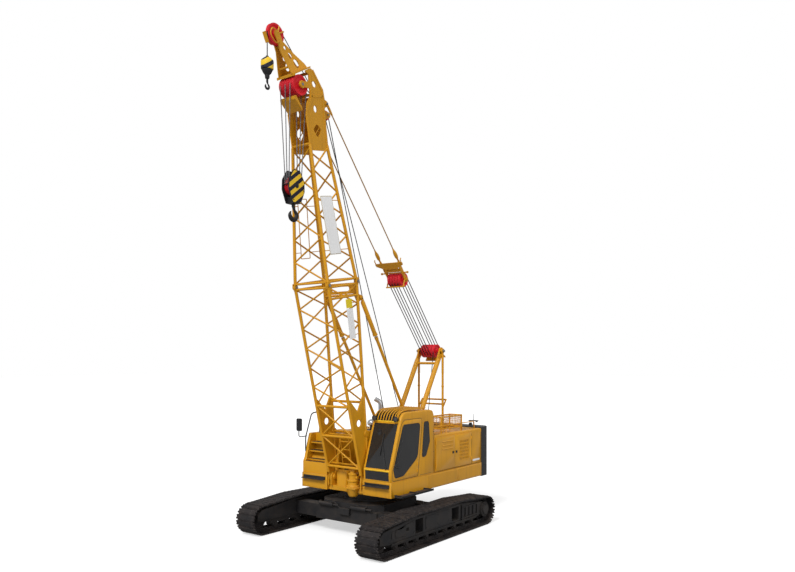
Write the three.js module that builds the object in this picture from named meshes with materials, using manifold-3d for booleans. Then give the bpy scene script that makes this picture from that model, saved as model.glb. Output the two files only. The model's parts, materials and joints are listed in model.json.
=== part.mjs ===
// Crawler crane with a lattice boom, as one assembly of separate pieces.
// Millimetres. +X points forward, +Y to the crane's left, +Z up; the slew axis is the Z axis and
// the ground is Z = 0. Pieces of the boom are drawn in the boom's own frame: +X runs up the boom
// from the foot pin, +Z points to the boom's rear face.

import Module from 'manifold-3d';
import * as THREE from 'three';
import { mergeVertices } from 'three/addons/utils/BufferGeometryUtils.js';

const wasm = await Module();
wasm.setup();

// ---------------------------------------------------------------- fits
const seat = 0.3;
const runningGap = 0.5;
const doorGap = 0.4;

const baseHalfWidth = 615;

// ---------------------------------------------------------------- crawlers and carbody
const gauge = 4500;
const crawlerLength = 6000;
const shoeWidth = 760;
const shoeCount = 48;
const shoePlate = 45;
const grooveDepth = 30;
const linkDepth = 110;
const linkWidth = 260;
const endHeight = 880;
const crownHeight = 980;
const crownHalf = 1100;
const sideFrameWidth = 420;
const sideFrameBottom = 330;
const sideFrameTop = 850;
const noseReach = crawlerLength / 2 - 330;
const wheelWidth = 190;
const rollerRadius = 100;
const rollerCount = 9;
const rollerInset = 640;
const axleX = 920;
const axleWidth = 370;
const axleBottom = 400;
const axleTop = 780;
const axleReach = gauge / 2 - 80;
const carbodyHalfLength = 1150;
const carbodyHalfWidth = 1150;
const carbodyTop = 960;
const slewRadius = 800;
const slewRingTop = 1150;

// ---------------------------------------------------------------- upper works
const deckBottom = 1270;
const deckTop = 1400;
const sillTop = 1700;
const halfWidth = 1700;
const frontX = 1185;
const deckRear = -3740;
const innerWall = baseHalfWidth + 75;
const girderPlate = 40;
const houseTop = 2830;
const houseWall = 25;
const doorPlate = 25;
const leftHouseFront = -960;
const rightHouseFront = -600;
const doorFront = -1050;
const doorSplit = -2090;
const doorRear = -3100;
const doorBottom = 1750;
const doorTop = 2750;
const weightRear = -4300;
const weightFront = -3760;
const weightBottom = 1240;
const weightSeams = [1600, 2220];
const weightTop = 2870;

// ---------------------------------------------------------------- cab
const cabRear = -947;
const cabInner = innerWall + 5;
const cabOuter = 1690;
const cabWall = 50;
const cabTop = 3620;
const glassThickness = 10;
const screenBottom = [1200, 2020];
const screenTop = [750, 3345];
const cabDoorRear = -100;

// ---------------------------------------------------------------- winches and gantry
const drumHalf = 330;
const mainDrum = { x: -750, z: 2050, core: 230, flange: 360 };
const auxDrum = { x: -1950, z: 2050, core: 230, flange: 360 };
const luffDrum = { x: -2950, z: 1900, core: 190, flange: 290 };
const shaftRadius = 50;
const gantryHead = [-3263, 5381];
const gantryFoot = [-1220, 1950];
const legY = 420;
const legRadius = 70;
const rearLegRadius = 38;
const gantrySheave = 220;

// ---------------------------------------------------------------- boom
const foot = [1000, 1650];
const boomAngle = 80;
const footPinRadius = 60;
const footPlate = 50;
const footPlay = 5;
const chordRadius = 45;
const laceRadius = 24;
const laceSides = 4;
const chordSides = 6;
const crossRadius = 38;
const baseLength = 5670;
const topEnd = 9450;
const headEnd = 11300;
const headHalfWidth = 325;
const footHalfDepth = 150;
const midHalfDepth = 610;
const headHalfDepth = 340;
const headPlate = 30;
const headSheave = { s: 11000, d: -380, radius: 270 };
const tipSheave = { s: 12270, d: -840, radius: 280 };
const guideMain = { s: 10330, d: 700, radius: 130 };
const pendantPin = { s: 10580, d: 494 };
const backstopPin = { s: 5200, d: 690 };
const backstopFoot = [-1690, 2200];
const backstopY = baseHalfWidth + 25;

// ---------------------------------------------------------------- ropes and hooks
const ropeRadius = 14;
const blockCentreZ = 9760;
const blockSheave = 235;
const blockHalf = 135;
const blockPitch = 68;
const blockPlate = 28;
const auxTopZ = 12950;
const auxBottomZ = 12360;

// ================================================================ solids

function toSolid(geometry) {
  geometry.deleteAttribute('normal');
  geometry.deleteAttribute('uv');
  const merged = mergeVertices(geometry, 1e-3);
  const vertProperties = new Float32Array(merged.attributes.position.array);
  const triVerts = new Uint32Array(merged.index.array);
  const solid = new wasm.Manifold(new wasm.Mesh({ numProp: 3, vertProperties, triVerts }));
  if (solid.volume() > 0) {
    return solid;
  }
  return new wasm.Manifold(new wasm.Mesh({ numProp: 3, vertProperties, triVerts: triVerts.reverse() }));
}

function join(...solids) {
  return solids.flat().reduce((whole, piece) => whole.add(piece));
}

function cut(solid, ...tools) {
  return tools.flat().reduce((rest, tool) => rest.subtract(tool), solid);
}

function box(x0, x1, y0, y1, z0, z1) {
  const geometry = new THREE.BoxGeometry(x1 - x0, y1 - y0, z1 - z0);
  geometry.translate((x0 + x1) / 2, (y0 + y1) / 2, (z0 + z1) / 2);
  return toSolid(geometry);
}

// A flat outline pushed along one axis; `holes` are outlines cut out of it.
function extrude(points, depth, holes = []) {
  const shape = new THREE.Shape(points.map(([a, b]) => new THREE.Vector2(a, b)));
  for (const hole of holes) {
    shape.holes.push(new THREE.Path(hole.map(([a, b]) => new THREE.Vector2(a, b))));
  }
  return new THREE.ExtrudeGeometry(shape, { depth, bevelEnabled: false });
}

// (x, z) outline from y0 to y1.
function alongY(points, y0, y1, holes = []) {
  const geometry = extrude(points, y1 - y0, holes);
  geometry.rotateX(Math.PI / 2);
  geometry.translate(0, y1, 0);
  return toSolid(geometry);
}

// (y, z) outline from x0 to x1.
function alongX(points, x0, x1) {
  const geometry = extrude(points, x1 - x0);
  const turn = new THREE.Matrix4().makeBasis(
    new THREE.Vector3(0, 1, 0),
    new THREE.Vector3(0, 0, 1),
    new THREE.Vector3(1, 0, 0),
  );
  geometry.applyMatrix4(turn);
  geometry.translate(x0, 0, 0);
  return toSolid(geometry);
}

// (x, y) outline from z0 to z1.
function alongZ(points, z0, z1) {
  const geometry = extrude(points, z1 - z0);
  geometry.translate(0, 0, z0);
  return toSolid(geometry);
}

const boreSides = 16;

function discY(x, z, radius, y0, y1, sides = boreSides) {
  const geometry = new THREE.CylinderGeometry(radius, radius, y1 - y0, sides);
  geometry.translate(x, (y0 + y1) / 2, z);
  return toSolid(geometry);
}

function discZ(x, y, radius, z0, z1, sides = boreSides) {
  const geometry = new THREE.CylinderGeometry(radius, radius, z1 - z0, sides);
  geometry.rotateX(Math.PI / 2);
  geometry.translate(x, y, (z0 + z1) / 2);
  return toSolid(geometry);
}

// A round bar between two points.
function bar(from, to, radius, sides = 6) {
  const start = new THREE.Vector3(...from);
  const end = new THREE.Vector3(...to);
  const run = end.clone().sub(start);
  const geometry = new THREE.CylinderGeometry(radius, radius, run.length(), sides);
  const turn = new THREE.Quaternion().setFromUnitVectors(new THREE.Vector3(0, 1, 0), run.normalize());
  geometry.applyQuaternion(turn);
  geometry.translate(...start.add(end).multiplyScalar(0.5).toArray());
  return toSolid(geometry);
}

// A body of revolution about a line parallel to Y; the profile is (radius, y).
function turnedY(x, z, profile, sides = 16) {
  const points = profile.map(([radius, y]) => new THREE.Vector2(radius, y));
  const geometry = new THREE.LatheGeometry(points, sides);
  geometry.translate(x, 0, z);
  return toSolid(geometry);
}

// A body of revolution about a vertical line; the profile is (radius, z).
function turnedZ(x, y, profile, sides = 16) {
  const points = profile.map(([radius, z]) => new THREE.Vector2(radius, z));
  const geometry = new THREE.LatheGeometry(points, sides);
  geometry.rotateX(Math.PI / 2);
  geometry.translate(x, y, 0);
  return toSolid(geometry);
}

function arc(x, z, radius, from, to, steps) {
  return Array.from({ length: steps + 1 }, (_, i) => {
    const angle = THREE.MathUtils.degToRad(from + ((to - from) * i) / steps);
    return [x + radius * Math.cos(angle), z + radius * Math.sin(angle)];
  });
}

function circle(x, z, radius, steps = 20) {
  return arc(x, z, radius, 0, 360 - 360 / steps, steps - 1);
}

// The outline moved inwards by `gap`, edge by edge; for outlines that bulge outwards everywhere.
function shrink(points, gap) {
  const area = points.reduce((sum, [x, z], i) => {
    const [nextX, nextZ] = points[(i + 1) % points.length];
    return sum + x * nextZ - nextX * z;
  }, 0);
  const side = Math.sign(area);
  const edges = points.map(([x, z], i) => {
    const [nextX, nextZ] = points[(i + 1) % points.length];
    const length = Math.hypot(nextX - x, nextZ - z);
    const normal = [(-side * (nextZ - z)) / length, (side * (nextX - x)) / length];
    return { normal, reach: normal[0] * x + normal[1] * z + gap };
  });
  return points.map((_, i) => {
    const before = edges[(i + edges.length - 1) % edges.length];
    const after = edges[i];
    const det = before.normal[0] * after.normal[1] - before.normal[1] * after.normal[0];
    return [
      (before.reach * after.normal[1] - after.reach * before.normal[1]) / det,
      (before.normal[0] * after.reach - after.normal[0] * before.reach) / det,
    ];
  });
}

// The outline of a straight band in the (x, z) plane, `inside` and `outside` off its line.
function band([x0, z0], [x1, z1], inside, outside, trim = 0) {
  const length = Math.hypot(x1 - x0, z1 - z0);
  const along = [(x1 - x0) / length, (z1 - z0) / length];
  const across = [along[1], -along[0]];
  const at = (t, offset) => [
    x0 + along[0] * t + across[0] * offset,
    z0 + along[1] * t + across[1] * offset,
  ];
  return [at(trim, inside), at(trim, outside), at(length - trim, outside), at(length - trim, inside)];
}

function mirrorY(solid) {
  return solid.mirror([0, 1, 0]);
}

// ================================================================ materials

const paint = (color, roughness = 0.45, metalness = 0.1) => () =>
  new THREE.MeshStandardMaterial({ color, roughness, metalness });
const yellow = paint('#e9a21c');
const yellowDoor = paint('#eba824');
const black = paint('#1d1d1f', 0.6);
const trackBlack = paint('#232224', 0.8, 0.3);
const darkGrey = paint('#47494c', 0.6);
const red = paint('#c4352b', 0.5);
const silver = paint('#c9ccce', 0.3, 0.8);
const glass = paint('#2b3136', 0.08);
const ropeSteel = paint('#3a3632', 0.6, 0.6);
const pendantPaint = paint('#d9992a', 0.5);
const seatBlack = paint('#1a1a1c', 0.9);

// ================================================================ scene

const crane = new THREE.Group();
const boom = new THREE.Group();
boom.position.set(foot[0], 0, foot[1]);
boom.rotation.y = -THREE.MathUtils.degToRad(boomAngle);
crane.add(boom);

function place(name, solid, material, parent = crane) {
  const { vertProperties, triVerts } = solid.getMesh();
  const geometry = new THREE.BufferGeometry();
  geometry.setAttribute('position', new THREE.Float32BufferAttribute(vertProperties, 3));
  geometry.setIndex(new THREE.BufferAttribute(triVerts, 1));
  const mesh = new THREE.Mesh(geometry, material());
  mesh.name = name;
  parent.add(mesh);
}

function onBothSides(build) {
  build('left', (solid) => solid);
  build('right', mirrorY);
}

// A point of the boom's side view, as (x, z) of the machine.
function boomPoint({ s, d }) {
  const angle = THREE.MathUtils.degToRad(boomAngle);
  return [
    foot[0] + s * Math.cos(angle) - d * Math.sin(angle),
    foot[1] + s * Math.sin(angle) + d * Math.cos(angle),
  ];
}

// ================================================================ crawlers

const endRadius = endHeight / 2;
const wheelX = crawlerLength / 2 - endRadius;
const rollerPitch = (2 * (wheelX - rollerInset)) / (rollerCount - 1);
const trackY = gauge / 2;
const wheelSegments = 20;
const wheelRadius = (endRadius - linkDepth) * Math.cos(Math.PI / wheelSegments) - seat;

// The closed line round the crawler, `depth` inside the shoes' outer face, starting under the middle.
function crawlerPath(depth) {
  const path = new THREE.Path();
  const radius = endRadius - depth;
  path.moveTo(0, depth);
  path.lineTo(wheelX, depth);
  path.absarc(wheelX, endRadius, radius, -Math.PI / 2, Math.PI / 2);
  path.lineTo(crownHalf, crownHeight - depth);
  path.lineTo(-crownHalf, crownHeight - depth);
  path.lineTo(-wheelX, endHeight - depth);
  path.absarc(-wheelX, endRadius, radius, Math.PI / 2, -Math.PI / 2 + 2 * Math.PI);
  path.lineTo(0, depth);
  return path;
}

function crawlerOutline(depth) {
  const radius = endRadius - depth;
  return [
    ...arc(wheelX, endRadius, radius, -90, 90, wheelSegments / 2),
    [crownHalf, crownHeight - depth],
    [-crownHalf, crownHeight - depth],
    ...arc(-wheelX, endRadius, radius, 90, 270, wheelSegments / 2),
  ];
}

// Shoe plates with a groove between each pair, all round the crawler.
function shoeOutline() {
  const outer = crawlerPath(0);
  const groove = crawlerPath(grooveDepth);
  const fraction = 0.44;
  const points = [];
  for (let shoe = 0; shoe < shoeCount; shoe += 1) {
    const low = (shoe - fraction + shoeCount) % shoeCount;
    const high = shoe + fraction;
    for (const [path, place] of [[groove, low], [outer, low], [outer, high], [groove, high]]) {
      const point = path.getPointAt(place / shoeCount);
      points.push([point.x, point.y]);
    }
  }
  return points;
}

function crawlerBelt() {
  const plates = alongY(
    shoeOutline(),
    trackY - shoeWidth / 2,
    trackY + shoeWidth / 2,
    [crawlerOutline(shoePlate)],
  );
  const links = alongY(
    crawlerOutline(shoePlate - 5),
    trackY - linkWidth / 2,
    trackY + linkWidth / 2,
    [crawlerOutline(linkDepth)],
  );
  return join(plates, links);
}

function sideFrame() {
  const near = trackY - sideFrameWidth / 2;
  const far = trackY + sideFrameWidth / 2;
  const slope = 60;
  const outline = [
    [-noseReach + 420, sideFrameBottom],
    [noseReach - 420, sideFrameBottom],
    [noseReach, endRadius - 60],
    [noseReach, endRadius + 150],
    [noseReach - 160, endRadius + 260],
    [crownHalf + slope, sideFrameTop],
    [-crownHalf - slope, sideFrameTop],
    [-noseReach + 160, endRadius + 260],
    [-noseReach, endRadius + 150],
    [-noseReach, endRadius - 60],
  ];
  const pocket = wheelRadius + 20;
  const pockets = [-wheelX, wheelX].map((x) =>
    discY(x, endRadius, pocket, trackY - wheelWidth / 2, trackY + wheelWidth / 2));
  const sleeves = [-axleX, axleX].map((x) =>
    box(
      x - axleWidth / 2 - runningGap,
      x + axleWidth / 2 + runningGap,
      near - 10,
      far + 10,
      axleBottom - runningGap,
      axleTop + runningGap,
    ));
  const viewHole = discY(1480, 600, 60, far - 40, far + 10, 16);
  const skids = [-crownHalf + 150, crownHalf - 150].map((x) =>
    box(x - 150, x + 150, trackY - 60, trackY + 60, sideFrameTop - 5, crownHeight - linkDepth - seat));
  const finalDrive = [
    discY(-wheelX, endRadius + 20, 230, far - 5, far + 50, 16),
    discY(-wheelX, endRadius + 20, 150, far + 45, far + 85, 12),
  ];
  const rollerZ = linkDepth + rollerRadius + seat;
  const rollers = Array.from({ length: rollerCount }, (_, i) => {
    const x = (i - (rollerCount - 1) / 2) * rollerPitch;
    return discY(x, rollerZ, rollerRadius, trackY - 150, trackY + 150, 10);
  });
  const railEnd = (rollerCount / 2) * rollerPitch;
  const rails = [-190, 145].map((y) =>
    box(-railEnd, railEnd, trackY + y, trackY + y + 45, rollerZ + 50, sideFrameBottom + 5));
  const beam = alongY(outline, near, far);
  return join(cut(beam, pockets, sleeves, viewHole), skids, finalDrive, rails, rollers);
}

// A toothed wheel for the rear, seated by its hub between the side frame's cheeks.
function sprocket() {
  const teeth = 13;
  const outline = [];
  for (let tooth = 0; tooth < teeth; tooth += 1) {
    for (const [share, radius] of [[0, 0.88], [0.22, 1], [0.5, 1], [0.72, 0.88]]) {
      const angle = ((tooth + share) / teeth) * 2 * Math.PI;
      outline.push([
        -wheelX + radius * wheelRadius * Math.cos(angle),
        endRadius + radius * wheelRadius * Math.sin(angle),
      ]);
    }
  }
  return join(
    alongY(outline, trackY - 45, trackY + 45),
    discY(-wheelX, endRadius, 190, trackY - wheelWidth / 2 + seat, trackY + wheelWidth / 2 - seat),
  );
}

function idler() {
  const half = wheelWidth / 2 - seat;
  return turnedY(wheelX, endRadius, [
    [0, trackY - half],
    [120, trackY - half],
    [140, trackY - 40],
    [wheelRadius - 60, trackY - 40],
    [wheelRadius - 40, trackY - 80],
    [wheelRadius, trackY - 80],
    [wheelRadius, trackY + 80],
    [wheelRadius - 40, trackY + 80],
    [wheelRadius - 60, trackY + 40],
    [140, trackY + 40],
    [120, trackY + half],
    [0, trackY + half],
  ], wheelSegments);
}

onBothSides((side, turn) => {
  place(`track_frame_${side}`, turn(sideFrame()), black);
  place(`track_belt_${side}`, turn(crawlerBelt()), trackBlack);
  place(`sprocket_${side}`, turn(sprocket()), trackBlack);
  place(`idler_${side}`, turn(idler()), trackBlack);
});

// ================================================================ carbody

function carbody() {
  const centre = box(
    -carbodyHalfLength,
    carbodyHalfLength,
    -carbodyHalfWidth,
    carbodyHalfWidth,
    axleBottom - 20,
    axleTop,
  );
  const corner = 350;
  const tower = alongZ(
    [
      [-carbodyHalfLength + corner, -carbodyHalfWidth],
      [carbodyHalfLength - corner, -carbodyHalfWidth],
      [carbodyHalfLength, -carbodyHalfWidth + corner],
      [carbodyHalfLength, carbodyHalfWidth - corner],
      [carbodyHalfLength - corner, carbodyHalfWidth],
      [-carbodyHalfLength + corner, carbodyHalfWidth],
      [-carbodyHalfLength, carbodyHalfWidth - corner],
      [-carbodyHalfLength, -carbodyHalfWidth + corner],
    ],
    axleTop - 5,
    carbodyTop,
  );
  const axles = [-axleX, axleX].map((x) =>
    box(x - axleWidth / 2, x + axleWidth / 2, -axleReach, axleReach, axleBottom, axleTop));
  return join(centre, tower, axles);
}

function slewRing() {
  return turnedZ(0, 0, [
    [0, carbodyTop + seat],
    [slewRadius, carbodyTop + seat],
    [slewRadius, carbodyTop + 60],
    [slewRadius - 40, carbodyTop + 70],
    [slewRadius - 40, slewRingTop - 40],
    [slewRadius - 20, slewRingTop - 30],
    [slewRadius - 20, slewRingTop],
    [0, slewRingTop],
  ], 28);
}

place('carbody', carbody(), black);
place('slew_ring', slewRing(), darkGrey);

// ================================================================ upper frame

const footPlateInner = baseHalfWidth - footPlate / 2;
const footPlateOuter = baseHalfWidth + footPlate / 2;
const earInner = footPlateInner - footPlay;
const earOuter = footPlateOuter + footPlay;
const girderInner = earInner - girderPlate;

function girder() {
  const outline = [
    [-3700, deckTop - 5],
    [foot[0] + 150, deckTop - 5],
    ...arc(foot[0], foot[1], 150, 0, 120, 8),
    [620, sillTop],
    [mainDrum.x + 450, sillTop],
    [mainDrum.x + 300, mainDrum.z + 300],
    [auxDrum.x - 300, auxDrum.z + 300],
    [luffDrum.x + 260, luffDrum.z + 200],
    [luffDrum.x - 200, luffDrum.z + 200],
    [luffDrum.x - 350, sillTop],
    [-3700, sillTop],
  ];
  const plate = alongY(outline, girderInner, earInner);
  const bores = [mainDrum, auxDrum, luffDrum].map(({ x, z }) =>
    discY(x, z, (shaftRadius + runningGap) / Math.cos(Math.PI / boreSides), girderInner - 5, earInner + 5));
  const backstopEar = alongY(
    [
      [backstopFoot[0] - 160, deckTop - 5],
      [backstopFoot[0] + 160, deckTop - 5],
      ...arc(backstopFoot[0], backstopFoot[1], 65, 0, 180, 6),
    ],
    earInner - 5,
    backstopY - 22 - seat,
  );
  return join(cut(plate, bores), backstopEar);
}

function footBracket() {
  const ear = alongY(
    [
      [foot[0] - 220, deckTop - 5],
      [foot[0] + 150, deckTop - 5],
      ...arc(foot[0], foot[1], 140, 0, 180, 10),
    ],
    earOuter,
    earOuter + 35,
  );
  const pin = discY(foot[0], foot[1], footPinRadius, girderInner - 30, earOuter + 45);
  const head = discY(foot[0], foot[1], footPinRadius + 25, girderInner - 45, girderInner + 5);
  return join(ear, pin, head);
}

function frontStep() {
  const z = 1545;
  const y0 = cabInner + 60;
  const y1 = cabOuter - 60;
  const tread = box(frontX - 5, frontX + 130, y0, y1, z, z + 20);
  const upstand = box(frontX - 5, frontX + 20, y0, y1, z, z + 90);
  return join(tread, upstand);
}

function sideStep() {
  const z = 1290;
  const outer = halfWidth + 300;
  const tread = box(-480, 1090, halfWidth + 40, outer, z, z + 25);
  const rim = box(-480, 1090, outer - 15, outer, z, z + 60);
  const brackets = [-420, 300, 1000].map((x) => box(x, x + 40, halfWidth - 5, outer - 10, z, z + 60));
  return join(tread, rim, brackets);
}

// The slewing motor and gearbox, standing through a flange at the front edge of the deck.
function swingDrive() {
  const [x, y] = [frontX - 85, 250];
  const flange = box(x - 250, x + 200, y - 230, y + 230, deckTop - 5, deckTop + 30);
  const stack = turnedZ(x, y, [
    [0, deckBottom - 110],
    [110, deckBottom - 110],
    [150, deckBottom - 60],
    [190, deckTop - 5],
    [190, deckTop + 70],
    [150, deckTop + 80],
    [150, 1600],
    [170, 1610],
    [170, 1650],
    [120, 1660],
    [120, 1780],
    [135, 1790],
    [135, 1830],
    [80, 1840],
    [80, 1930],
    [0, 1930],
  ], 12);
  return join(flange, stack);
}

// The hydraulic oil tank beside the slewing motor, rounded at its front.
function deckTank() {
  return alongZ(
    [[640, -470], [960, -470], ...arc(960, -370, 100, -90, 0, 4), ...arc(960, -150, 100, 0, 90, 4), [640, -50]],
    deckTop - 5,
    1850,
  );
}

function upperFrame() {
  const deck = box(deckRear, frontX - 100, -halfWidth, halfWidth, deckBottom, deckTop);
  const turntable = discZ(0, 0, slewRadius - 20, slewRingTop + seat, deckBottom + 5, 28);
  const halves = [(solid) => solid, mirrorY].map((turn) =>
    turn(join(
      box(deckRear, frontX, innerWall, halfWidth, deckBottom, sillTop),
      girder(),
      footBracket(),
      frontStep(),
    )));
  const tie = box(deckRear, -3600, -girderInner - 5, girderInner + 5, deckTop - 5, sillTop);
  return join(deck, turntable, halves, tie, swingDrive(), deckTank(), sideStep());
}

place('upper_frame', upperFrame(), yellow);

// ================================================================ houses

const doorInner = halfWidth - doorPlate;
const houseOuter = doorInner - seat;

// A machine house with its side open where the doors hang.
function house(front) {
  const base = sillTop + seat;
  const skin = box(weightFront + seat, front, innerWall, houseOuter, base, houseTop);
  const room = box(
    weightFront + houseWall + seat,
    front - houseWall,
    innerWall + houseWall,
    houseOuter - houseWall,
    base + houseWall,
    houseTop - houseWall,
  );
  const border = 40;
  const opening = box(
    doorRear + border,
    doorFront - border,
    houseOuter - houseWall - 5,
    houseOuter + 5,
    doorBottom + border,
    doorTop - border,
  );
  const corner = 120;
  const bevel = alongX(
    [[houseOuter + 10, houseTop - corner], [houseOuter + 10, houseTop + 10], [houseOuter - corner, houseTop + 10]],
    weightFront - 10,
    front + 10,
  );
  const sealed = cut(skin, bevel);
  return cut(sealed, room, opening);
}

// One side door, hung outside the house wall with its knuckles on the outer face.
function sideDoor(edge, free, vents) {
  const low = Math.min(edge, free) + doorGap;
  const high = Math.max(edge, free) - doorGap;
  const panel = box(low, high, doorInner, halfWidth, doorBottom, doorTop);
  const inward = Math.sign(free - edge);
  const knuckles = [doorBottom + 120, doorTop - 220].map((z) =>
    discZ(edge + inward * doorGap, halfWidth + 6, 11, z, z + 100, 10));
  const latch = box(free - inward * 130, free - inward * 60, halfWidth - 5, halfWidth + 22, 2190, 2260);
  return join(cut(panel, vents), knuckles, latch);
}

function louvres() {
  return [2600, 2480, 2370].map((z) =>
    box(-1990, -1390, doorInner - 5, halfWidth + 5, z - 18, z + 18));
}

function meshVent() {
  const width = 520;
  const slats = 6;
  return Array.from({ length: slats }, (_, i) =>
    box(-2920, -2920 + width, doorInner - 5, halfWidth + 5, 1950 + i * 105, 2010 + i * 105));
}

place('left_house', house(leftHouseFront), yellow);
place('right_house', mirrorY(house(rightHouseFront)), yellow);
onBothSides((side, turn) => {
  place(`${side}_door_front`, turn(sideDoor(doorFront, doorSplit, louvres())), yellowDoor);
  place(`${side}_door_rear`, turn(sideDoor(doorRear, doorSplit, meshVent())), yellowDoor);
});

// The right front box: a tank below and access steps rising to the roof behind it.
function rightFrontBox() {
  const outline = [
    [rightHouseFront + seat, sillTop + seat],
    [1160, sillTop + seat],
    [1160, 2040],
    [1010, 2040],
    [1000, 2300],
    [940, 2310],
    [930, 2570],
    [870, 2580],
    [860, 2860],
    [rightHouseFront + seat, 2860],
  ];
  const block = mirrorY(alongY(outline, innerWall + 25, halfWidth - 10));
  const recess = mirrorY(alongY(
    [[1165, 2060], [1165, 2900], [700, 2900], [700, 2400], [900, 2060]],
    innerWall + 125,
    halfWidth - 110,
  ));
  const treads = [[2060, 2100, 1040], [2310, 2350, 980], [2560, 2600, 915]].map(([z0, z1, x]) =>
    mirrorY(box(690, x, innerWall + 120, halfWidth - 105, z0, z1)));
  const fillerHole = mirrorY(discY(1100, 1860, 45, halfWidth - 60, halfWidth, 12));
  return join(cut(block, recess, fillerHole), treads);
}

place('right_front_box', rightFrontBox(), yellow);

function rightRails() {
  const y = -halfWidth + 20;
  const radius = 16;
  const post = bar([1060, y, 2040 + seat], [1060, y, 2400], radius);
  const rail = bar([1060, y, 2390], [900, y + 60, 3500], radius);
  const top = bar([900, y + 60, 3500], [500, y + 60, 3500], radius);
  const rear = bar([500, y + 60, 3500], [500, y + 60, 2860 + seat], radius);
  const arm = bar([950, y + 30, 3000], [1270, -1750, 3050], 10, 6);
  const stay = bar([935, y + 40, 3200], [1270, -1750, 3200], 10, 6);
  const mirror = box(1258, 1283, -1850, -1650, 2940, 3320);
  return join(post, rail, top, rear, arm, stay, mirror);
}

place('right_handrail_mirror', rightRails(), black);

function engine() {
  const block = box(-2900, -1500, -1400, -850, sillTop + houseWall + 2 * seat, 2350);
  const head = box(-2700, -1700, -1280, -960, 2345, 2620);
  const fan = discZ(-2200, -1120, 260, 2600, 2680, 20);
  return join(block, head, fan);
}

place('engine', engine(), darkGrey);

// Exhaust pipe and air cleaner on one roof plate.
function exhaustAndCleaner() {
  const floor = houseTop + seat;
  const y = -innerWall - 210;
  const pipeX = -1660;
  const plate = box(-1800, -1030, y - 150, y + 150, floor, floor + 12);
  const flange = discZ(pipeX, y, 120, floor + 10, floor + 40, 12);
  const pipe = discZ(pipeX, y, 75, floor + 30, 3380, 12);
  const bend = bar([pipeX, y, 3360], [pipeX - 120, y, 3500], 74, 12);
  const cleaner = turnedZ(-1200, y, [
    [0, floor + 10],
    [60, floor + 10],
    [60, 2960],
    [130, 2980],
    [150, 3060],
    [120, 3140],
    [60, 3170],
    [0, 3172],
  ], 12);
  return join(plate, flange, pipe, bend, cleaner);
}

place('exhaust_and_air_cleaner', exhaustAndCleaner(), silver);

// Low rails and a mesh cage on the left house roof.
function roofCage() {
  const floor = houseTop + seat;
  const inner = innerWall + 310;
  const corners = [[-2900, inner], [-1700, inner], [-1700, 1450], [-2900, 1450]];
  const top = 3330;
  const posts = corners.map(([x, y]) => box(x - 15, x + 15, y - 15, y + 15, floor, top));
  const rings = [floor + 120, top - 15].map((z) =>
    corners.map(([x, y], i) => {
      const [nextX, nextY] = corners[(i + 1) % corners.length];
      return bar([x, y, z], [nextX, nextY, z], 12, 6);
    }));
  const rail = [
    bar([-3600, 1500, floor], [-3600, 1500, floor + 240], 14, 6),
    bar([-3600, 1500, floor + 230], [-1050, 1500, floor + 230], 14, 6),
    bar([-1050, 1500, floor + 230], [-1050, 1500, floor], 14, 6),
    bar([-2900, 1450, floor + 230], [-2900, 1505, floor + 230], 12, 6),
  ];
  return join(posts, ...rings, rail);
}

place('roof_cage', roofCage(), yellow);

// ================================================================ counterweight

function slab(bottom, top) {
  const corner = 180;
  return alongZ(
    [
      [weightFront - seat, -halfWidth + 5],
      [weightFront - seat, halfWidth - 5],
      [weightRear + corner, halfWidth - 5],
      [weightRear, halfWidth - corner],
      [weightRear, -halfWidth + corner],
      [weightRear + corner, -halfWidth + 5],
    ],
    bottom,
    top,
  );
}

place('counterweight_lower', slab(weightBottom, weightSeams[0]), darkGrey);
place('counterweight_middle', slab(weightSeams[0] + seat, weightSeams[1]), darkGrey);
place('counterweight_upper', slab(weightSeams[1] + seat, weightTop), darkGrey);

// ================================================================ cab

const cabFloor = sillTop + seat;
const cabProfile = [
  [cabRear, cabFloor],
  [frontX, cabFloor],
  screenBottom,
  screenTop,
  [690, 3500],
  [590, 3590],
  [480, cabTop],
  [-760, cabTop],
  [-880, 3590],
  [cabRear, 3490],
];
const lowerScreenBottom = [frontX + 1, 1735];
const lowerScreenTop = [1196, 1985];
const doorOutline = [
  [cabDoorRear, cabFloor + 40],
  [1100, cabFloor + 40],
  [1115, 2030],
  [690, 3290],
  [560, 3400],
  [-290, 3400],
  [-310, 3200],
];
const doorWindow = [
  [617, 1850],
  [994, 1830],
  [1060, 2049],
  [600, 3250],
  [-200, 3250],
  [-70, 2300],
];
const quarterWindow = [
  [-440, 3270],
  [-640, 3270],
  [-700, 2690],
  [-500, 2290],
  [-330, 2270],
];
const rearWindow = [[cabInner + 150, 2300], [cabOuter - 150, 2300], [cabOuter - 150, 3300], [cabInner + 150, 3300]];
const innerWindow = [[-650, 2250], [820, 2150], [560, 3270], [-650, 3270]];
const screenTrim = 45;
const screenInset = 80;

function cabShell() {
  const outer = alongY(cabProfile, cabInner, cabOuter);
  const room = alongY(shrink(cabProfile, cabWall), cabInner + cabWall, cabOuter - cabWall);
  const screens = [
    alongY(
      band(screenBottom, screenTop, -120, 60, screenTrim),
      cabInner + screenInset,
      cabOuter - screenInset,
    ),
    alongY(
      band(lowerScreenBottom, lowerScreenTop, -100, 60),
      cabInner + screenInset,
      cabOuter - screenInset,
    ),
  ];
  const leftCuts = [
    alongY(doorOutline, cabOuter - cabWall - 5, cabOuter + 5),
    alongY(quarterWindow, cabOuter - cabWall - 5, cabOuter + 5),
  ];
  const rightCut = alongY(innerWindow, cabInner - 5, cabInner + cabWall + 5);
  const rearCut = alongX(rearWindow, cabRear - 5, cabRear + cabWall + 5);
  return cut(outer, room, screens, leftCuts, rightCut, rearCut);
}

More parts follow.
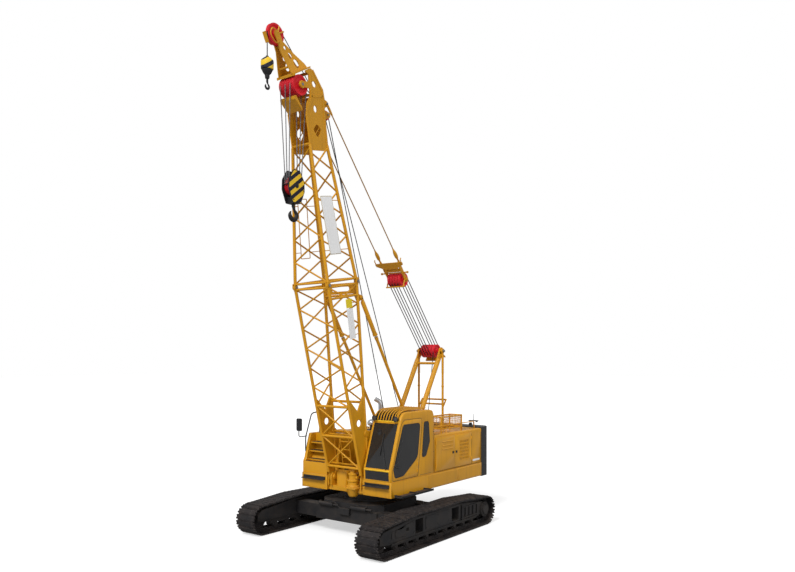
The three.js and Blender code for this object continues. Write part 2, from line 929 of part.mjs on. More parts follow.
function cabDoor() {
  const inner = cabOuter - 40;
  const panel = alongY(shrink(doorOutline, doorGap), inner, cabOuter);
  const opening = alongY(doorWindow, inner - 5, cabOuter + 5);
  const handle = box(880, 1040, cabOuter - 5, cabOuter + 30, 2120, 2150);
  const knuckles = [1850, 2050].map((z) =>
    discZ(cabDoorRear + 16, cabOuter + 8, 14, z, z + 90, 10));
  return join(cut(panel, opening), handle, knuckles);
}

place('cab_shell', cabShell(), yellow);
place('cab_door', cabDoor(), yellowDoor);
place('cab_door_glass', alongY(shrink(doorWindow, seat), cabOuter - 25, cabOuter - 15), glass);
place(
  'windshield',
  alongY(
    band(screenBottom, screenTop, -15 - glassThickness, -15, screenTrim + seat),
    cabInner + screenInset + seat,
    cabOuter - screenInset - seat,
  ),
  glass,
);
place(
  'lower_windshield',
  alongY(
    band(lowerScreenBottom, lowerScreenTop, -15 - glassThickness, -15, seat),
    cabInner + screenInset + seat,
    cabOuter - screenInset - seat,
  ),
  glass,
);

function controlStand(floor) {
  const y0 = cabInner + 85;
  const y1 = y0 + 120;
  const plinth = box(-300, 560, y0, y1, floor, floor + 620);
  const desk = box(450, 610, y0, y1, floor + 500, floor + 820);
  const middle = (y0 + y1) / 2;
  const levers = [0, 1, 2].map((i) =>
    bar([200 + i * 90, middle, floor + 610], [240 + i * 90, middle, floor + 800], 12, 6));
  return join(plinth, desk, levers);
}

function seatAndControls() {
  const floor = cabFloor + cabWall + seat;
  const seatY = (cabInner + cabOuter) / 2;
  const mat = box(-500, 620, cabInner + 75, cabOuter - 210, floor, floor + 8);
  const pedestal = box(-350, 50, seatY - 170, seatY + 170, floor, floor + 320);
  const cushion = box(-420, 130, seatY - 260, seatY + 260, floor + 310, floor + 450);
  const back = alongY(
    [[-420, floor + 440], [-300, floor + 440], [-420, floor + 1150], [-520, floor + 1150]],
    seatY - 240,
    seatY + 240,
  );
  return join(mat, pedestal, cushion, back, controlStand(floor));
}

place('seat_and_controls', seatAndControls(), seatBlack);

function lampHead(y) {
  const body = new THREE.CylinderGeometry(75, 60, 90, 12);
  body.rotateZ(-Math.PI / 2);
  body.translate(800, y, 3440);
  return toSolid(body);
}

// Slatted guard on the cab roof, carrying the two work lamps at its front.
function roofGuard() {
  const floor = cabTop + seat;
  const slatCount = 7;
  const slatWidth = 28;
  const firstSlat = cabInner + 90;
  const lastSlat = cabOuter - 80 - slatWidth;
  const slats = Array.from({ length: slatCount }, (_, i) => {
    const y = firstSlat + ((lastSlat - firstSlat) * i) / (slatCount - 1);
    return box(-620, 640, y, y + slatWidth, floor + 45, floor + 80);
  });
  const inner = cabInner + 105;
  const outer = cabOuter - 130;
  const crossBars = [-560, 560].map((x) =>
    box(x, x + 30, cabInner + 60, cabOuter - 60, floor + 30, floor + 50));
  const feet = [[-560, inner], [-560, outer], [440, inner], [440, outer]].map(([x, y]) =>
    box(x, x + 30, y, y + 30, floor, floor + 35));
  const braces = [inner, outer].map((y) => box(440, 775, y, y + 30, floor + 20, floor + 45));
  const lamps = [inner, outer].map((y) => join(
    box(740, 775, y, y + 30, 3480, floor + 45),
    lampHead(y + 15),
  ));
  return join(slats, crossBars, feet, braces, lamps);
}

place('cab_roof_guard', roofGuard(), yellow);

// ================================================================ winches

function drum({ x, z, core, flange }) {
  const flangePlate = 30;
  return turnedY(x, z, [
    [0, -earInner + 5],
    [shaftRadius, -earInner + 5],
    [shaftRadius, -drumHalf],
    [flange, -drumHalf],
    [flange, -drumHalf + flangePlate],
    [core, -drumHalf + flangePlate],
    [core, drumHalf - flangePlate],
    [flange, drumHalf - flangePlate],
    [flange, drumHalf],
    [shaftRadius, drumHalf],
    [shaftRadius, earInner - 5],
    [0, earInner - 5],
  ], 18);
}

place('main_drum', drum(mainDrum), darkGrey);
place('aux_drum', drum(auxDrum), darkGrey);
place('luffing_drum', drum(luffDrum), darkGrey);

// ================================================================ gantry

const headPlateInner = 395;
const headPlateOuter = 445;

function frontLegs() {
  const [headX, headZ] = gantryHead;
  const [footX, footZ] = gantryFoot;
  const cheek = ([x, z], radius, y0, y1) => discY(x, z, radius, y0, y1, 12);
  const legLength = Math.hypot(headX - footX, headZ - footZ);
  const along = (distance) => [
    headX + ((footX - headX) * distance) / legLength,
    headZ + ((footZ - headZ) * distance) / legLength,
  ];
  const [tubeX, tubeZ] = along(330);
  const half = [(solid) => solid, mirrorY].map((turn) =>
    turn(join(
      bar([footX, legY, footZ], [tubeX, legY, tubeZ], legRadius, 8),
      alongY(band(gantryHead, along(520), -60, 60), headPlateInner, headPlateOuter),
      cheek(gantryFoot, 95, legY - 60, legY + 60),
      cheek(gantryFoot, 45, legY + 50, girderInner - seat),
      cheek(gantryHead, 120, headPlateInner, headPlateOuter),
    )));
  const tieAt = (share, radius) => {
    const x = headX + (footX - headX) * share;
    const z = headZ + (footZ - headZ) * share;
    return bar([x, -legY, z], [x, legY, z], radius, 6);
  };
  return join(half, tieAt(0.12, 40), tieAt(0.5, 45), tieAt(0.78, 40));
}

function rearLegs() {
  const x = gantryHead[0];
  const outer = headPlateOuter + seat;
  const y = outer + rearLegRadius + 2;
  const half = [(solid) => solid, mirrorY].map((turn) =>
    turn(join(
      bar([x, y, deckTop + seat], [x, y, gantryHead[1] - 60], rearLegRadius, 10),
      discY(x, gantryHead[1], 80, outer, outer + 60, 12),
      box(x - 30, x + 30, outer, outer + 60, gantryHead[1] - 160, gantryHead[1]),
      box(x - 60, x + 60, y - 40, y + 40, deckTop + seat, deckTop + 90),
      bar([x, y, 3470], [x - 220, y, 3760], 26, 8),
    )));
  const crossPipe = bar([x - 220, -y, 3740], [x - 220, y, 3740], 30, 8);
  const upper = bar([x, -y, 3600], [x, y, 3600], 30, 8);
  return join(half, crossPipe, upper);
}

const sheaveSides = 12;

function grooveRadius(radius) {
  return radius * 0.9;
}

// How far a rope's centre runs from the centre of the sheave it leaves.
function ropeOffset(radius) {
  return grooveRadius(radius) + ropeRadius + seat;
}

// A row of grooved sheaves on one shaft whose ends face the cheeks that carry it.
// `turn` (degrees) points a corner of the faceted rims at the rope that leaves them.
function sheaveRow({ radius, count, pitch, reach, shaft = 40, turn = 0 }) {
  const rim = pitch * 0.42;
  const groove = grooveRadius(radius);
  const floor = ropeRadius + 2;
  const half = (count / 2) * pitch - (pitch / 2 - rim);
  const profile = [[0, -reach], [shaft, -reach], [shaft, -half]];
  for (let i = 0; i < count; i += 1) {
    const y = (i - (count - 1) / 2) * pitch;
    profile.push([radius, y - rim], [groove, y - floor], [groove, y + floor], [radius, y + rim]);
  }
  profile.push([shaft, half], [shaft, reach], [0, reach]);
  return turnedY(0, 0, profile, sheaveSides).rotate([0, turn, 0]);
}

place('gantry_front_legs', frontLegs(), yellow);
place('gantry_rear_legs', rearLegs(), yellow);

// ================================================================ boom

function between(value, from, to) {
  return (value - from) / (to - from);
}

function halfDepthAt(s) {
  if (s < baseLength) {
    return THREE.MathUtils.lerp(footHalfDepth, midHalfDepth, between(s, 0, baseLength));
  }
  return THREE.MathUtils.lerp(midHalfDepth, headHalfDepth, between(s, baseLength, topEnd));
}

function halfWidthAt(s) {
  if (s < baseLength) {
    return baseHalfWidth;
  }
  return THREE.MathUtils.lerp(baseHalfWidth, headHalfWidth, Math.min(1, between(s, baseLength, topEnd)));
}

// A corner of the boom's section: sideY and sideD are +1 or -1.
function corner(s, sideY, sideD) {
  return [s, sideY * halfWidthAt(s), sideD * halfDepthAt(s)];
}

const sides = [1, -1];

function chords(from, to) {
  return sides.flatMap((sideY) =>
    sides.map((sideD) => bar(corner(from, sideY, sideD), corner(to, sideY, sideD), chordRadius, chordSides)));
}

// A thin bar whose ends stop just inside the chords it joins.
function lace(from, to) {
  const start = new THREE.Vector3(...from);
  const end = new THREE.Vector3(...to);
  const trim = end.clone().sub(start).setLength(chordRadius - 15);
  return bar(start.add(trim).toArray(), end.sub(trim).toArray(), laceRadius, laceSides);
}

// Zigzag lacing on all four faces between two stations.
function lacing(from, to, bays) {
  const step = (to - from) / bays;
  const bars = [];
  for (let bay = 0; bay < bays; bay += 1) {
    const low = from + bay * step;
    const high = low + step;
    const flip = bay % 2 === 0 ? 1 : -1;
    for (const side of sides) {
      bars.push(lace(corner(low, side, flip), corner(high, side, -flip)));
      bars.push(lace(corner(low, flip, side), corner(high, -flip, side)));
    }
  }
  return bars;
}

function boomBase() {
  const plateEnd = 2200;
  const notch = 1900;
  const outline = [
    ...arc(0, 0, 140, 110, 250, 10),
    [plateEnd, -halfDepthAt(plateEnd)],
    [notch, 0],
    [plateEnd, halfDepthAt(plateEnd)],
  ];
  const ellipse = Array.from({ length: 16 }, (_, i) => {
    const angle = (i / 16) * 2 * Math.PI;
    return [1050 + 330 * Math.cos(angle), 95 * Math.sin(angle)];
  });
  const bore = circle(0, 0, (footPinRadius + runningGap) / Math.cos(Math.PI / boreSides), boreSides);
  const footPlates = [(solid) => solid, mirrorY].map((turn) =>
    turn(alongY(outline, footPlateInner, footPlateOuter, [bore, ellipse])));
  const crossTubes = [390, 1320, 2220].map((s) =>
    bar([s, -baseHalfWidth, -halfDepthAt(s)], [s, baseHalfWidth, -halfDepthAt(s)], crossRadius, 6));
  const rearTubes = [1320, 2220].map((s) =>
    bar([s, -baseHalfWidth, halfDepthAt(s)], [s, baseHalfWidth, halfDepthAt(s)], crossRadius, 6));
  const braces = [[390, 1320], [1320, 2220]].flatMap(([from, to]) =>
    sides.map((side) => lace(corner(from, side, -1), corner(to, -side, -1))));
  const end = baseLength - 60;
  const endFrame = sides.flatMap((side) => [
    bar(corner(end, side, 1), corner(end, side, -1), 32, 6),
    bar(corner(end, 1, side), corner(end, -1, side), 32, 6),
  ]);
  const portal = box(
    5330,
    end,
    -baseHalfWidth,
    baseHalfWidth,
    halfDepthAt(5450) - 8,
    halfDepthAt(5450) + 8,
  );
  const slot = box(5400, end - 60, -330, 330, halfDepthAt(5450) - 40, halfDepthAt(5450) + 40);
  const backstopLugs = sides.map((side) => {
    const y = side * backstopY;
    return alongY(
      [
        [backstopPin.s - 130, halfDepthAt(backstopPin.s) - 30],
        [backstopPin.s - 60, backstopPin.d + 50],
        [backstopPin.s + 60, backstopPin.d + 50],
        [backstopPin.s + 130, halfDepthAt(backstopPin.s) - 30],
      ],
      Math.min(y, y - side * 50),
      Math.max(y, y - side * 50),
    );
  });
  const beyond = box(baseLength - seat / 2, baseLength + 100, -900, 900, -900, 900);
  return cut(join(
    chords(200, baseLength + 20),
    footPlates,
    crossTubes,
    rearTubes,
    braces,
    lacing(2220, end, 6),
    endFrame,
    cut(portal, slot),
    backstopLugs,
  ), beyond);
}

const guideInner = 150;
const headPitch = 92;
const headInner = headHalfWidth - headPlate / 2;
const headOuter = headHalfWidth + headPlate / 2;

function boomTop() {
  const start = baseLength + 60;
  const endFrame = sides.flatMap((side) => [
    bar(corner(start, side, 1), corner(start, side, -1), 32, 6),
    bar(corner(start, 1, side), corner(start, -1, side), 32, 6),
  ]);
  const outline = [
    [9300, -headHalfDepth - 20],
    [10450, -420],
    [10850, -600],
    [11240, -600],
    [11480, 30],
    [headEnd - 350, 430],
    [10380, 400],
    [9300, headHalfDepth + 20],
  ];
  const holes = [
    circle(9850, 0, 120),
    circle(10400, 0, 140),
    circle(headSheave.s + 60, 60, 90),
  ];
  const pendantLug = [
    [pendantPin.s - 150, 350],
    [pendantPin.s - 60, pendantPin.d + 60],
    [pendantPin.s + 60, pendantPin.d + 60],
    [pendantPin.s + 150, 350],
  ];
  const guideLug = [
    [guideMain.s - 220, 330],
    [guideMain.s - 60, guideMain.d + 50],
    [guideMain.s + 60, guideMain.d + 50],
    [guideMain.s + 160, 330],
  ];
  const plates = [(solid) => solid, mirrorY].map((turn) =>
    turn(join(
      alongY(outline, headInner, headOuter, holes),
      alongY(pendantLug, headInner, headOuter),
      alongY(guideLug, guideInner, guideInner + 25),
      bar([guideMain.s - 120, guideInner + 10, 365], [guideMain.s - 120, headInner + 5, 365], 40),
      bar([guideMain.s + 90, guideInner + 10, 365], [guideMain.s + 90, headInner + 5, 365], 30),
    )));
  const backPlate = box(9420, 10150, -headInner - 5, headInner + 5, headHalfDepth - 12, headHalfDepth + 12);
  const ties = [
    bar([9480, -headInner - 5, -300], [9480, headInner + 5, -300], 40),
    bar([10150, -headInner - 5, 0], [10150, headInner + 5, 0], 50),
    bar([10780, -headInner - 5, 330], [10780, headInner + 5, 330], 45),
    bar([10780, -headInner - 5, -40], [10780, headInner + 5, -40], 35),
    bar([11330, -headInner - 5, -60], [11330, headInner + 5, -60], 40),
  ];
  const below = box(baseLength - 100, baseLength + seat / 2, -900, 900, -900, 900);
  return cut(join(
    chords(baseLength - 20, topEnd),
    endFrame,
    lacing(start, topEnd - 60, 7),
    plates,
    backPlate,
    ties,
  ), below);
}

place('boom_base', boomBase(), yellow, boom);
place('boom_top', boomTop(), yellow, boom);
place('head_sheaves', sheaveRow({
  radius: headSheave.radius,
  count: 6,
  pitch: headPitch,
  reach: headInner - seat,
  turn: boomAngle - 90,
}).translate([headSheave.s, 0, headSheave.d]), red, boom);
place('guide_sheaves', sheaveRow({
  radius: guideMain.radius,
  count: 2,
  pitch: 120,
  reach: guideInner - seat,
  shaft: 30,
}).translate([guideMain.s, 0, guideMain.d]), red, boom);

// ================================================================ boom tip extension

const tipInner = 62;
const tipOuter = 90;
const tipRoot = 11260;
const tipBend = 11850;
const tipRootInner = headInner - 85;

// How far the extension's plates stand from the middle: splayed at the root, parallel at the sheave.
function tipSpread(s) {
  return tipInner + (tipRootInner - tipInner) * Math.max(0, (tipBend - s) / (tipBend - tipRoot));
}

function tipPlate() {
  const outline = [
    [tipRoot, -640],
    [11420, -705],
    [tipSheave.s - 30, tipSheave.d - 90],
    ...arc(tipSheave.s, tipSheave.d, 95, -80, 70, 6),
    [11620, 0],
    [11530, 60],
  ];
  const holes = [
    circle(11580, -350, 130),
    circle(11790, -480, 90),
    circle(12000, -630, 65),
  ];
  const plate = alongY(outline, tipInner, tipOuter, holes);
  const parallel = cut(plate, box(0, tipBend - 10, -500, 500, -2000, 500));
  const root = cut(plate, box(tipBend, 20000, -500, 500, -2000, 500));
  const splay = (tipInner - tipRootInner) / (tipBend - tipRoot);
  const shear = new THREE.Matrix4().makeShear(splay, 0, 0, 0, 0, 0);
  const leaning = root.transform(shear.elements).translate([0, -splay * tipBend, 0]);
  return join(parallel, leaning);
}

function tipExtension() {
  const plate = tipPlate();
  const base = alongY(
    band([11240, -600], [11480, 30], seat, 45),
    -headOuter,
    headOuter,
  );
  const ties = [[11560, -60], [11450, -640], [11950, -730]].map(([s, d]) =>
    bar([s, -tipSpread(s) - 10, d], [s, tipSpread(s) + 10, d], 30));
  const guardLugs = alongY(
    [
      [tipSheave.s - 260, tipSheave.d + 60],
      [tipSheave.s - 260, tipSheave.d - 20],
      [tipSheave.s - 20, tipSheave.d - 400],
      [tipSheave.s + 60, tipSheave.d - 360],
      [tipSheave.s + 40, tipSheave.d - 40],
    ],
    tipInner,
    tipOuter,
  );
  return join(base, plate, mirrorY(plate), ties, guardLugs, mirrorY(guardLugs));
}

place('boom_tip_extension', tipExtension(), yellow, boom);
place('tip_sheave', sheaveRow({
  radius: tipSheave.radius,
  count: 1,
  pitch: 110,
  reach: tipInner - seat,
  turn: boomAngle - 90,
}).translate([tipSheave.s, 0, tipSheave.d]), red, boom);

// ================================================================ backstops

const backstopTop = boomPoint(backstopPin);
const backstopRun = Math.hypot(backstopTop[0] - backstopFoot[0], backstopTop[1] - backstopFoot[1]);
const headTubeRadius = 62;
const headTubeLength = 1250;
const stemRadius = 30;
const stemReach = 4700;
const stayTubeRadius = 46;
const stayRoom = 60;

const backstop = new THREE.Group();
backstop.position.set(backstopTop[0], 0, backstopTop[1]);
backstop.rotation.y = -Math.atan2(backstopTop[1] - backstopFoot[1], backstopTop[0] - backstopFoot[0]);
crane.add(backstop);

// Drawn with the upper pin at the origin and the stay running along -X.
function backstopHead() {
  const eye = discY(0, 0, 55, backstopY + seat, backstopY + 40, 12);
  const link = box(-200, -20, backstopY + seat, backstopY + 40, -40, 40);
  const tube = bar([-headTubeLength, backstopY, 0], [-120, backstopY, 0], headTubeRadius, 10);
  const stem = bar([-stemReach, backstopY, 0], [-headTubeLength + 20, backstopY, 0], stemRadius, 8);
  return join(tube, stem, eye, link);
}

function backstopStay() {
  const foot = -backstopRun;
  const bore = (stemRadius + runningGap) / Math.cos(Math.PI / 8);
  const tube = bar([foot + 170, backstopY, 0], [-headTubeLength - stayRoom, backstopY, 0], stayTubeRadius, 8);
  const hollow = bar([-stemReach - 50, backstopY, 0], [-headTubeLength + 10, backstopY, 0], bore, 8);
  const eye = discY(foot, 0, 55, backstopY - 22, backstopY + 22, 12);
  const neck = box(foot, foot + 200, backstopY - 22, backstopY + 22, -35, 35);
  return join(cut(tube, hollow), eye, neck);
}

onBothSides((side, turn) => {
  place(`backstop_head_${side}`, turn(backstopHead()), yellow, backstop);
  place(`backstop_stay_${side}`, turn(backstopStay()), yellow, backstop);
});

// ================================================================ luffing gear

const pendantTop = boomPoint(pendantPin);
const luffRun = [pendantTop[0] - gantryHead[0], pendantTop[1] - gantryHead[1]];
const luffLength = Math.hypot(...luffRun);
const luffSheaves = 8;
const luffPitch = 72;
const equalizerInner = 300;
const equalizerAt = 3460;
const equalizerSheaveAt = 2936;

const luffing = new THREE.Group();
luffing.position.set(gantryHead[0], 0, gantryHead[1]);
luffing.rotation.y = -Math.atan2(luffRun[1], luffRun[0]);
crane.add(luffing);

const pendantY = headOuter + seat + 12;

// Drawn with the gantry's shaft at the origin and the stay running along +X.
function pendant() {
  const socket = 260;
  const start = equalizerAt + 60;
  const y0 = pendantY - 12;
  const y1 = pendantY + 12;
  return join(
    discY(start, 0, 50, y0, y1, 12),
    box(start, start + 120, y0, y1, -45, 45),
    bar([start + 100, pendantY, 0], [start + 100 + socket, pendantY, 0], 34, 10),
    bar([start + 300, pendantY, 0], [luffLength - 300, pendantY, 0], 17, 8),
    bar([luffLength - 360, pendantY, 0], [luffLength - 100, pendantY, 0], 34, 10),
    box(luffLength - 120, luffLength, y0, y1, -45, 45),
    discY(luffLength, 0, 50, y0, y1, 12),
  );
}

function equalizer() {
  const half = [(solid) => solid, mirrorY].map((turn) =>
    turn(join(
      alongY(
        [
          [equalizerSheaveAt - 90, -60],
          [equalizerSheaveAt - 90, 60],
          [equalizerAt - 150, 100],
          [equalizerAt + 120, 55],
          [equalizerAt + 120, -55],
          [equalizerAt - 150, -100],
        ],
        equalizerInner,
        pendantY - 12 - seat,
      ),
    )));
  const beams = [equalizerAt - 170, equalizerAt + 20].map((s) =>
    bar([s, -equalizerInner - 10, 0], [s, equalizerInner + 10, 0], 55, 10));
  return join(half, beams);
}

onBothSides((side, turn) => {
  place(`pendant_${side}`, turn(pendant()), pendantPaint, luffing);
});
place('equalizer', equalizer(), yellow, luffing);
place('gantry_sheaves', sheaveRow({
  radius: gantrySheave,
  count: luffSheaves,
  pitch: luffPitch,
  reach: headPlateInner - seat,
}), red, luffing);
place('equalizer_sheaves', sheaveRow({
  radius: gantrySheave,
  count: luffSheaves,
  pitch: luffPitch,
  reach: equalizerInner - seat,
}).translate([equalizerSheaveAt, 0, 0]), red, luffing);

// One fall of the luffing rope, between the two rows of sheaves.
const luffOffset = ropeOffset(gantrySheave);
place(
  'luffing_rope',
  bar([0, luffPitch / 2, luffOffset], [equalizerSheaveAt, luffPitch / 2, luffOffset], ropeRadius, 8),
  ropeSteel,
  luffing,
);

// ================================================================ main hook

const [headX, headZ] = boomPoint(headSheave);
const mainHook = new THREE.Group();
mainHook.position.set(headX, 0, 0);
crane.add(mainHook);

function hookBlock() {
  const cheek = [
    [-120, blockCentreZ + 420],
    [-290, blockCentreZ + 150],
    [-300, blockCentreZ - 120],
    [-150, blockCentreZ - 470],
    [150, blockCentreZ - 470],
    [300, blockCentreZ - 120],
    [290, blockCentreZ + 150],
    [120, blockCentreZ + 420],
  ];
  const plates = [(solid) => solid, mirrorY].map((turn) =>
    turn(alongY(cheek, blockHalf - blockPlate, blockHalf)));
  const head = bar([0, -blockHalf + 5, blockCentreZ + 370], [0, blockHalf - 5, blockCentreZ + 370], 35, 10);
  const trunnion = box(-110, 110, -blockHalf + 5, blockHalf - 5, blockCentreZ - 470, blockCentreZ - 300);
  const swivelHole = discZ(0, 0, (45 + runningGap) / Math.cos(Math.PI / boreSides), blockCentreZ - 480, blockCentreZ - 290);
  return join(plates, head, cut(trunnion, swivelHole));
}

// A crane hook drawn in the (x, z) plane about its bend, with its shank above.
function hook(bend, throat, thickness, shankTop, shankRadius) {
  const outer = throat + thickness;
  const outline = [
    [-shankRadius, bend + outer + 60],
    ...arc(0, bend, outer, 130, 390, 18),
    ...arc(0, bend, throat, 390, 130, 14).slice(0, -3),
    [shankRadius * 0.2, bend + throat + 20],
    [shankRadius, bend + outer + 60],
  ];
  const body = alongY(outline, -thickness * 0.42, thickness * 0.42);
  return join(body, discZ(0, 0, shankRadius, bend + outer + 20, shankTop));
}

place('main_hook_block', hookBlock(), yellow, mainHook);
place('block_sheaves', sheaveRow({
  radius: blockSheave,
  count: 3,
  pitch: blockPitch,
  reach: blockHalf - blockPlate - seat,
}).translate([0, 0, blockCentreZ]), red, mainHook);

const hookBend = blockCentreZ - 770;
const hookShank = discZ(0, 0, 75, blockCentreZ - 300 + seat, blockCentreZ - 265);
place(
  'main_hook',
  join(hook(hookBend, 80, 110, blockCentreZ - 270, 45), hookShank),
  black,
  mainHook,
);
place(
  'main_hoist_rope',
  bar(
    [ropeOffset(blockSheave), blockPitch, blockCentreZ],
    [ropeOffset(headSheave.radius), headPitch / 2, headZ],
    ropeRadius,
    8,
  ),
  ropeSteel,
  mainHook,
);

// ================================================================ auxiliary hook

const [tipX, tipZ] = boomPoint(tipSheave);
const auxX = tipX + ropeOffset(tipSheave.radius);
const auxHook = new THREE.Group();
auxHook.position.set(auxX, 0, 0);
crane.add(auxHook);

function auxWeight() {
  const body = turnedZ(0, 0, [
    [0, auxBottomZ],
    [75, auxBottomZ],
    [130, auxBottomZ + 90],
    [140, auxBottomZ + 300],
    [100, auxTopZ - 120],
    [50, auxTopZ - 60],
    [50, auxTopZ],
    [0, auxTopZ],
  ]);
  return cut(body, discZ(0, 0, (28 + runningGap) / Math.cos(Math.PI / boreSides), auxBottomZ - 5, auxBottomZ + 60));
}

place('aux_weight', auxWeight(), yellow, auxHook);
place('aux_hook', hook(auxBottomZ - 200, 40, 52, auxBottomZ + 60 - seat, 28), black, auxHook);
place(
  'aux_hoist_rope',
  bar([0, 0, auxTopZ + seat], [0, 0, tipZ], ropeRadius, 8),
  ropeSteel,
  auxHook,
);

export default crane;
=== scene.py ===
"""Looks for a crawler crane with a lattice boom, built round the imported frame.

Every length is in metres, in the frame's own axes: +X out of the crane's front, +Y to its left,
+Z up. Each sub-assembly is a class that makes its meshes, dresses them and lets them ride on the
frame's bodies.
"""

from __future__ import annotations

import json
import logging
import math
from dataclasses import dataclass
from enum import Enum
from typing import Callable, Iterable, Optional, Sequence

import bmesh
import bpy
from mathutils import Matrix, Vector
from mathutils.geometry import tessellate_polygon

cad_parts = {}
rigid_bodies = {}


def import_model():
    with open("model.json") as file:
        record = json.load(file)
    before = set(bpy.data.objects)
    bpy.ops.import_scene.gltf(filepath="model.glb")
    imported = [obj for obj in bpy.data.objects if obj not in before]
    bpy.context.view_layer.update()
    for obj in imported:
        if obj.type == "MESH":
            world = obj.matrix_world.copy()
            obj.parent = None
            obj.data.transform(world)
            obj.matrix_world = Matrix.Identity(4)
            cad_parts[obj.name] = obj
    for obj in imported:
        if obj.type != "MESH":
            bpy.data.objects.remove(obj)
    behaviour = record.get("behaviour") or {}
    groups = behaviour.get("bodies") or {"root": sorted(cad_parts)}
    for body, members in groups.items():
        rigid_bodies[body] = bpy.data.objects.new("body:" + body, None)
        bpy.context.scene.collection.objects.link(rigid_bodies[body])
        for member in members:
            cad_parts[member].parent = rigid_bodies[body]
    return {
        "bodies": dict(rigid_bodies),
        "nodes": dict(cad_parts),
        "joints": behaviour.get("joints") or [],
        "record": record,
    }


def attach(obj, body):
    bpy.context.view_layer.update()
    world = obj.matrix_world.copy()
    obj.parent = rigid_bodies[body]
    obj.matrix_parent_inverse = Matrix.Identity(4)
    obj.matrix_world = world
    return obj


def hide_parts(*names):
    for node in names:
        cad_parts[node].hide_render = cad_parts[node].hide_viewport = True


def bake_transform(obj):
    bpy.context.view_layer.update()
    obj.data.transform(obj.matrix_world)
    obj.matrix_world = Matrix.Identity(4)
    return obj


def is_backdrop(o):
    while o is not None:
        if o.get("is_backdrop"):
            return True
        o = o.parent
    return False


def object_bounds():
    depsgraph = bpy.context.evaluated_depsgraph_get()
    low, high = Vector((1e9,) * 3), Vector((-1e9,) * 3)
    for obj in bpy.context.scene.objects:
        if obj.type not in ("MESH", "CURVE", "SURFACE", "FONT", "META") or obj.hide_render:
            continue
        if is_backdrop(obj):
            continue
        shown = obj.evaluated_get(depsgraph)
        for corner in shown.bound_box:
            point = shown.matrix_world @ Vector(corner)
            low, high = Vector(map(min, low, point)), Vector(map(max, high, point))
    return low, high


LOG = logging.getLogger("crane")

Point = Sequence[float]
Outline = list[tuple[float, float]]
Corners = tuple[tuple[float, float], ...]
Colour = tuple[float, float, float]
Nodes = dict[str, bpy.types.Object]

UP = Vector((0, 0, 1))
LEFT, RIGHT = 1, -1
SIDE_NAMES = {LEFT: "left", RIGHT: "right"}
GANTRY_SHAFT = (-3.263, 0.0, 5.381)
SMOOTH_ANGLE = math.radians(32)
FLAT_ANGLE = 0.001
MERGE_DISTANCE = 2e-5


class Plane(Enum):
    """The plane that an outline is drawn in: the extrusion runs along the third axis."""

    XZ = "along y"
    YZ = "along x"
    XY = "along z"


class Axis(Enum):
    """The axis that a profile is turned about."""

    X = 0
    Y = 1
    Z = 2


class Facing(Enum):
    """Where the top of a small piece points, as its turns about the three axes."""

    UP = (0.0, 0.0, 0.0)
    FORWARDS = (0.0, math.pi / 2, 0.0)
    LEFTWARDS = (-math.pi / 2, 0.0, 0.0)
    RIGHTWARDS = (math.pi / 2, 0.0, 0.0)


# ---------------------------------------------------------------- outlines


def arc(centre: Point, radius: float, start: float, end: float, steps: int = 8) -> Outline:
    """Points on a circular arc.

    Args:
        centre: The middle of the arc.
        radius: Its radius.
        start: The first angle, in degrees.
        end: The last angle, in degrees.
        steps: How many chords it is made of.

    Returns:
        The points, from start to end.
    """
    angles = [math.radians(start + (end - start) * i / steps) for i in range(steps + 1)]
    return [(centre[0] + radius * math.cos(a), centre[1] + radius * math.sin(a)) for a in angles]


def rounded(points: Outline, radii: Sequence[float], steps: int = 5) -> Outline:
    """An outline with its corners rounded.

    Args:
        points: The sharp outline.
        radii: A radius for each corner; 0 leaves it sharp.
        steps: How many chords each round corner has.

    Returns:
        The outline with round corners.
    """
    result: Outline = []
    count = len(points)
    for i, point in enumerate(points):
        here = Vector(point)
        before = Vector(points[i - 1]) - here
        after = Vector(points[(i + 1) % count]) - here
        radius = radii[i % len(radii)]
        if radius <= 0:
            result.append(tuple(here))
            continue
        angle = before.angle(after)
        reach = min(radius / math.tan(angle / 2), before.length * 0.49, after.length * 0.49)
        first = here + before.normalized() * reach
        last = here + after.normalized() * reach
        for step in range(steps + 1):
            t = step / steps
            result.append(tuple(first.lerp(here, t).lerp(here.lerp(last, t), t)))
    return result


def oval(centre: Point, half_width: float, half_height: float, steps: int = 24) -> Outline:
    """Points on an ellipse about centre.

    Args:
        centre: Its middle.
        half_width: Half its width.
        half_height: Half its height.
        steps: How many points it has.

    Returns:
        The points.
    """
    turns = [2 * math.pi * i / steps for i in range(steps)]
    return [(centre[0] + half_width * math.cos(t), centre[1] + half_height * math.sin(t))
            for t in turns]


def inset(points: Outline, distance: float) -> Outline:
    """An outline moved inwards by a distance along each edge's normal.

    Args:
        points: The outline.
        distance: How far to move, negative for outwards.

    Returns:
        The moved outline.
    """
    count = len(points)
    area = sum(
        points[i][0] * points[(i + 1) % count][1] - points[(i + 1) % count][0] * points[i][1]
        for i in range(count)
    )
    turn = 1 if area > 0 else -1
    result: Outline = []
    for i in range(count):
        here = Vector(points[i])
        before = (here - Vector(points[i - 1])).normalized()
        after = (Vector(points[(i + 1) % count]) - here).normalized()
        normal_before = Vector((-before.y, before.x)) * turn
        normal_after = Vector((-after.y, after.x)) * turn
        middle = (normal_before + normal_after).normalized()
        scale = distance / max(0.3, middle.dot(normal_before))
        result.append(tuple(here + middle * scale))
    return result


def rectangle(low: Point, high: Point, radius: float, steps: int = 5) -> Outline:
    """A rectangle between two corners, with its four corners rounded alike."""
    corners = [(low[0], low[1]), (high[0], low[1]), (high[0], high[1]), (low[0], high[1])]
    return rounded(corners, [radius], steps)


def there_and_back(half: Outline) -> Outline:
    """A whole outline from one half: on the way back, the second value has the other sign."""
    return half + [(a, -b) for a, b in reversed(half)]


# ---------------------------------------------------------------- meshes


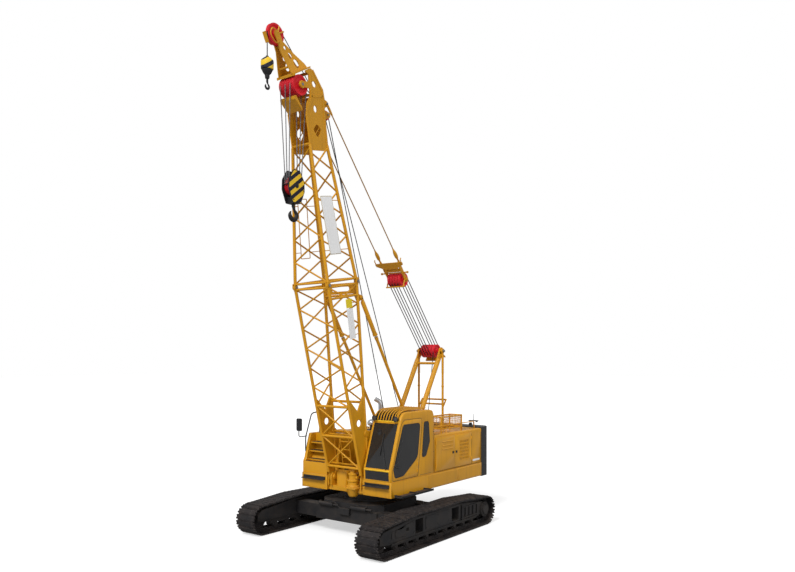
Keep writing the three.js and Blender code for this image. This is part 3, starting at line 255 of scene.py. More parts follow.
class Shape:
    """Closed solids gathered in one mesh, in metres, in the crane's frame."""

    def __init__(self) -> None:
        """Starts with nothing in it."""
        self.mesh = bmesh.new()

    def grow(self, points: Iterable[Point],
             faces: Iterable[Sequence[int]]) -> list[bmesh.types.BMVert]:
        """Adds a closed solid and turns its faces outwards.

        Args:
            points: Its corners.
            faces: The corners of each face, by number.

        Returns:
            The new vertices.
        """
        new = [self.mesh.verts.new(p) for p in points]
        own = [self.mesh.faces.new([new[i] for i in face]) for face in faces]
        bmesh.ops.recalc_face_normals(self.mesh, faces=own)
        return new

    def box(self, low: Point, high: Point) -> Shape:
        """Adds a box between two corners."""
        outline = [(low[0], low[1]), (high[0], low[1]), (high[0], high[1]), (low[0], high[1])]
        return self.prism(outline, low[2], high[2], Plane.XY)

    def prism(
        self, outline: Outline, low: float, high: float, plane: Plane = Plane.XZ,
        holes: Sequence[Outline] = ()
    ) -> Shape:
        """Adds an outline pushed from low to high along the plane's normal.

        Args:
            outline: The outer edge.
            low: Where the solid starts.
            high: Where it ends.
            plane: The plane that the outline lies in.
            holes: Outlines that go right through.

        Returns:
            This shape.
        """
        lift = {
            Plane.XZ: lambda a, b, h: (a, h, b),
            Plane.YZ: lambda a, b, h: (h, a, b),
            Plane.XY: lambda a, b, h: (a, b, h),
        }[plane]
        loops = [list(outline), *[list(h) for h in holes]]
        flat = [point for loop in loops for point in loop]
        count = len(flat)
        fills = tessellate_polygon([[Vector((a, b, 0)) for a, b in loop] for loop in loops])
        faces: list[Sequence[int]] = [tuple(f) for f in fills]
        faces += [tuple(i + count for i in reversed(f)) for f in fills]
        start = 0
        for loop in loops:
            for i in range(len(loop)):
                a, b = start + i, start + (i + 1) % len(loop)
                faces.append((a, b, b + count, a + count))
            start += len(loop)
        points = [lift(a, b, low) for a, b in flat] + [lift(a, b, high) for a, b in flat]
        new = self.grow(points, faces)
        if not holes:
            edges = list(dict.fromkeys(e for v in new for e in v.link_edges))
            bmesh.ops.dissolve_limit(self.mesh, angle_limit=FLAT_ANGLE, verts=new, edges=edges)
        return self

    def tube(self, path: Sequence[Point], radius: float, sides: int = 12,
             ring: bool = False) -> Shape:
        """Adds a round tube along a path, with mitred corners and closed ends.

        Args:
            path: The points of its middle line.
            radius: Its radius.
            sides: How many sides the section has.
            ring: Whether the last point joins the first.

        Returns:
            This shape.
        """
        line = [Vector(p) for p in path]
        count = len(line)
        rings: list[list[Vector]] = []
        side: Optional[Vector] = None
        for i in range(count):
            before = line[i] - line[i - 1] if (i or ring) else line[1] - line[0]
            after = line[(i + 1) % count] - line[i] if (i < count - 1 or ring) else before
            before, after = before.normalized(), after.normalized()
            along = (before + after).normalized()
            if side is None:
                side = before.cross(UP if abs(before.z) < 0.9 else Vector((1, 0, 0))).normalized()
            side = (side - along * side.dot(along)).normalized()
            other = along.cross(side)
            bend = (after - before).normalized() if (after - before).length > 1e-4 else None
            stretch = 1 / max(0.4, along.dot(after))
            section = []
            for k in range(sides):
                angle = 2 * math.pi * k / sides
                spoke = side * math.cos(angle) * radius + other * math.sin(angle) * radius
                if bend is not None:
                    spoke += bend * spoke.dot(bend) * (stretch - 1)
                section.append(line[i] + spoke)
            rings.append(section)
        points = [p for section in rings for p in section]
        faces: list[Sequence[int]] = []
        for i in range(count if ring else count - 1):
            for k in range(sides):
                a, b = i * sides, ((i + 1) % count) * sides
                faces.append((a + k, a + (k + 1) % sides, b + (k + 1) % sides, b + k))
        if not ring:
            faces.append(tuple(reversed(range(sides))))
            faces.append(tuple(range((count - 1) * sides, count * sides)))
        self.grow(points, faces)
        return self

    def lathe(
        self, profile: Outline, centre: Point, axis: Axis = Axis.Y, steps: int = 48,
        closed: bool = False
    ) -> Shape:
        """Adds a profile turned about an axis.

        Args:
            profile: Radius and place along the axis of each point, from one end to the other.
            centre: A point on the axis; places count from it.
            axis: The axis of the turn.
            steps: How many sides the turned solid has.
            closed: Whether the profile is a ring that never meets the axis.

        Returns:
            This shape.
        """
        first, second, third = {Axis.X: (1, 2, 0), Axis.Y: (0, 2, 1), Axis.Z: (0, 1, 2)}[axis]
        points: list[Vector] = []
        rows: list[list[int]] = []
        for radius, place in profile:
            row = []
            for k in range(1 if radius < 1e-6 else steps):
                angle = 2 * math.pi * k / steps
                point = Vector(centre)
                point[first] += radius * math.cos(angle)
                point[second] += radius * math.sin(angle)
                point[third] += place
                row.append(len(points))
                points.append(point)
            rows.append(row * steps if len(row) == 1 else row)
        pairs = list(zip(rows, rows[1:]))
        if closed:
            pairs.append((rows[-1], rows[0]))
        faces: list[Sequence[int]] = []
        for low, high in pairs:
            for k in range(steps):
                n = (k + 1) % steps
                corners = [low[k], low[n], high[n], high[k]]
                face = [c for i, c in enumerate(corners) if c not in corners[:i]]
                if len(face) > 2:
                    faces.append(face)
        for row, end in ((rows[0], 0), (rows[-1], 1)):
            if not closed and len(set(row)) > 1:
                faces.append(tuple(reversed(row)) if end == 0 else tuple(row))
        self.grow(points, faces)
        return self

    def disc(
        self, centre: Point, radius: float, low: float, high: float, axis: Axis = Axis.Y,
        steps: int = 0
    ) -> Shape:
        """Adds a round plate.

        Args:
            centre: A point on its axis.
            radius: Its radius.
            low: Where it starts along the axis, from centre.
            high: Where it ends.
            axis: Its axis.
            steps: How many sides it has; 0 picks as many as its size needs.

        Returns:
            This shape.
        """
        steps = steps or (24 if radius < 0.08 else 40)
        return self.lathe([(0, low), (radius, low), (radius, high), (0, high)], centre, axis, steps)

    def copied(self) -> Shape:
        """Another shape with the same mesh."""
        spare = bpy.data.meshes.new("spare")
        self.mesh.to_mesh(spare)
        twin = Shape()
        twin.mesh.from_mesh(spare)
        bpy.data.meshes.remove(spare)
        return twin

    def include(self, other: Shape) -> Shape:
        """Adds another shape's mesh and empties the other.

        Args:
            other: The shape to take in.

        Returns:
            This shape.
        """
        spare = bpy.data.meshes.new("spare")
        other.mesh.to_mesh(spare)
        self.mesh.from_mesh(spare)
        bpy.data.meshes.remove(spare)
        other.mesh.free()
        return self

    def across(self, s: float, d: float, reach: float, radius: float, sides: int = 20) -> Shape:
        """Adds a round bar along y at (s, d), reaching as far to either side."""
        return self.tube([(s, -reach, d), (s, reach, d)], radius, sides)

    def pin(self, s: float, d: float, radius: float, inner: float, outer: float) -> Shape:
        """Adds a pin's two ends at (s, d), standing along y from inner to outer on both sides.

        Args:
            s: Its place along the first axis.
            d: Its place along the third axis.
            radius: Its radius.
            inner: Where each end starts.
            outer: Where each end stops.

        Returns:
            This shape.
        """
        for side in SIDE_NAMES:
            self.disc((s, 0, d), radius, *sorted((side * inner, side * outer)))
        return self

    def place(self, matrix: Matrix) -> Shape:
        """Moves everything in it by a matrix; where that mirrors it, its faces are turned back.

        Args:
            matrix: The move.

        Returns:
            This shape.
        """
        bmesh.ops.transform(self.mesh, matrix=matrix, verts=self.mesh.verts)
        if matrix.determinant() < 0:
            bmesh.ops.reverse_faces(self.mesh, faces=self.mesh.faces)
        return self

    def mirrored(self) -> Shape:
        """Turns it into its mirror image across the crane's middle plane."""
        return self.place(Matrix.Diagonal((1, -1, 1, 1)))

    def both_sides(self) -> Shape:
        """Adds its mirror image across the crane's middle plane."""
        return self.include(self.copied().mirrored())

    def on_side(self, side: int) -> Shape:
        """Leaves a left-hand shape as it is, or mirrors it for the right."""
        return self if side == LEFT else self.mirrored()

    def made(self, name: str, bevel: float = 0.0, segments: int = 2) -> bpy.types.Object:
        """Turns it into an object at the origin.

        Args:
            name: The object's name.
            bevel: How wide its edges are rounded; 0 leaves them sharp.
            segments: How many steps each round edge has.

        Returns:
            The object.
        """
        data = bpy.data.meshes.new(name)
        self.mesh.to_mesh(data)
        self.mesh.free()
        obj = bpy.data.objects.new(name, data)
        bpy.context.scene.collection.objects.link(obj)
        return soften(obj, bevel, segments)


def soften(obj: bpy.types.Object, bevel: float, segments: int = 2) -> bpy.types.Object:
    """Gives a mesh object smooth shading and, with a width, rounded edges.

    Args:
        obj: The object.
        bevel: How wide its edges are rounded; 0 leaves them sharp.
        segments: How many steps each round edge has.

    Returns:
        The same object.
    """
    obj.data.shade_smooth()
    if bevel > 0:
        edge = obj.modifiers.new("rounded edges", "BEVEL")
        edge.width = bevel
        edge.segments = segments
        edge.limit_method = "ANGLE"
        edge.angle_limit = SMOOTH_ANGLE
        edge.harden_normals = True
        edge.use_clamp_overlap = True
    else:
        obj.data.set_sharp_from_angle(angle=SMOOTH_ANGLE)
    return obj


def baked(obj: bpy.types.Object, name: str) -> bpy.types.Object:
    """Replaces an object by the plain mesh that its modifiers give.

    Args:
        obj: The object, which is removed.
        name: The plain object's name.

    Returns:
        The plain object.
    """
    graph = bpy.context.evaluated_depsgraph_get()
    data = bpy.data.meshes.new_from_object(obj.evaluated_get(graph), depsgraph=graph)
    bpy.data.objects.remove(obj)
    data.name = name
    plain = bpy.data.objects.new(name, data)
    bpy.context.scene.collection.objects.link(plain)
    return plain


def joined(name: str, *objects: bpy.types.Object) -> bpy.types.Object:
    """Joins mesh objects, with their modifiers applied and their materials kept, into one.

    Args:
        name: The whole's name.
        objects: The objects to join, in order.

    Returns:
        The one object.
    """
    parts = [baked(o, f"{o.name}_plain") for o in objects]
    with bpy.context.temp_override(
        active_object=parts[0], object=parts[0], selected_objects=parts,
        selected_editable_objects=parts
    ):
        bpy.ops.object.join()
    parts[0].name = name
    return parts[0]


# ---------------------------------------------------------------- geometry trees


class GeometryTree:
    """A geometry node tree whose inputs are set by name when it is run on a mesh."""

    def __init__(self, name: str, inputs: dict[str, str]) -> None:
        """Makes an empty tree.

        Args:
            name: The tree's name.
            inputs: The socket type of each named input, after the geometry itself.
        """
        self.tree = bpy.data.node_groups.new(name, "GeometryNodeTree")
        interface = self.tree.interface
        interface.new_socket("Geometry", in_out="INPUT", socket_type="NodeSocketGeometry")
        self.sockets = {
            key: interface.new_socket(key, in_out="INPUT", socket_type=kind)
            for key, kind in inputs.items()
        }
        interface.new_socket("Geometry", in_out="OUTPUT", socket_type="NodeSocketGeometry")
        self.source = self.tree.nodes.new("NodeGroupInput")
        self.sink = self.tree.nodes.new("NodeGroupOutput")

    def node(self, kind: str, links: Optional[dict[str, object]] = None,
             **settings: object) -> bpy.types.Node:
        """Adds a node.

        Args:
            kind: The node's type, without its common prefix.
            links: For each input, by name or number, the socket or value that it takes.
            settings: The node's own properties.

        Returns:
            The node.
        """
        node = self.tree.nodes.new(kind
                                   if kind.startswith(("Shader",
                                                       "Function")) else f"GeometryNode{kind}")
        for key, value in settings.items():
            setattr(node, key, value)
        for key, value in (links or {}).items():
            if isinstance(value, bpy.types.NodeSocket):
                self.tree.links.new(value, node.inputs[key])
            else:
                node.inputs[key].default_value = value
        return node

    def end(self, geometry: bpy.types.NodeSocket) -> GeometryTree:
        """Realizes the geometry, gives it the input's material and sends it out.

        Args:
            geometry: The geometry to send out.

        Returns:
            This tree.
        """
        real = self.node("RealizeInstances", {0: geometry})
        dressed = self.node("SetMaterial",
                            {"Geometry": real.outputs[0],
                             "Material": self.source.outputs["Material"]})
        self.tree.links.new(dressed.outputs[0], self.sink.inputs[0])
        return self

    def run(self, name: str, points: Sequence[Point], edges: Sequence[tuple[int, int]] = (),
            **values: object
            ) -> bpy.types.Object:
        """Runs the tree on a mesh of points and edges, and keeps the plain mesh that it gives.

        Args:
            name: The new object's name.
            points: The mesh's vertices.
            edges: Pairs of vertices.
            values: The value of each named input, with an underscore for each space.

        Returns:
            A plain mesh object.
        """
        data = bpy.data.meshes.new(name)
        data.from_pydata([tuple(p) for p in points], list(edges), [])
        obj = bpy.data.objects.new(f"{name}_source", data)
        bpy.context.scene.collection.objects.link(obj)
        modifier = obj.modifiers.new("tree", "NODES")
        modifier.node_group = self.tree
        for key, value in values.items():
            modifier[self.sockets[key.replace("_", " ")].identifier] = value
        plain = baked(obj, name)
        plain.data.set_sharp_from_angle(angle=SMOOTH_ANGLE)
        return plain


def tubes_tree() -> GeometryTree:
    """A tree that turns each edge, or chain of edges, into a round tube.

    Returns:
        The tree.
    """
    tree = GeometryTree(
        "round_tubes",
        {"Radius": "NodeSocketFloat", "Sides": "NodeSocketInt", "Material": "NodeSocketMaterial"}
    )
    source = tree.source.outputs
    line = tree.node("MeshToCurve", {"Mesh": source["Geometry"]})
    ring = tree.node("CurvePrimitiveCircle",
                     {"Resolution": source["Sides"], "Radius": source["Radius"]})
    tube = tree.node(
        "CurveToMesh",
        {"Curve": line.outputs[0], "Profile Curve": ring.outputs[0], "Fill Caps": True}
    )
    smooth = tree.node("SetShadeSmooth", {"Geometry": tube.outputs[0]})
    return tree.end(smooth.outputs[0])


def pieces_tree() -> GeometryTree:
    """A tree that sets one small piece on every point, turned by the same angles.

    Returns:
        The tree.
    """
    tree = GeometryTree(
        "set_pieces",
        {"Piece": "NodeSocketObject", "Turn": "NodeSocketVector", "Material": "NodeSocketMaterial"},
    )
    source = tree.source.outputs
    piece = tree.node("ObjectInfo", {"Object": source["Piece"]})
    points = tree.node("MeshToPoints", {"Mesh": source["Geometry"]})
    turn = tree.node("FunctionNodeEulerToRotation", {0: source["Turn"]})
    placed = tree.node(
        "InstanceOnPoints",
        {"Points": points.outputs[0], "Instance": piece.outputs["Geometry"],
         "Rotation": turn.outputs[0]},
    )
    return tree.end(placed.outputs[0])


def belt_tree() -> GeometryTree:
    """A tree that sets equal pieces all round a closed line, each turned to follow it.

    Returns:
        The tree.
    """
    tree = GeometryTree(
        "belt",
        {"Piece": "NodeSocketObject", "Count": "NodeSocketInt", "Material": "NodeSocketMaterial"},
    )
    source = tree.source.outputs
    line = tree.node("MeshToCurve", {"Mesh": source["Geometry"]})
    even = tree.node("ResampleCurve", {"Curve": line.outputs[0], "Count": source["Count"]})
    tangent = tree.node("InputTangent")
    turn = tree.node(
        "FunctionNodeAxesToRotation",
        {"Primary Axis": tangent.outputs[0], "Secondary Axis": (0.0, 1.0, 0.0)},
        primary_axis="X",
        secondary_axis="Y",
    )
    piece = tree.node("ObjectInfo", {"Object": source["Piece"]})
    placed = tree.node(
        "InstanceOnPoints",
        {"Points": even.outputs[0], "Instance": piece.outputs["Geometry"],
         "Rotation": turn.outputs[0]},
    )
    return tree.end(placed.outputs[0])


class Trees:
    """The geometry trees that the crane is made with."""

    tubes: GeometryTree
    pieces: GeometryTree
    belt: GeometryTree

    @classmethod
    def build(cls) -> None:
        """Makes each tree once."""
        cls.tubes = tubes_tree()
        cls.pieces = pieces_tree()
        cls.belt = belt_tree()


def tubes(
    name: str, lines: Sequence[tuple[Point, Point]], radius: float, finish: Finish, sides: int = 12
) -> bpy.types.Object:
    """Straight round tubes, one for each line, made by the tubes tree.

    Args:
        name: The whole's name.
        lines: The two ends of each tube's middle line.
        radius: Their radius.
        finish: Their finish.
        sides: How many sides each has.

    Returns:
        The tubes as one object.
    """
    points = [p for line in lines for p in line]
    edges = [(2 * i, 2 * i + 1) for i in range(len(lines))]
    return Trees.tubes.run(name, points, edges, Radius=radius, Sides=sides,
                           Material=finish.material())


def rail(name: str, path: Sequence[Point], radius: float, finish: Finish,
         sides: int = 10) -> bpy.types.Object:
    """A bent round bar along a path, made by the tubes tree."""
    edges = [(i, i + 1) for i in range(len(path) - 1)]
    return Trees.tubes.run(name, path, edges, Radius=radius, Sides=sides,
                           Material=finish.material())


def bend_path(points: Sequence[Point], radius: float, steps: int = 5) -> list[Vector]:
    """A path in space with its corners rounded.

    Args:
        points: The sharp path.
        radius: The reach of each bend along the path.
        steps: How many chords each bend has.

    Returns:
        The path with round corners.
    """
    line = [Vector(p) for p in points]
    result = [line[0]]
    for before, here, after in zip(line, line[1:], line[2:]):
        first = here + (before - here).normalized() * min(radius, (before - here).length * 0.45)
        last = here + (after - here).normalized() * min(radius, (after - here).length * 0.45)
        for step in range(steps + 1):
            t = step / steps
            result.append(first.lerp(here, t).lerp(here.lerp(last, t), t))
    result.append(line[-1])
    return result


def pieces(
    name: str, piece: Shape, points: Sequence[Point], finish: Finish, facing: Facing = Facing.UP
) -> bpy.types.Object:
    """Small equal pieces, one on each point, set there by the pieces tree.

    Args:
        name: The name of the whole.
        piece: One piece, drawn upright about the origin.
        points: Where the pieces stand.
        finish: Their finish.
        facing: Where their tops point.

    Returns:
        The pieces as one object.
    """
    pattern = piece.made(f"{name}_pattern")
    result = Trees.pieces.run(name, points, Piece=pattern, Turn=facing.value,
                              Material=finish.material())
    bpy.data.objects.remove(pattern)
    return result


def bolt(radius: float, height: float) -> Shape:
    """A hexagonal bolt head on a washer, standing along +Z from the origin.

    Args:
        radius: The hexagon's radius.
        height: How far it stands up.

    Returns:
        The bolt head.
    """
    shape = Shape()
    shape.disc((0, 0, 0), radius * 1.45, 0, height * 0.25, Axis.Z, 12)
    hexagon = arc((0, 0), radius, 0, 300, 5)
    return shape.prism(hexagon, height * 0.2, height, Plane.XY)


def ring_of(centre: Point, radius: float, count: int, axis: Axis = Axis.Y) -> list[Vector]:
    """Points at equal steps on a circle about an axis through centre.

    Args:
        centre: The circle's middle.
        radius: Its radius.
        count: How many points it has.
        axis: The axis that it lies about.

    Returns:
        The points.
    """
    first, second = {Axis.X: (1, 2), Axis.Y: (0, 2), Axis.Z: (0, 1)}[axis]
    result = []
    for i in range(count):
        point = Vector(centre)
        point[first] += radius * math.cos(2 * math.pi * i / count)
        point[second] += radius * math.sin(2 * math.pi * i / count)
        result.append(point)
    return result


# ---------------------------------------------------------------- shader groups


class ShaderGroup:
    """A shader node group with named inputs and outputs, built once."""

    def __init__(self, name: str, inputs: dict[str, float], outputs: Sequence[str]) -> None:
        """Makes the group's sockets: numbers in, masks and values out.

        Args:
            name: The group's name.
            inputs: Each input's name and default.
            outputs: Each output's name.
        """
        self.tree = bpy.data.node_groups.new(name, "ShaderNodeTree")
        for key, value in inputs.items():
            socket = self.tree.interface.new_socket(key, in_out="INPUT",
                                                    socket_type="NodeSocketFloat")
            socket.default_value = value
        for key in outputs:
            self.tree.interface.new_socket(key, in_out="OUTPUT", socket_type="NodeSocketFloat")
        self.source = self.tree.nodes.new("NodeGroupInput")
        self.sink = self.tree.nodes.new("NodeGroupOutput")

    def end(self, **outputs: bpy.types.NodeSocket) -> ShaderGroup:
        """Sends sockets to the outputs of the same names.

        Args:
            outputs: The socket for each output.

        Returns:
            This group.
        """
        for key, socket in outputs.items():
            self.tree.links.new(socket, self.sink.inputs[key])
        return self


def shade(tree: bpy.types.NodeTree, kind: str, links: Optional[dict[object, object]] = None,
          **settings: object
          ) -> bpy.types.Node:
    """Adds a shader node to a tree.

    Args:
        tree: The node tree.
        kind: The node's type, without its common prefix.
        links: For each input, by name or number, the socket or value that it takes.
        settings: The node's own properties.

    Returns:
        The node.
    """
    node = tree.nodes.new(f"ShaderNode{kind}")
    for key, value in settings.items():
        setattr(node, key, value)
    for key, value in (links or {}).items():
        if isinstance(value, bpy.types.NodeSocket):
            tree.links.new(value, node.inputs[key])
        else:
            node.inputs[key].default_value = value
    return node


def maths(tree: bpy.types.NodeTree, operation: str, a: object, b: object = 0.0, clamp: bool = False
          ) -> bpy.types.NodeSocket:
    """One Math node's result."""
    return shade(tree, "Math", {0: a, 1: b}, operation=operation, use_clamp=clamp).outputs[0]


def object_place(tree: bpy.types.NodeTree) -> bpy.types.NodeSocket:
    """The Object coordinates."""
    return shade(tree, "TexCoord").outputs["Object"]


def noise(tree: bpy.types.NodeTree, scale: object, detail: float = 3.0,
          stretch: Point = (1.0, 1.0, 1.0)
          ) -> bpy.types.NodeSocket:
    """A noise value on Object coordinates, stretched by a factor along each axis."""
    place = shade(tree, "Mapping",
                  {"Vector": object_place(tree), "Scale": tuple(stretch)}).outputs[0]
    return shade(tree, "TexNoise",
                 {"Vector": place, "Scale": scale, "Detail": detail}).outputs["Fac"]


def paint_group() -> ShaderGroup:
    """Uneven paint: broad patches, and the fine ripple of a sprayed coat.

    Returns:
        The group.
    """
    group = ShaderGroup("paint_film", {"Patch Scale": 1.2, "Ripple Scale": 60.0},
                        ["Patches", "Ripple"])
    source = group.source.outputs
    patches = noise(group.tree, source["Patch Scale"], 4.0)
    ripple = noise(group.tree, source["Ripple Scale"], 2.0)
    return group.end(Patches=patches, Ripple=ripple)


def wear_group() -> ShaderGroup:
    """Paint rubbed off along edges: a mask that follows corners and is broken up by noise.

    Returns:
        The group.
    """
    group = ShaderGroup("edge_wear", {"Reach": 0.012, "Breakup": 9.0, "Amount": 0.5}, ["Mask"])
    tree, source = group.tree, group.source.outputs
    bevel = shade(tree, "Bevel", {"Radius": source["Reach"]}, samples=4).outputs[0]
    flat = shade(tree, "NewGeometry").outputs["Normal"]
    same = shade(tree, "VectorMath", {0: bevel, 1: flat}, operation="DOT_PRODUCT").outputs["Value"]
    edge = maths(tree, "MULTIPLY", maths(tree, "SUBTRACT", 1.0, same), 5.0, clamp=True)
    broken = maths(tree, "SUBTRACT", noise(tree, source["Breakup"], 5.0), 0.42)
    spots = maths(tree, "MULTIPLY", broken, 6.0, clamp=True)
    mask = maths(tree, "MULTIPLY", maths(tree, "MULTIPLY", edge, spots), source["Amount"],
                 clamp=True)
    return group.end(Mask=mask)


def dust_group() -> ShaderGroup:
    """Dust and dried mud: thick on what faces up and near the ground, thin above.

    Returns:
        The group.
    """
    group = ShaderGroup("settled_dust",
                        {"Low": 0.0, "High": 1.5, "Amount": 0.5, "Patch Scale": 3.0}, ["Mask"])
    tree, source = group.tree, group.source.outputs
    coordinates = shade(tree, "TexCoord").outputs
    height = shade(tree, "SeparateXYZ", {0: coordinates["Object"]}).outputs["Z"]
    facing = shade(tree, "SeparateXYZ", {0: coordinates["Normal"]}).outputs["Z"]
    low = shade(
        tree, "MapRange",
        {"Value": height, "From Min": source["High"], "From Max": source["Low"], "To Min": 0.0,
         "To Max": 1.0},
    ).outputs[0]
    above = maths(tree, "MULTIPLY", facing, 0.65, clamp=True)
    settle = maths(tree, "ADD", maths(tree, "MULTIPLY", low, 0.55), above, clamp=True)
    patches = shade(
        tree, "MapRange",
        {"Value": noise(tree, source["Patch Scale"], 6.0), "From Min": 0.32, "From Max": 0.68}
    ).outputs[0]
    mask = maths(tree, "MULTIPLY", maths(tree, "MULTIPLY", settle, patches), source["Amount"],
                 clamp=True)
    return group.end(Mask=mask)


def streak_group() -> ShaderGroup:
    """Faint marks that rain has drawn down upright faces.

    Returns:
        The group.
    """
    group = ShaderGroup("rain_streaks", {"Scale": 9.0, "Amount": 0.3}, ["Mask"])
    tree, source = group.tree, group.source.outputs
    lines = noise(tree, source["Scale"], 4.0, (1.0, 1.0, 0.06))
    thin = shade(tree, "MapRange", {"Value": lines, "From Min": 0.52, "From Max": 0.72}).outputs[0]
    return group.end(Mask=maths(tree, "MULTIPLY", thin, source["Amount"], clamp=True))


class Groups:
    """The shader groups that the finishes share."""

    paint: ShaderGroup
    wear: ShaderGroup
    dust: ShaderGroup
    streaks: ShaderGroup

    @classmethod
    def build(cls) -> None:
        """Makes each group once."""
        cls.paint = paint_group()
        cls.wear = wear_group()
        cls.dust = dust_group()
        cls.streaks = streak_group()


def use_group(tree: bpy.types.NodeTree, group: ShaderGroup, **values: float) -> bpy.types.Node:
    """Places a shared group in a material, with its own values; an underscore stands for a space.

    Args:
        tree: The material's node tree.
        group: The shared group.
        values: The value of each input.

    Returns:
        The group's node.
    """
    node = tree.nodes.new("ShaderNodeGroup")
    node.node_tree = group.tree
    for key, value in values.items():
        node.inputs[key.replace("_", " ")].default_value = value
    return node


def mix_colour(tree: bpy.types.NodeTree, mask: object, a: object,
               b: object) -> bpy.types.NodeSocket:
    """A colour between a and b; each is a socket or a plain colour.

    Args:
        tree: The node tree.
        mask: How much of b shows.
        a: The first colour.
        b: The second colour.

    Returns:
        The mixed colour.
    """
    node = tree.nodes.new("ShaderNodeMix")
    node.data_type = "RGBA"
    for socket, value in ((node.inputs[0], mask), (node.inputs[6], a), (node.inputs[7], b)):
        if isinstance(value, bpy.types.NodeSocket):
            tree.links.new(value, socket)
        elif isinstance(value, float):
            socket.default_value = value
        else:
            socket.default_value = (*value, 1.0)
    return node.outputs[2]


# ---------------------------------------------------------------- finishes


@dataclass(frozen=True)
class Finish:
    """A material that is built once and then shared.

    Attributes:
        name: The material's name.
        colour: Its main colour, linear.
        roughness: How dull it is.
        slot: The record's slot that it stands for; it is not used.
    """

    name: str
    colour: Colour
    roughness: float
    slot: str

    def material(self) -> bpy.types.Material:
        """The finished material.

        Returns:
            The material.
        """
        title = f"finish_{self.name}"
        found = bpy.data.materials.get(title)
        if found is not None:
            return found
        material = bpy.data.materials.new(title)
        material.use_nodes = True
        material.diffuse_color = (*self.colour, 1.0)
        tree = material.node_tree
        shader = tree.nodes["Principled BSDF"]
        shader.inputs["Base Color"].default_value = (*self.colour, 1.0)
        shader.inputs["Roughness"].default_value = self.roughness
        self.dress(tree, shader)
        return material

    def dress(self, tree: bpy.types.NodeTree, shader: bpy.types.Node) -> None:
        """Adds what varies over the surface; a plain finish adds nothing."""


@dataclass(frozen=True)
class Paint(Finish):
    """Sprayed paint over steel.

    Attributes:
        shadow: How much darker its dark patches are.
        bare: The colour that shows where paint has rubbed off.
        wear: How much is rubbed off along edges.
        dust: How much dust lies on it.
        dust_colour: The dust's colour.
        dust_top: The height at which dust has thinned out.
        streaks: How strong the rain marks are.
        gloss: The strength of its plain reflection.
        coat_roughness: How dull its clear coat is.
        ripple: The depth of the spray's ripple, in metres.
        ripple_scale: How fine the ripple is.
        metallic: How metallic it is.
        coat: The weight of its clear coat.
    """

    shadow: float = 0.14
    bare: Colour = (0.10, 0.085, 0.075)
    wear: float = 0.35
    dust: float = 0.25
    dust_colour: Colour = (0.30, 0.23, 0.15)
    dust_top: float = 2.2
    streaks: float = 0.18
    gloss: float = 0.3
    coat_roughness: float = 0.12
    ripple: float = 0.0004
    ripple_scale: float = 70.0
    metallic: float = 0.0
    coat: float = 0.0

    def dress(self, tree: bpy.types.NodeTree, shader: bpy.types.Node) -> None:
        """Adds patches, worn edges, rain marks, dust and ripple.

        Args:
            tree: The material's node tree.
            shader: Its Principled BSDF node.
        """
        shader.inputs["Metallic"].default_value = self.metallic
        shader.inputs["Coat Weight"].default_value = self.coat
        shader.inputs["Specular IOR Level"].default_value = self.gloss
        shader.inputs["Coat Roughness"].default_value = self.coat_roughness
        film = use_group(tree, Groups.paint, Ripple_Scale=self.ripple_scale)
        dark = tuple(c * (1 - self.shadow) for c in self.colour)
        light = tuple(min(1.0, c * (1 + self.shadow * 0.6)) for c in self.colour)
        colour = mix_colour(tree, film.outputs["Patches"], dark, light)
        if self.streaks > 0:
            streaks = use_group(tree, Groups.streaks, Amount=self.streaks)
            colour = mix_colour(tree, streaks.outputs["Mask"], colour,
                                tuple(c * 0.45 for c in self.colour))
        if self.wear > 0:
            wear = use_group(tree, Groups.wear, Amount=self.wear)
            colour = mix_colour(tree, wear.outputs["Mask"], colour, self.bare)
        if self.dust > 0:
            dust = use_group(tree, Groups.dust, Amount=self.dust, High=self.dust_top)
            colour = mix_colour(tree, dust.outputs["Mask"], colour, self.dust_colour)
            rough = shade(
                tree, "MapRange",
                {"Value": dust.outputs["Mask"], "To Min": self.roughness,
                 "To Max": min(1.0, self.roughness + 0.4)},
            ).outputs[0]
        else:
            rough = shade(
                tree, "MapRange",
                {"Value": film.outputs["Patches"], "To Min": self.roughness - 0.06,
                 "To Max": self.roughness + 0.08},
            ).outputs[0]
        tree.links.new(colour, shader.inputs["Base Color"])
        tree.links.new(rough, shader.inputs["Roughness"])
        bump = shade(tree, "Bump",
                     {"Height": film.outputs["Ripple"], "Distance": self.ripple, "Strength": 0.6})
        tree.links.new(bump.outputs[0], shader.inputs["Normal"])


@dataclass(frozen=True)
class Stripes(Paint):
    """Paint in two colours, in slanting stripes across the crane's side.

    Attributes:
        second: The other stripe's colour.
        pitch: The width of a pair of stripes.
        slope: The stripes' angle above the horizon, in degrees.
        start: Where a pair of stripes starts.
        share: The share of a pair that is the first colour.
    """

    second: Colour = (0.01, 0.012, 0.03)
    pitch: float = 0.21
    slope: float = 35.0
    start: float = 0.0
    share: float = 0.5

    def dress(self, tree: bpy.types.NodeTree, shader: bpy.types.Node) -> None:
        """Adds the stripes over the paint's own patches and dust.

        Args:
            tree: The material's node tree.
            shader: Its Principled BSDF node.
        """
        super().dress(tree, shader)
        painted = shader.inputs["Base Color"].links[0].from_socket
        place = shade(tree, "SeparateXYZ", {0: object_place(tree)}).outputs
        slope = math.radians(self.slope)
        across = maths(tree, "MULTIPLY", place["X"], -math.sin(slope))
        upward = maths(tree, "MULTIPLY", place["Z"], math.cos(slope))
        line = maths(tree, "ADD", maths(tree, "ADD", across, upward), self.start)
        share = maths(tree, "FRACT", maths(tree, "DIVIDE", line, self.pitch))
        mask = maths(tree, "GREATER_THAN", share, self.share)
        tree.links.new(mix_colour(tree, mask, painted, self.second), shader.inputs["Base Color"])


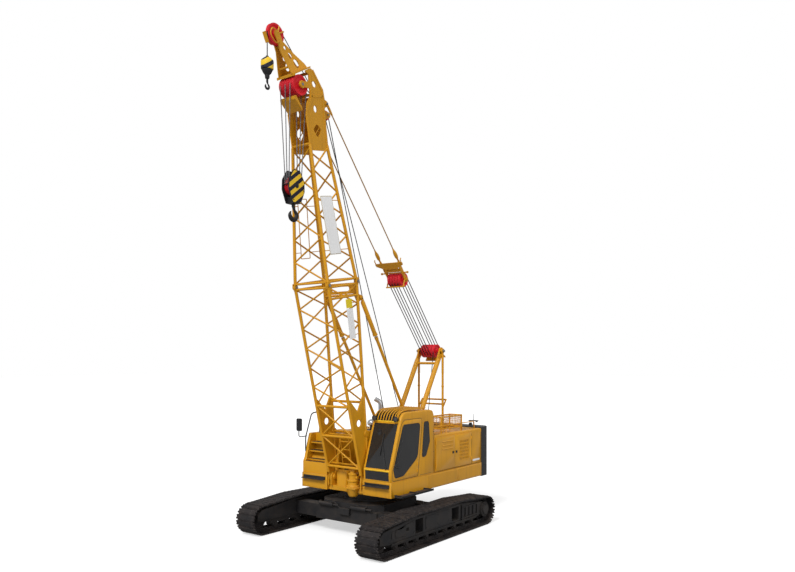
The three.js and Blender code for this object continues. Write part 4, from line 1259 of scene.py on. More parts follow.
@dataclass(frozen=True)
class Glass(Finish):
    """Dark tinted glass with a trace of dust."""

    def dress(self, tree: bpy.types.NodeTree, shader: bpy.types.Node) -> None:
        """Adds faint smears to its gloss.

        Args:
            tree: The material's node tree.
            shader: Its Principled BSDF node.
        """
        shader.inputs["Transmission Weight"].default_value = 0.35
        shader.inputs["IOR"].default_value = 1.5
        smears = noise(tree, 3.0, 5.0, (1.0, 1.0, 0.4))
        rough = shade(tree, "MapRange",
                      {"Value": smears, "To Min": 0.02, "To Max": self.roughness * 2}).outputs[0]
        tree.links.new(rough, shader.inputs["Roughness"])
        haze = shade(tree, "MapRange",
                     {"Value": smears, "From Min": 0.5, "From Max": 0.9, "To Max": 0.12}).outputs[0]
        tree.links.new(mix_colour(tree, haze, self.colour, (0.16, 0.16, 0.15)),
                       shader.inputs["Base Color"])


@dataclass(frozen=True)
class WireRope(Finish):
    """Stranded steel rope; its twist follows the rope's own UV map, in metres along.

    Attributes:
        lay: The length of one strand's step along the rope.
        strands: How many strands go round.
        metal: How metallic it is.
        gap: The colour between strands.
    """

    lay: float = 0.10
    strands: float = 6.0
    metal: float = 0.55
    gap: Colour = (0.01, 0.01, 0.01)

    def dress(self, tree: bpy.types.NodeTree, shader: bpy.types.Node) -> None:
        """Adds the strands, as colour and as bump.

        Args:
            tree: The material's node tree.
            shader: Its Principled BSDF node.
        """
        shader.inputs["Metallic"].default_value = self.metal
        turned = shade(tree, "SeparateXYZ", {0: shade(tree, "TexCoord").outputs["UV"]}).outputs
        around = maths(tree, "MULTIPLY", turned["X"], self.strands)
        along = maths(tree, "MULTIPLY", turned["Y"], 1.0 / self.lay)
        strand = maths(tree, "PINGPONG", maths(tree, "ADD", around, along), 0.5)
        crown = maths(tree, "MULTIPLY", strand, 2.0, clamp=True)
        grease = noise(tree, 5.0, 4.0)
        worn = mix_colour(tree, grease, tuple(c * 0.55 for c in self.colour), self.colour)
        tree.links.new(mix_colour(tree, crown, self.gap, worn), shader.inputs["Base Color"])
        bump = shade(tree, "Bump", {"Height": crown, "Distance": 0.004, "Strength": 1.0})
        tree.links.new(bump.outputs[0], shader.inputs["Normal"])


@dataclass(frozen=True)
class Vinyl(Finish):
    """Grained black vinyl, as on an operator's seat."""

    def dress(self, tree: bpy.types.NodeTree, shader: bpy.types.Node) -> None:
        """Adds the leather-like grain.

        Args:
            tree: The material's node tree.
            shader: Its Principled BSDF node.
        """
        cells = shade(tree, "TexVoronoi",
                      {"Vector": object_place(tree), "Scale": 220.0}).outputs["Distance"]
        bump = shade(tree, "Bump", {"Height": cells, "Distance": 0.0008, "Strength": 0.8})
        tree.links.new(bump.outputs[0], shader.inputs["Normal"])
        wear = noise(tree, 6.0, 3.0)
        tree.links.new(
            mix_colour(tree, wear, self.colour, tuple(c * 2.2 for c in self.colour)),
            shader.inputs["Base Color"]
        )


YELLOW = Paint("yellow_paint", (0.71, 0.330, 0.007), 0.38, "yellow_paint", coat=0.15)
YELLOW_DOORS = Paint("yellow_doors", (0.73, 0.340, 0.007), 0.36, "yellow_paint", coat=0.2, wear=0.2)
YELLOW_BRIGHT = Paint("yellow_bright", (0.90, 0.55, 0.03), 0.4, "yellow_paint", wear=0.2,
                      streaks=0.1)
BOOM_YELLOW = Paint("boom_yellow", (0.69, 0.320, 0.010), 0.42, "yellow_paint", dust=0.12, wear=0.0)
BLACK = Paint("black_paint", (0.018, 0.018, 0.02), 0.5, "black_paint", dust=0.2, streaks=0.05,
              bare=(0.2, 0.2, 0.2))
FRAME_BLACK = Paint(
    "frame_black", (0.016, 0.016, 0.018), 0.55, "black_paint", dust=0.55, dust_top=1.3, wear=0.4,
    bare=(0.09, 0.08, 0.07), dust_colour=(0.11, 0.085, 0.065),
)
TRACK_STEEL = Paint(
    "track_steel", (0.02, 0.019, 0.021), 0.6, "track_steel", metallic=0.35, dust=0.55, dust_top=0.8,
    wear=0.7,
    bare=(0.16, 0.14, 0.13), dust_colour=(0.10, 0.075, 0.062), ripple=0.0012, ripple_scale=40.0,
)
DARK_GREY = Paint("dark_grey_paint", (0.030, 0.030, 0.031), 0.5, "dark_grey_paint", dust=0.06,
                  dust_top=1.0, wear=0.0, streaks=0.05)
RED = Paint(
    "red_paint", (0.78, 0.012, 0.025), 0.4, "red_paint", dust=0.08, wear=0.25,
    bare=(0.32, 0.25, 0.23), streaks=0.05
)
SILVER = Paint(
    "bare_silver", (0.62, 0.63, 0.65), 0.28, "bare_silver", metallic=0.9, dust=0.2, wear=0.0,
    streaks=0.1, shadow=0.2
)
BOARD_WHITE = Paint("white_board", (0.97, 0.97, 0.97), 0.35, "yellow_paint", wear=0.05, dust=0.1,
                    streaks=0.1)
BOARD_YELLOW = Paint("yellow_board", (0.85, 0.66, 0.02), 0.35, "yellow_paint", wear=0.05, dust=0.1,
                     streaks=0.1)
HOOK_STRIPES = Stripes(
    "hook_stripes", (1.0, 0.62, 0.03), 0.4, "yellow_paint", wear=0.1, dust=0.08, streaks=0.0,
    pitch=0.205, slope=-38.0, start=0.03, share=0.52,
)
GROOVE = Paint(
    "worn_groove", (0.70, 0.020, 0.040), 0.35, "red_paint", dust=0.0, wear=0.0, streaks=0.0,
    shadow=0.1
)
BOARD_EDGE = Paint("board_edge", (0.62, 0.55, 0.42), 0.4, "yellow_paint", wear=0.0, dust=0.1,
                   streaks=0.0)
PIN_STEEL = Paint(
    "pin_steel", (0.30, 0.30, 0.31), 0.35, "bare_silver", metallic=0.8, dust=0.2, wear=0.0,
    streaks=0.0, shadow=0.3
)
DUSTY = Paint("dusty_rubber", (0.05, 0.035, 0.028), 0.85, "black_paint", dust=0.9, dust_top=2.4,
              streaks=0.0, wear=0.0,
              dust_colour=(0.13, 0.075, 0.055))
WOUND = Paint("wound_rope", (0.05, 0.048, 0.046), 0.5, "rope_steel", metallic=0.5, dust=0.1,
              wear=0.0, streaks=0.0)
RUBBER = Vinyl("rubber_seal", (0.012, 0.012, 0.013), 0.7, "black_vinyl")
VINYL = Vinyl("seat_vinyl", (0.02, 0.02, 0.022), 0.55, "black_vinyl")
GLASS = Glass("dark_glass", (0.028, 0.028, 0.029), 0.06, "dark_glass")
LENS = Glass("lamp_lens", (0.10, 0.10, 0.105), 0.1, "dark_glass")
DARK_ROPE = WireRope("dark_rope", (0.075, 0.07, 0.068), 0.5, "rope_steel")
BRIGHT_ROPE = WireRope("bright_rope", (0.42, 0.42, 0.43), 0.42, "rope_steel",
                       gap=(0.16, 0.16, 0.17))
PENDANT = WireRope("painted_rope", (0.66, 0.32, 0.03), 0.5, "pendant_paint",
                   gap=(0.36, 0.17, 0.015), metal=0.0)


# ---------------------------------------------------------------- what every sub-assembly does


def dress(obj: bpy.types.Object, finish: Finish) -> bpy.types.Object:
    """Gives an object one finish all over, and returns it."""
    obj.data.materials.clear()
    obj.data.materials.append(finish.material())
    return obj


def add(obj: bpy.types.Object, body: str, finish: Optional[Finish] = None,
        replaces: Sequence[str] = ()) -> bpy.types.Object:
    """Lets a finished piece ride on its body, and reports it.

    Args:
        obj: The piece.
        body: The body that it moves with.
        finish: Its finish, or None where its mesh already has its materials.
        replaces: The CAD nodes that it stands for.

    Returns:
        The piece.
    """
    if finish is not None:
        dress(obj, finish)
    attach(obj, body)
    if replaces:
        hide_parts(*replaces)
    LOG.info("%s rides on %s and replaces %s", obj.name, body, ", ".join(replaces) or "nothing")
    return obj


def node_shape(nodes: Nodes, node: str) -> Shape:
    """A CAD node's mesh as a shape, merged and with its flat faces whole again.

    Args:
        nodes: The frame's nodes.
        node: The CAD node to copy.

    Returns:
        The copy.
    """
    shape = Shape()
    mesh = shape.mesh
    mesh.from_mesh(nodes[node].data)
    bmesh.ops.remove_doubles(mesh, verts=mesh.verts, dist=MERGE_DISTANCE)
    bmesh.ops.dissolve_limit(
        mesh, angle_limit=2 * FLAT_ANGLE, verts=mesh.verts, edges=mesh.edges, delimit={"NORMAL"}
    )
    return shape


def node_copy(nodes: Nodes, node: str, name: str, bevel: float) -> bpy.types.Object:
    """A copy of a CAD node's solid, called name, with its edges rounded by bevel."""
    return node_shape(nodes, node).made(name, bevel)


@dataclass
class SubAssembly:
    """A part of the crane that makes its own pieces.

    Attributes:
        nodes: The frame's CAD nodes.
    """

    nodes: Nodes

    def build(self) -> None:
        """Makes every piece of the sub-assembly."""
        raise NotImplementedError


# ---------------------------------------------------------------- studio


@dataclass
class Studio:
    """The camera, the lights, the white surroundings and the floor.

    Attributes:
        eye: Where the camera stands.
        heading: The direction that it looks in, in degrees from +X; it looks level.
        lens: Its focal length, in millimetres.
        rise: How far its picture is shifted upwards, as a share of its width.
        sun: The key light's strength.
        fill: The fill light's strength.
        ambient: The strength of the light from all round.
    """

    eye: Point = (17.335, 13.946, 5.272)
    heading: float = 216.69
    lens: float = 33.19
    rise: float = 0.0858
    sun: float = 1.95
    fill: float = 0.55
    ambient: float = 0.52

    def build(self) -> None:
        """Sets up everything that isn't part of the crane."""
        self.camera()
        self.light("key_light", (0.70, 0.10, 0.70), self.sun, 18.0)
        self.light("fill_light", (0.25, 0.90, 0.45), self.fill, 50.0)
        self.world()
        self.floor()
        view = bpy.context.scene.view_settings
        view.view_transform = "Standard"

    def camera(self) -> None:
        """Stands the camera where it looks at the crane's left front corner."""
        data = bpy.data.cameras.new("camera")
        data.lens = self.lens
        data.sensor_width = 36.0
        data.shift_y = self.rise
        data.clip_end = 500.0
        camera = bpy.data.objects.new("camera", data)
        bpy.context.scene.collection.objects.link(camera)
        camera.location = self.eye
        camera.rotation_euler = (math.pi / 2, 0.0, math.radians(self.heading - 90.0))
        bpy.context.scene.camera = camera

    def light(self, name: str, towards: Point, strength: float, spread: float) -> None:
        """Adds a soft distant light.

        Args:
            name: The light's name.
            towards: The direction from the crane to the light.
            strength: How strong it is.
            spread: How wide it looks from the crane, in degrees.
        """
        data = bpy.data.lights.new(name, "SUN")
        data.energy = strength
        data.angle = math.radians(spread)
        light = bpy.data.objects.new(name, data)
        light.rotation_euler = Vector(towards).to_track_quat("Z", "Y").to_euler()
        light.location = Vector(towards) * 20
        bpy.context.scene.collection.objects.link(light)

    def clear_ray(self, tree: bpy.types.NodeTree) -> bpy.types.NodeSocket:
        """A mask of the rays that show the surroundings rather than light the crane."""
        path = shade(tree, "LightPath").outputs
        return maths(tree, "MAXIMUM", path["Is Camera Ray"], path["Is Transmission Ray"])

    def world(self) -> None:
        """Makes the surroundings white to look at and even as a light."""
        world = bpy.data.worlds.new("surroundings")
        world.use_nodes = True
        tree = world.node_tree
        tree.nodes.clear()
        strength = shade(
            tree, "MapRange", {"Value": self.clear_ray(tree), "To Min": self.ambient, "To Max": 1.0}
        ).outputs[0]
        light = shade(tree, "Background", {"Color": (1.0, 1.0, 1.0, 1.0), "Strength": strength})
        out = shade(tree, "OutputWorld")
        tree.links.new(light.outputs[0], out.inputs["Surface"])
        bpy.context.scene.world = world

    def floor(self) -> None:
        """Lays a pale floor that goes white away from the crane's shadow."""
        shape = Shape()
        shape.box((-150, -150, -0.05), (150, 150, 0.0))
        obj = shape.made("floor")
        material = bpy.data.materials.new("pale_floor")
        material.use_nodes = True
        tree = material.node_tree
        tree.nodes.clear()
        path = shade(tree, "LightPath").outputs
        matt = shade(tree, "BsdfDiffuse", {"Color": (0.62, 0.62, 0.62, 1.0)})
        glow = shade(tree, "Emission", {"Color": (1.0, 1.0, 1.0, 1.0), "Strength": 0.55})
        both = shade(tree, "AddShader", {0: matt.outputs[0], 1: glow.outputs[0]})
        plain = shade(tree, "BsdfDiffuse", {"Color": (0.42, 0.42, 0.42, 1.0)})
        mixed = shade(tree, "MixShader",
                      {0: path["Is Camera Ray"], 1: plain.outputs[0], 2: both.outputs[0]})
        out = shade(tree, "OutputMaterial")
        tree.links.new(mixed.outputs[0], out.inputs["Surface"])
        obj.data.materials.append(material)
        obj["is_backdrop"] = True


# ---------------------------------------------------------------- parts that sub-assemblies share


def rope(name: str, path: Sequence[Point], radius: float, finish: WireRope,
         sides: int = 8) -> bpy.types.Object:
    """A rope along a path, with a UV map of turns round it and metres along it.

    Args:
        name: The rope's name.
        path: The points of its middle line.
        radius: Its radius.
        finish: Its finish.
        sides: How many sides the section has.

    Returns:
        The rope, dressed.
    """
    line = [Vector(p) for p in path]
    lengths = [0.0]
    for before, after in zip(line, line[1:]):
        lengths.append(lengths[-1] + (after - before).length)
    obj = Shape().tube(line, radius, sides).made(name)
    layer = obj.data.uv_layers.new(name="lay")
    for polygon in obj.data.polygons:
        corners = list(polygon.loop_indices)
        indices = [obj.data.loops[c].vertex_index for c in corners]
        rings = [i // sides for i in indices]
        spokes = [i % sides for i in indices]
        if len(corners) != 4 or max(rings) == min(rings):
            continue
        wraps = max(spokes) - min(spokes) > 1
        for corner, ring, spoke in zip(corners, rings, spokes):
            turn = sides if wraps and spoke == 0 else spoke
            layer.data[corner].uv = (turn / sides, lengths[ring])
    return dress(obj, finish)


@dataclass(frozen=True)
class SheaveRow:
    """A row of grooved sheaves on one shaft.

    Attributes:
        radius: The sheaves' outer radius.
        count: How many there are.
        pitch: The distance between neighbours.
        reach: How far the shaft reaches to each side.
        shaft: The shaft's radius.
    """

    radius: float
    count: int
    pitch: float
    reach: float
    shaft: float = 0.040

    def built(self, name: str, centre: Point, steps: int = 64) -> bpy.types.Object:
        """Turns every sheave about one axis along y, and bares its grooves.

        Args:
            name: The row's name.
            centre: The middle of the row.
            steps: How many sides each sheave has.

        Returns:
            The row, dressed in red with bare grooves.
        """
        rim, groove, hub = self.pitch * 0.42, self.radius * 0.9, self.shaft * 1.9
        half = [
            (self.shaft, rim), (hub, rim), (hub * 1.12, rim * 0.4),
            (self.radius * 0.70, rim * 0.32),
            (self.radius * 0.78, rim * 0.75), (self.radius * 0.84, rim), (self.radius, rim),
            (self.radius, rim * 0.66), (groove + 0.008, 0.018), (groove, 0.010),
        ]
        profile = there_and_back([(r, -p) for r, p in half])
        shape = Shape()
        for i in range(self.count):
            middle = Vector(centre) + Vector((0, (i - (self.count - 1) / 2) * self.pitch, 0))
            shape.lathe(profile, middle, Axis.Y, steps, closed=True)
        tip = self.shaft * 0.85
        ends = [(0, -self.reach), (tip, -self.reach), (self.shaft, -self.reach + 0.008)]
        shape.lathe(there_and_back(ends), centre, Axis.Y, 24)
        obj = dress(shape.made(name), RED)
        obj.data.materials.append(GROOVE.material())
        middle = Vector(centre)
        for polygon in obj.data.polygons:
            away = polygon.center - middle
            out = math.hypot(away.x, away.z)
            in_groove = groove - 0.01 < out < self.radius - 0.004
            if in_groove and abs(polygon.normal.y) < 0.97 and polygon.area > 0:
                polygon.material_index = 1
        return obj




@dataclass(frozen=True)
class Drum:
    """A winch drum that turns about a shaft along y.

    Attributes:
        x: Where its shaft stands.
        z: Its shaft's height.
        core: The radius that the rope is wound on.
        flange: Its flanges' radius.
    """

    x: float
    z: float
    core: float
    flange: float


DRUMS = {
    "main": Drum(-0.75, 2.05, 0.230, 0.360),
    "aux": Drum(-1.95, 2.05, 0.230, 0.360),
    "luffing": Drum(-2.95, 1.90, 0.190, 0.290),
}


# ---------------------------------------------------------------- carried-over solids


CARRIED: dict[str, Finish] = {
    "carbody": FRAME_BLACK,
    "slew_ring": DARK_GREY,
    "engine": DARK_GREY,
}


@dataclass
class CarriedOver(SubAssembly):
    """CAD solids whose shape is right already: they only get their finish."""

    def build(self) -> None:
        """Dresses each node that no piece replaces."""
        for node, finish in CARRIED.items():
            dress(self.nodes[node], finish)
            LOG.info("%s keeps its own solid in %s", node, finish.name)


# ---------------------------------------------------------------- crawlers


@dataclass
class Crawler(SubAssembly):
    """One crawler: its belt of shoes, side frame, rollers, idler, sprocket and final drive.

    Attributes:
        side: Left or right.
        middle: How far the crawler's middle stands from the crane's.
        wheel: How far the end wheels stand from the crane's middle.
        wheel_height: The height of the end wheels' middles.
        shoes: How many shoes the belt has.
        shoe_thick: The shoes' thickness.
        half_width: Half the shoes' width.
        top: The height of the belt's top run.
        face: How far the side frame's outer face stands from the crawler's middle.
        first_roller: How far the end rollers stand inside the end wheels.
        roller_z: The height of the lower rollers' middles.
        drive_z: The height of the final drive's middle.
    """

    side: int = LEFT
    middle: float = 2.250
    wheel: float = 2.560
    wheel_height: float = 0.440
    shoes: int = 76
    shoe_thick: float = 0.045
    half_width: float = 0.380
    top: float = 0.980
    face: float = 0.210
    first_roller: float = 0.640
    roller_z: float = 0.210
    drive_z: float = 0.460

    def build(self) -> None:
        """Makes one crawler."""
        name = SIDE_NAMES[self.side]
        body = f"track_side_{name}"
        belt = joined(f"belt_{name}", self.set_round("shoes", self.shoe()),
                      self.set_round("links", self.link()))
        add(belt, body, replaces=[f"track_belt_{name}"])
        add(self.side_frame(name), body, FRAME_BLACK, [f"track_frame_{name}"])
        add(self.frame_fittings(name), body, FRAME_BLACK)
        add(self.rollers(name), body, TRACK_STEEL)
        add(self.sprocket(name), body, TRACK_STEEL, [f"sprocket_{name}"])
        add(self.idler(name), body, TRACK_STEEL, [f"idler_{name}"])

    def path(self, depth: float) -> list[Vector]:
        """The belt's line, once round, with the top run going forwards.

        Args:
            depth: How far the line lies below the shoes' outside.

        Returns:
            The points of the closed line.
        """
        radius = self.wheel_height - depth
        top = self.top - depth
        front = arc((self.wheel, self.wheel_height), radius, 86, -90, 18)
        rear = arc((-self.wheel, self.wheel_height), radius, 270, 94, 18)
        sag = [(x, top - 0.018 * math.sin(math.pi * (x + 1.1) / 2.2) ** 2)
               for x in (-1.1, -0.6, 0.0, 0.6, 1.1)]
        slope = [((-self.wheel - 1.1) / 2, top - 0.052), (-2.2, top - 0.078)]
        line = sag + [(-x, z) for x, z in slope] + front + rear + list(reversed(slope))
        y = self.side * self.middle
        return [Vector((x, y, z)) for x, z in line]

    def shoe(self) -> Shape:
        """One shoe about the origin: flat outside at the top, with stepped ends and four bolts.

        Returns:
            The shoe.
        """
        w, thick = self.half_width, self.shoe_thick
        half = [
            (-0.076, 0.30), (-0.052, 0.322), (-0.070, 0.345), (-0.058, w), (-0.024, w),
            (-0.014, w - 0.030),
            (0.014, w - 0.030), (0.024, w), (0.058, w), (0.072, 0.345), (0.054, 0.322),
            (0.074, 0.30),
        ]
        shape = Shape()
        shape.prism(there_and_back(half), 0.0, thick - 0.012, Plane.XY)
        shape.box((-0.096, -w + 0.052, -0.004), (0.096, w - 0.052, 0.008))
        pad = rectangle((-0.056, -w + 0.035), (0.040, w - 0.035), 0.02, 2)
        shape.prism(pad, thick - 0.014, thick, Plane.XY)
        for y in (-0.30, -0.17, 0.17, 0.30):
            for x in (-0.034, 0.024):
                head = [(0, -0.001), (0.012, -0.001), (0.010, 0.006), (0, 0.006)]
                shape.lathe(head, (x, y, thick), Axis.Z, 6)
        return shape

    def link(self) -> Shape:
        """One pair of links under a shoe, with its pin, about the origin.

        Returns:
            The links and their pin.
        """
        shape = Shape()
        corners = [(-0.095, -0.075), (-0.070, -0.108), (0.070, -0.108), (0.095, -0.075),
                   (0.082, -0.001), (-0.082, -0.001)]
        side = rounded(corners, [0.02, 0.02, 0.02, 0.02, 0, 0], 2)
        for y in (-0.112, 0.112):
            shape.prism(side, y - 0.018, y + 0.018)
        shape.disc((0.085, 0, -0.055), 0.024, -0.136, 0.136)
        return shape

    def set_round(self, name: str, piece: Shape) -> bpy.types.Object:
        """One piece for each shoe, set round the belt's line.

        Args:
            name: The name of the whole.
            piece: The piece, drawn about the origin with its outside up.

        Returns:
            The ring of pieces.
        """
        pattern = piece.made(f"{name}_pattern")
        line = self.path(self.shoe_thick)
        edges = [(i, (i + 1) % len(line)) for i in range(len(line))]
        belt = Trees.belt.run(
            name, line, edges, Piece=pattern, Count=self.shoes, Material=TRACK_STEEL.material()
        )
        bpy.data.objects.remove(pattern)
        return belt

    def side_frame(self, name: str) -> bpy.types.Object:
        """The box girder with its wheel pockets and rails."""
        return node_copy(self.nodes, f"track_frame_{name}", f"side_frame_{name}", 0.006)

    def frame_fittings(self, name: str) -> bpy.types.Object:
        """Cover panels, ribs, final drive ribs and bolts on the side frame's outer face.

        Args:
            name: The side's name.

        Returns:
            The fittings, dressed.
        """
        shape = Shape()
        face = self.middle + self.face
        cover = rounded([(1.15, 0.43), (2.02, 0.45), (2.02, 0.66), (1.15, 0.78)], [0.03], 4)
        shape.prism(cover, face, face + 0.012, holes=[oval((1.48, 0.60), 0.075, 0.045, 24)])
        front = rounded([(2.06, 0.45), (2.18, 0.46), (2.18, 0.64), (2.06, 0.655)], [0.02], 3)
        shape.prism(front, face, face + 0.012)
        shape.prism(rectangle((-0.62, 0.42), (0.62, 0.78), 0.03, 4), face, face + 0.010)
        for x in (-2.12, -1.90, -1.68, -1.46):
            shape.box((x - 0.012, face - 0.001, 0.40), (x + 0.012, face + 0.035, 0.72))
        shape.box((-2.14, face - 0.001, 0.70), (-1.30, face + 0.040, 0.725))
        shape.box((-2.14, face - 0.001, 0.385), (-1.20, face + 0.040, 0.410))
        shape.box((-1.27, face - 0.001, 0.36), (-1.235, face + 0.045, 0.80))
        shape.box((-2.2, face - 0.001, 0.325), (2.2, face + 0.030, 0.345))
        obj = shape.on_side(self.side).made(f"frame_covers_{name}", 0.004)
        places = [(1.20, 0.47), (1.20, 0.72), (1.97, 0.49), (1.97, 0.625), (1.58, 0.475),
                  (1.62, 0.69)]
        places += [(x, z) for x in (-0.57, 0.57, 0.0) for z in (0.47, 0.73)]
        spots = [(x, self.side * (face + 0.011), z) for x, z in places]
        turn = Facing.LEFTWARDS if self.side == LEFT else Facing.RIGHTWARDS
        bolts = pieces(f"cover_bolts_{name}", bolt(0.014, 0.014), spots, FRAME_BLACK, turn)
        ring = ring_of((-self.wheel, self.side * (self.middle + 0.262), self.drive_z), 0.195, 16)
        drive = pieces(f"drive_bolts_{name}", bolt(0.013, 0.016), ring, FRAME_BLACK, turn)
        return joined(f"frame_fittings_{name}", obj, bolts, drive)

    def rollers(self, name: str) -> bpy.types.Object:
        """The lower rollers' end caps and their brackets.

        Args:
            name: The side's name.

        Returns:
            The caps and their brackets.
        """
        shape = Shape()
        reach = self.wheel - self.first_roller
        for i in range(9):
            x = -reach + i * reach / 4
            cap = [(0, 0.150), (0.060, 0.150), (0.060, 0.172), (0.048, 0.184), (0, 0.184)]
            shape.lathe(cap, (x, self.middle, self.roller_z), Axis.Y, 24)
            shape.prism([(x - 0.075, 0.262), (x + 0.075, 0.262), (x + 0.045, 0.175),
                         (x - 0.045, 0.175)],
                        self.middle + 0.152, self.middle + 0.170)
        return shape.on_side(self.side).made(f"roller_caps_{name}", 0.003)

    def sprocket(self, name: str) -> bpy.types.Object:
        """The toothed driving wheel at the rear."""
        return node_copy(self.nodes, f"sprocket_{name}", f"driving_wheel_{name}", 0.004)

    def idler(self, name: str) -> bpy.types.Object:
        """The smooth wheel at the front, with a dished web.

        Args:
            name: The side's name.

        Returns:
            The wheel.
        """
        shape = Shape()
        radius = 0.3256
        half = [(0.10, 0.094), (0.13, 0.094), (0.14, 0.060), (0.235, 0.045), (0.255, 0.078),
                (radius - 0.01, 0.080),
                (radius, 0.070), (radius, 0.052), (radius - 0.014, 0.046)]
        profile = there_and_back([(r, -p) for r, p in half])
        centre = (self.wheel, self.middle, self.wheel_height)
        shape.lathe(profile, centre, Axis.Y, 64, closed=True)
        shape.disc(centre, 0.105, -0.0945, 0.0945)
        return shape.on_side(self.side).made(f"idler_wheel_{name}", 0.002)


class LeftCrawler(Crawler):
    """The left crawler."""


class RightCrawler(Crawler):
    """The right crawler."""

    def __init__(self, nodes: Nodes) -> None:
        """Takes the right-hand side."""
        super().__init__(nodes, side=RIGHT)


# ---------------------------------------------------------------- car body


@dataclass
class CarbodyFittings(SubAssembly):
    """The cylinders, the box and the hoses on the car body's front face, between the crawlers.

    Attributes:
        cylinder_y: How far the cylinders' middles stand from the crane's.
        cylinder_z: The height of the cylinders.
        stand_off: How far their middle lines stand off the car body's face.
    """

    cylinder_y: float = 0.62
    cylinder_z: float = 0.86
    stand_off: float = 0.062

    def build(self) -> None:
        """Makes the fittings on the car body."""
        face = max(v.co.x for v in self.nodes["carbody"].data.vertices)
        x, z = face + self.stand_off, self.cylinder_z
        shape = Shape()
        for y in (-self.cylinder_y, self.cylinder_y):
            shape.tube([(x, y - 0.34, z), (x, y + 0.20, z)], 0.058, 24)
            shape.tube([(x, y + 0.20, z), (x, y + 0.40, z)], 0.030, 16)
            for reach in (-0.34, 0.18):
                shape.box((face - 0.01, y + reach - 0.02, 0.80),
                          (face + 0.05, y + reach + 0.02, 0.93))
        shape.prism(rectangle((-0.20, 0.62), (0.20, 0.80), 0.02, 3), face - 0.01, face + 0.09,
                    Plane.YZ)
        path = [(face + 0.05, -0.16, 0.78), (face + 0.10, -0.34, 0.96), (face + 0.06, -0.56, 0.93)]
        hose = bend_path(path, 0.10, 6)
        shape.tube(hose, 0.014, 10)
        shape.tube([(p.x, -p.y, p.z) for p in hose], 0.014, 10)
        add(shape.made("carbody_fittings", 0.004), "carbody", FRAME_BLACK)


# ---------------------------------------------------------------- boom


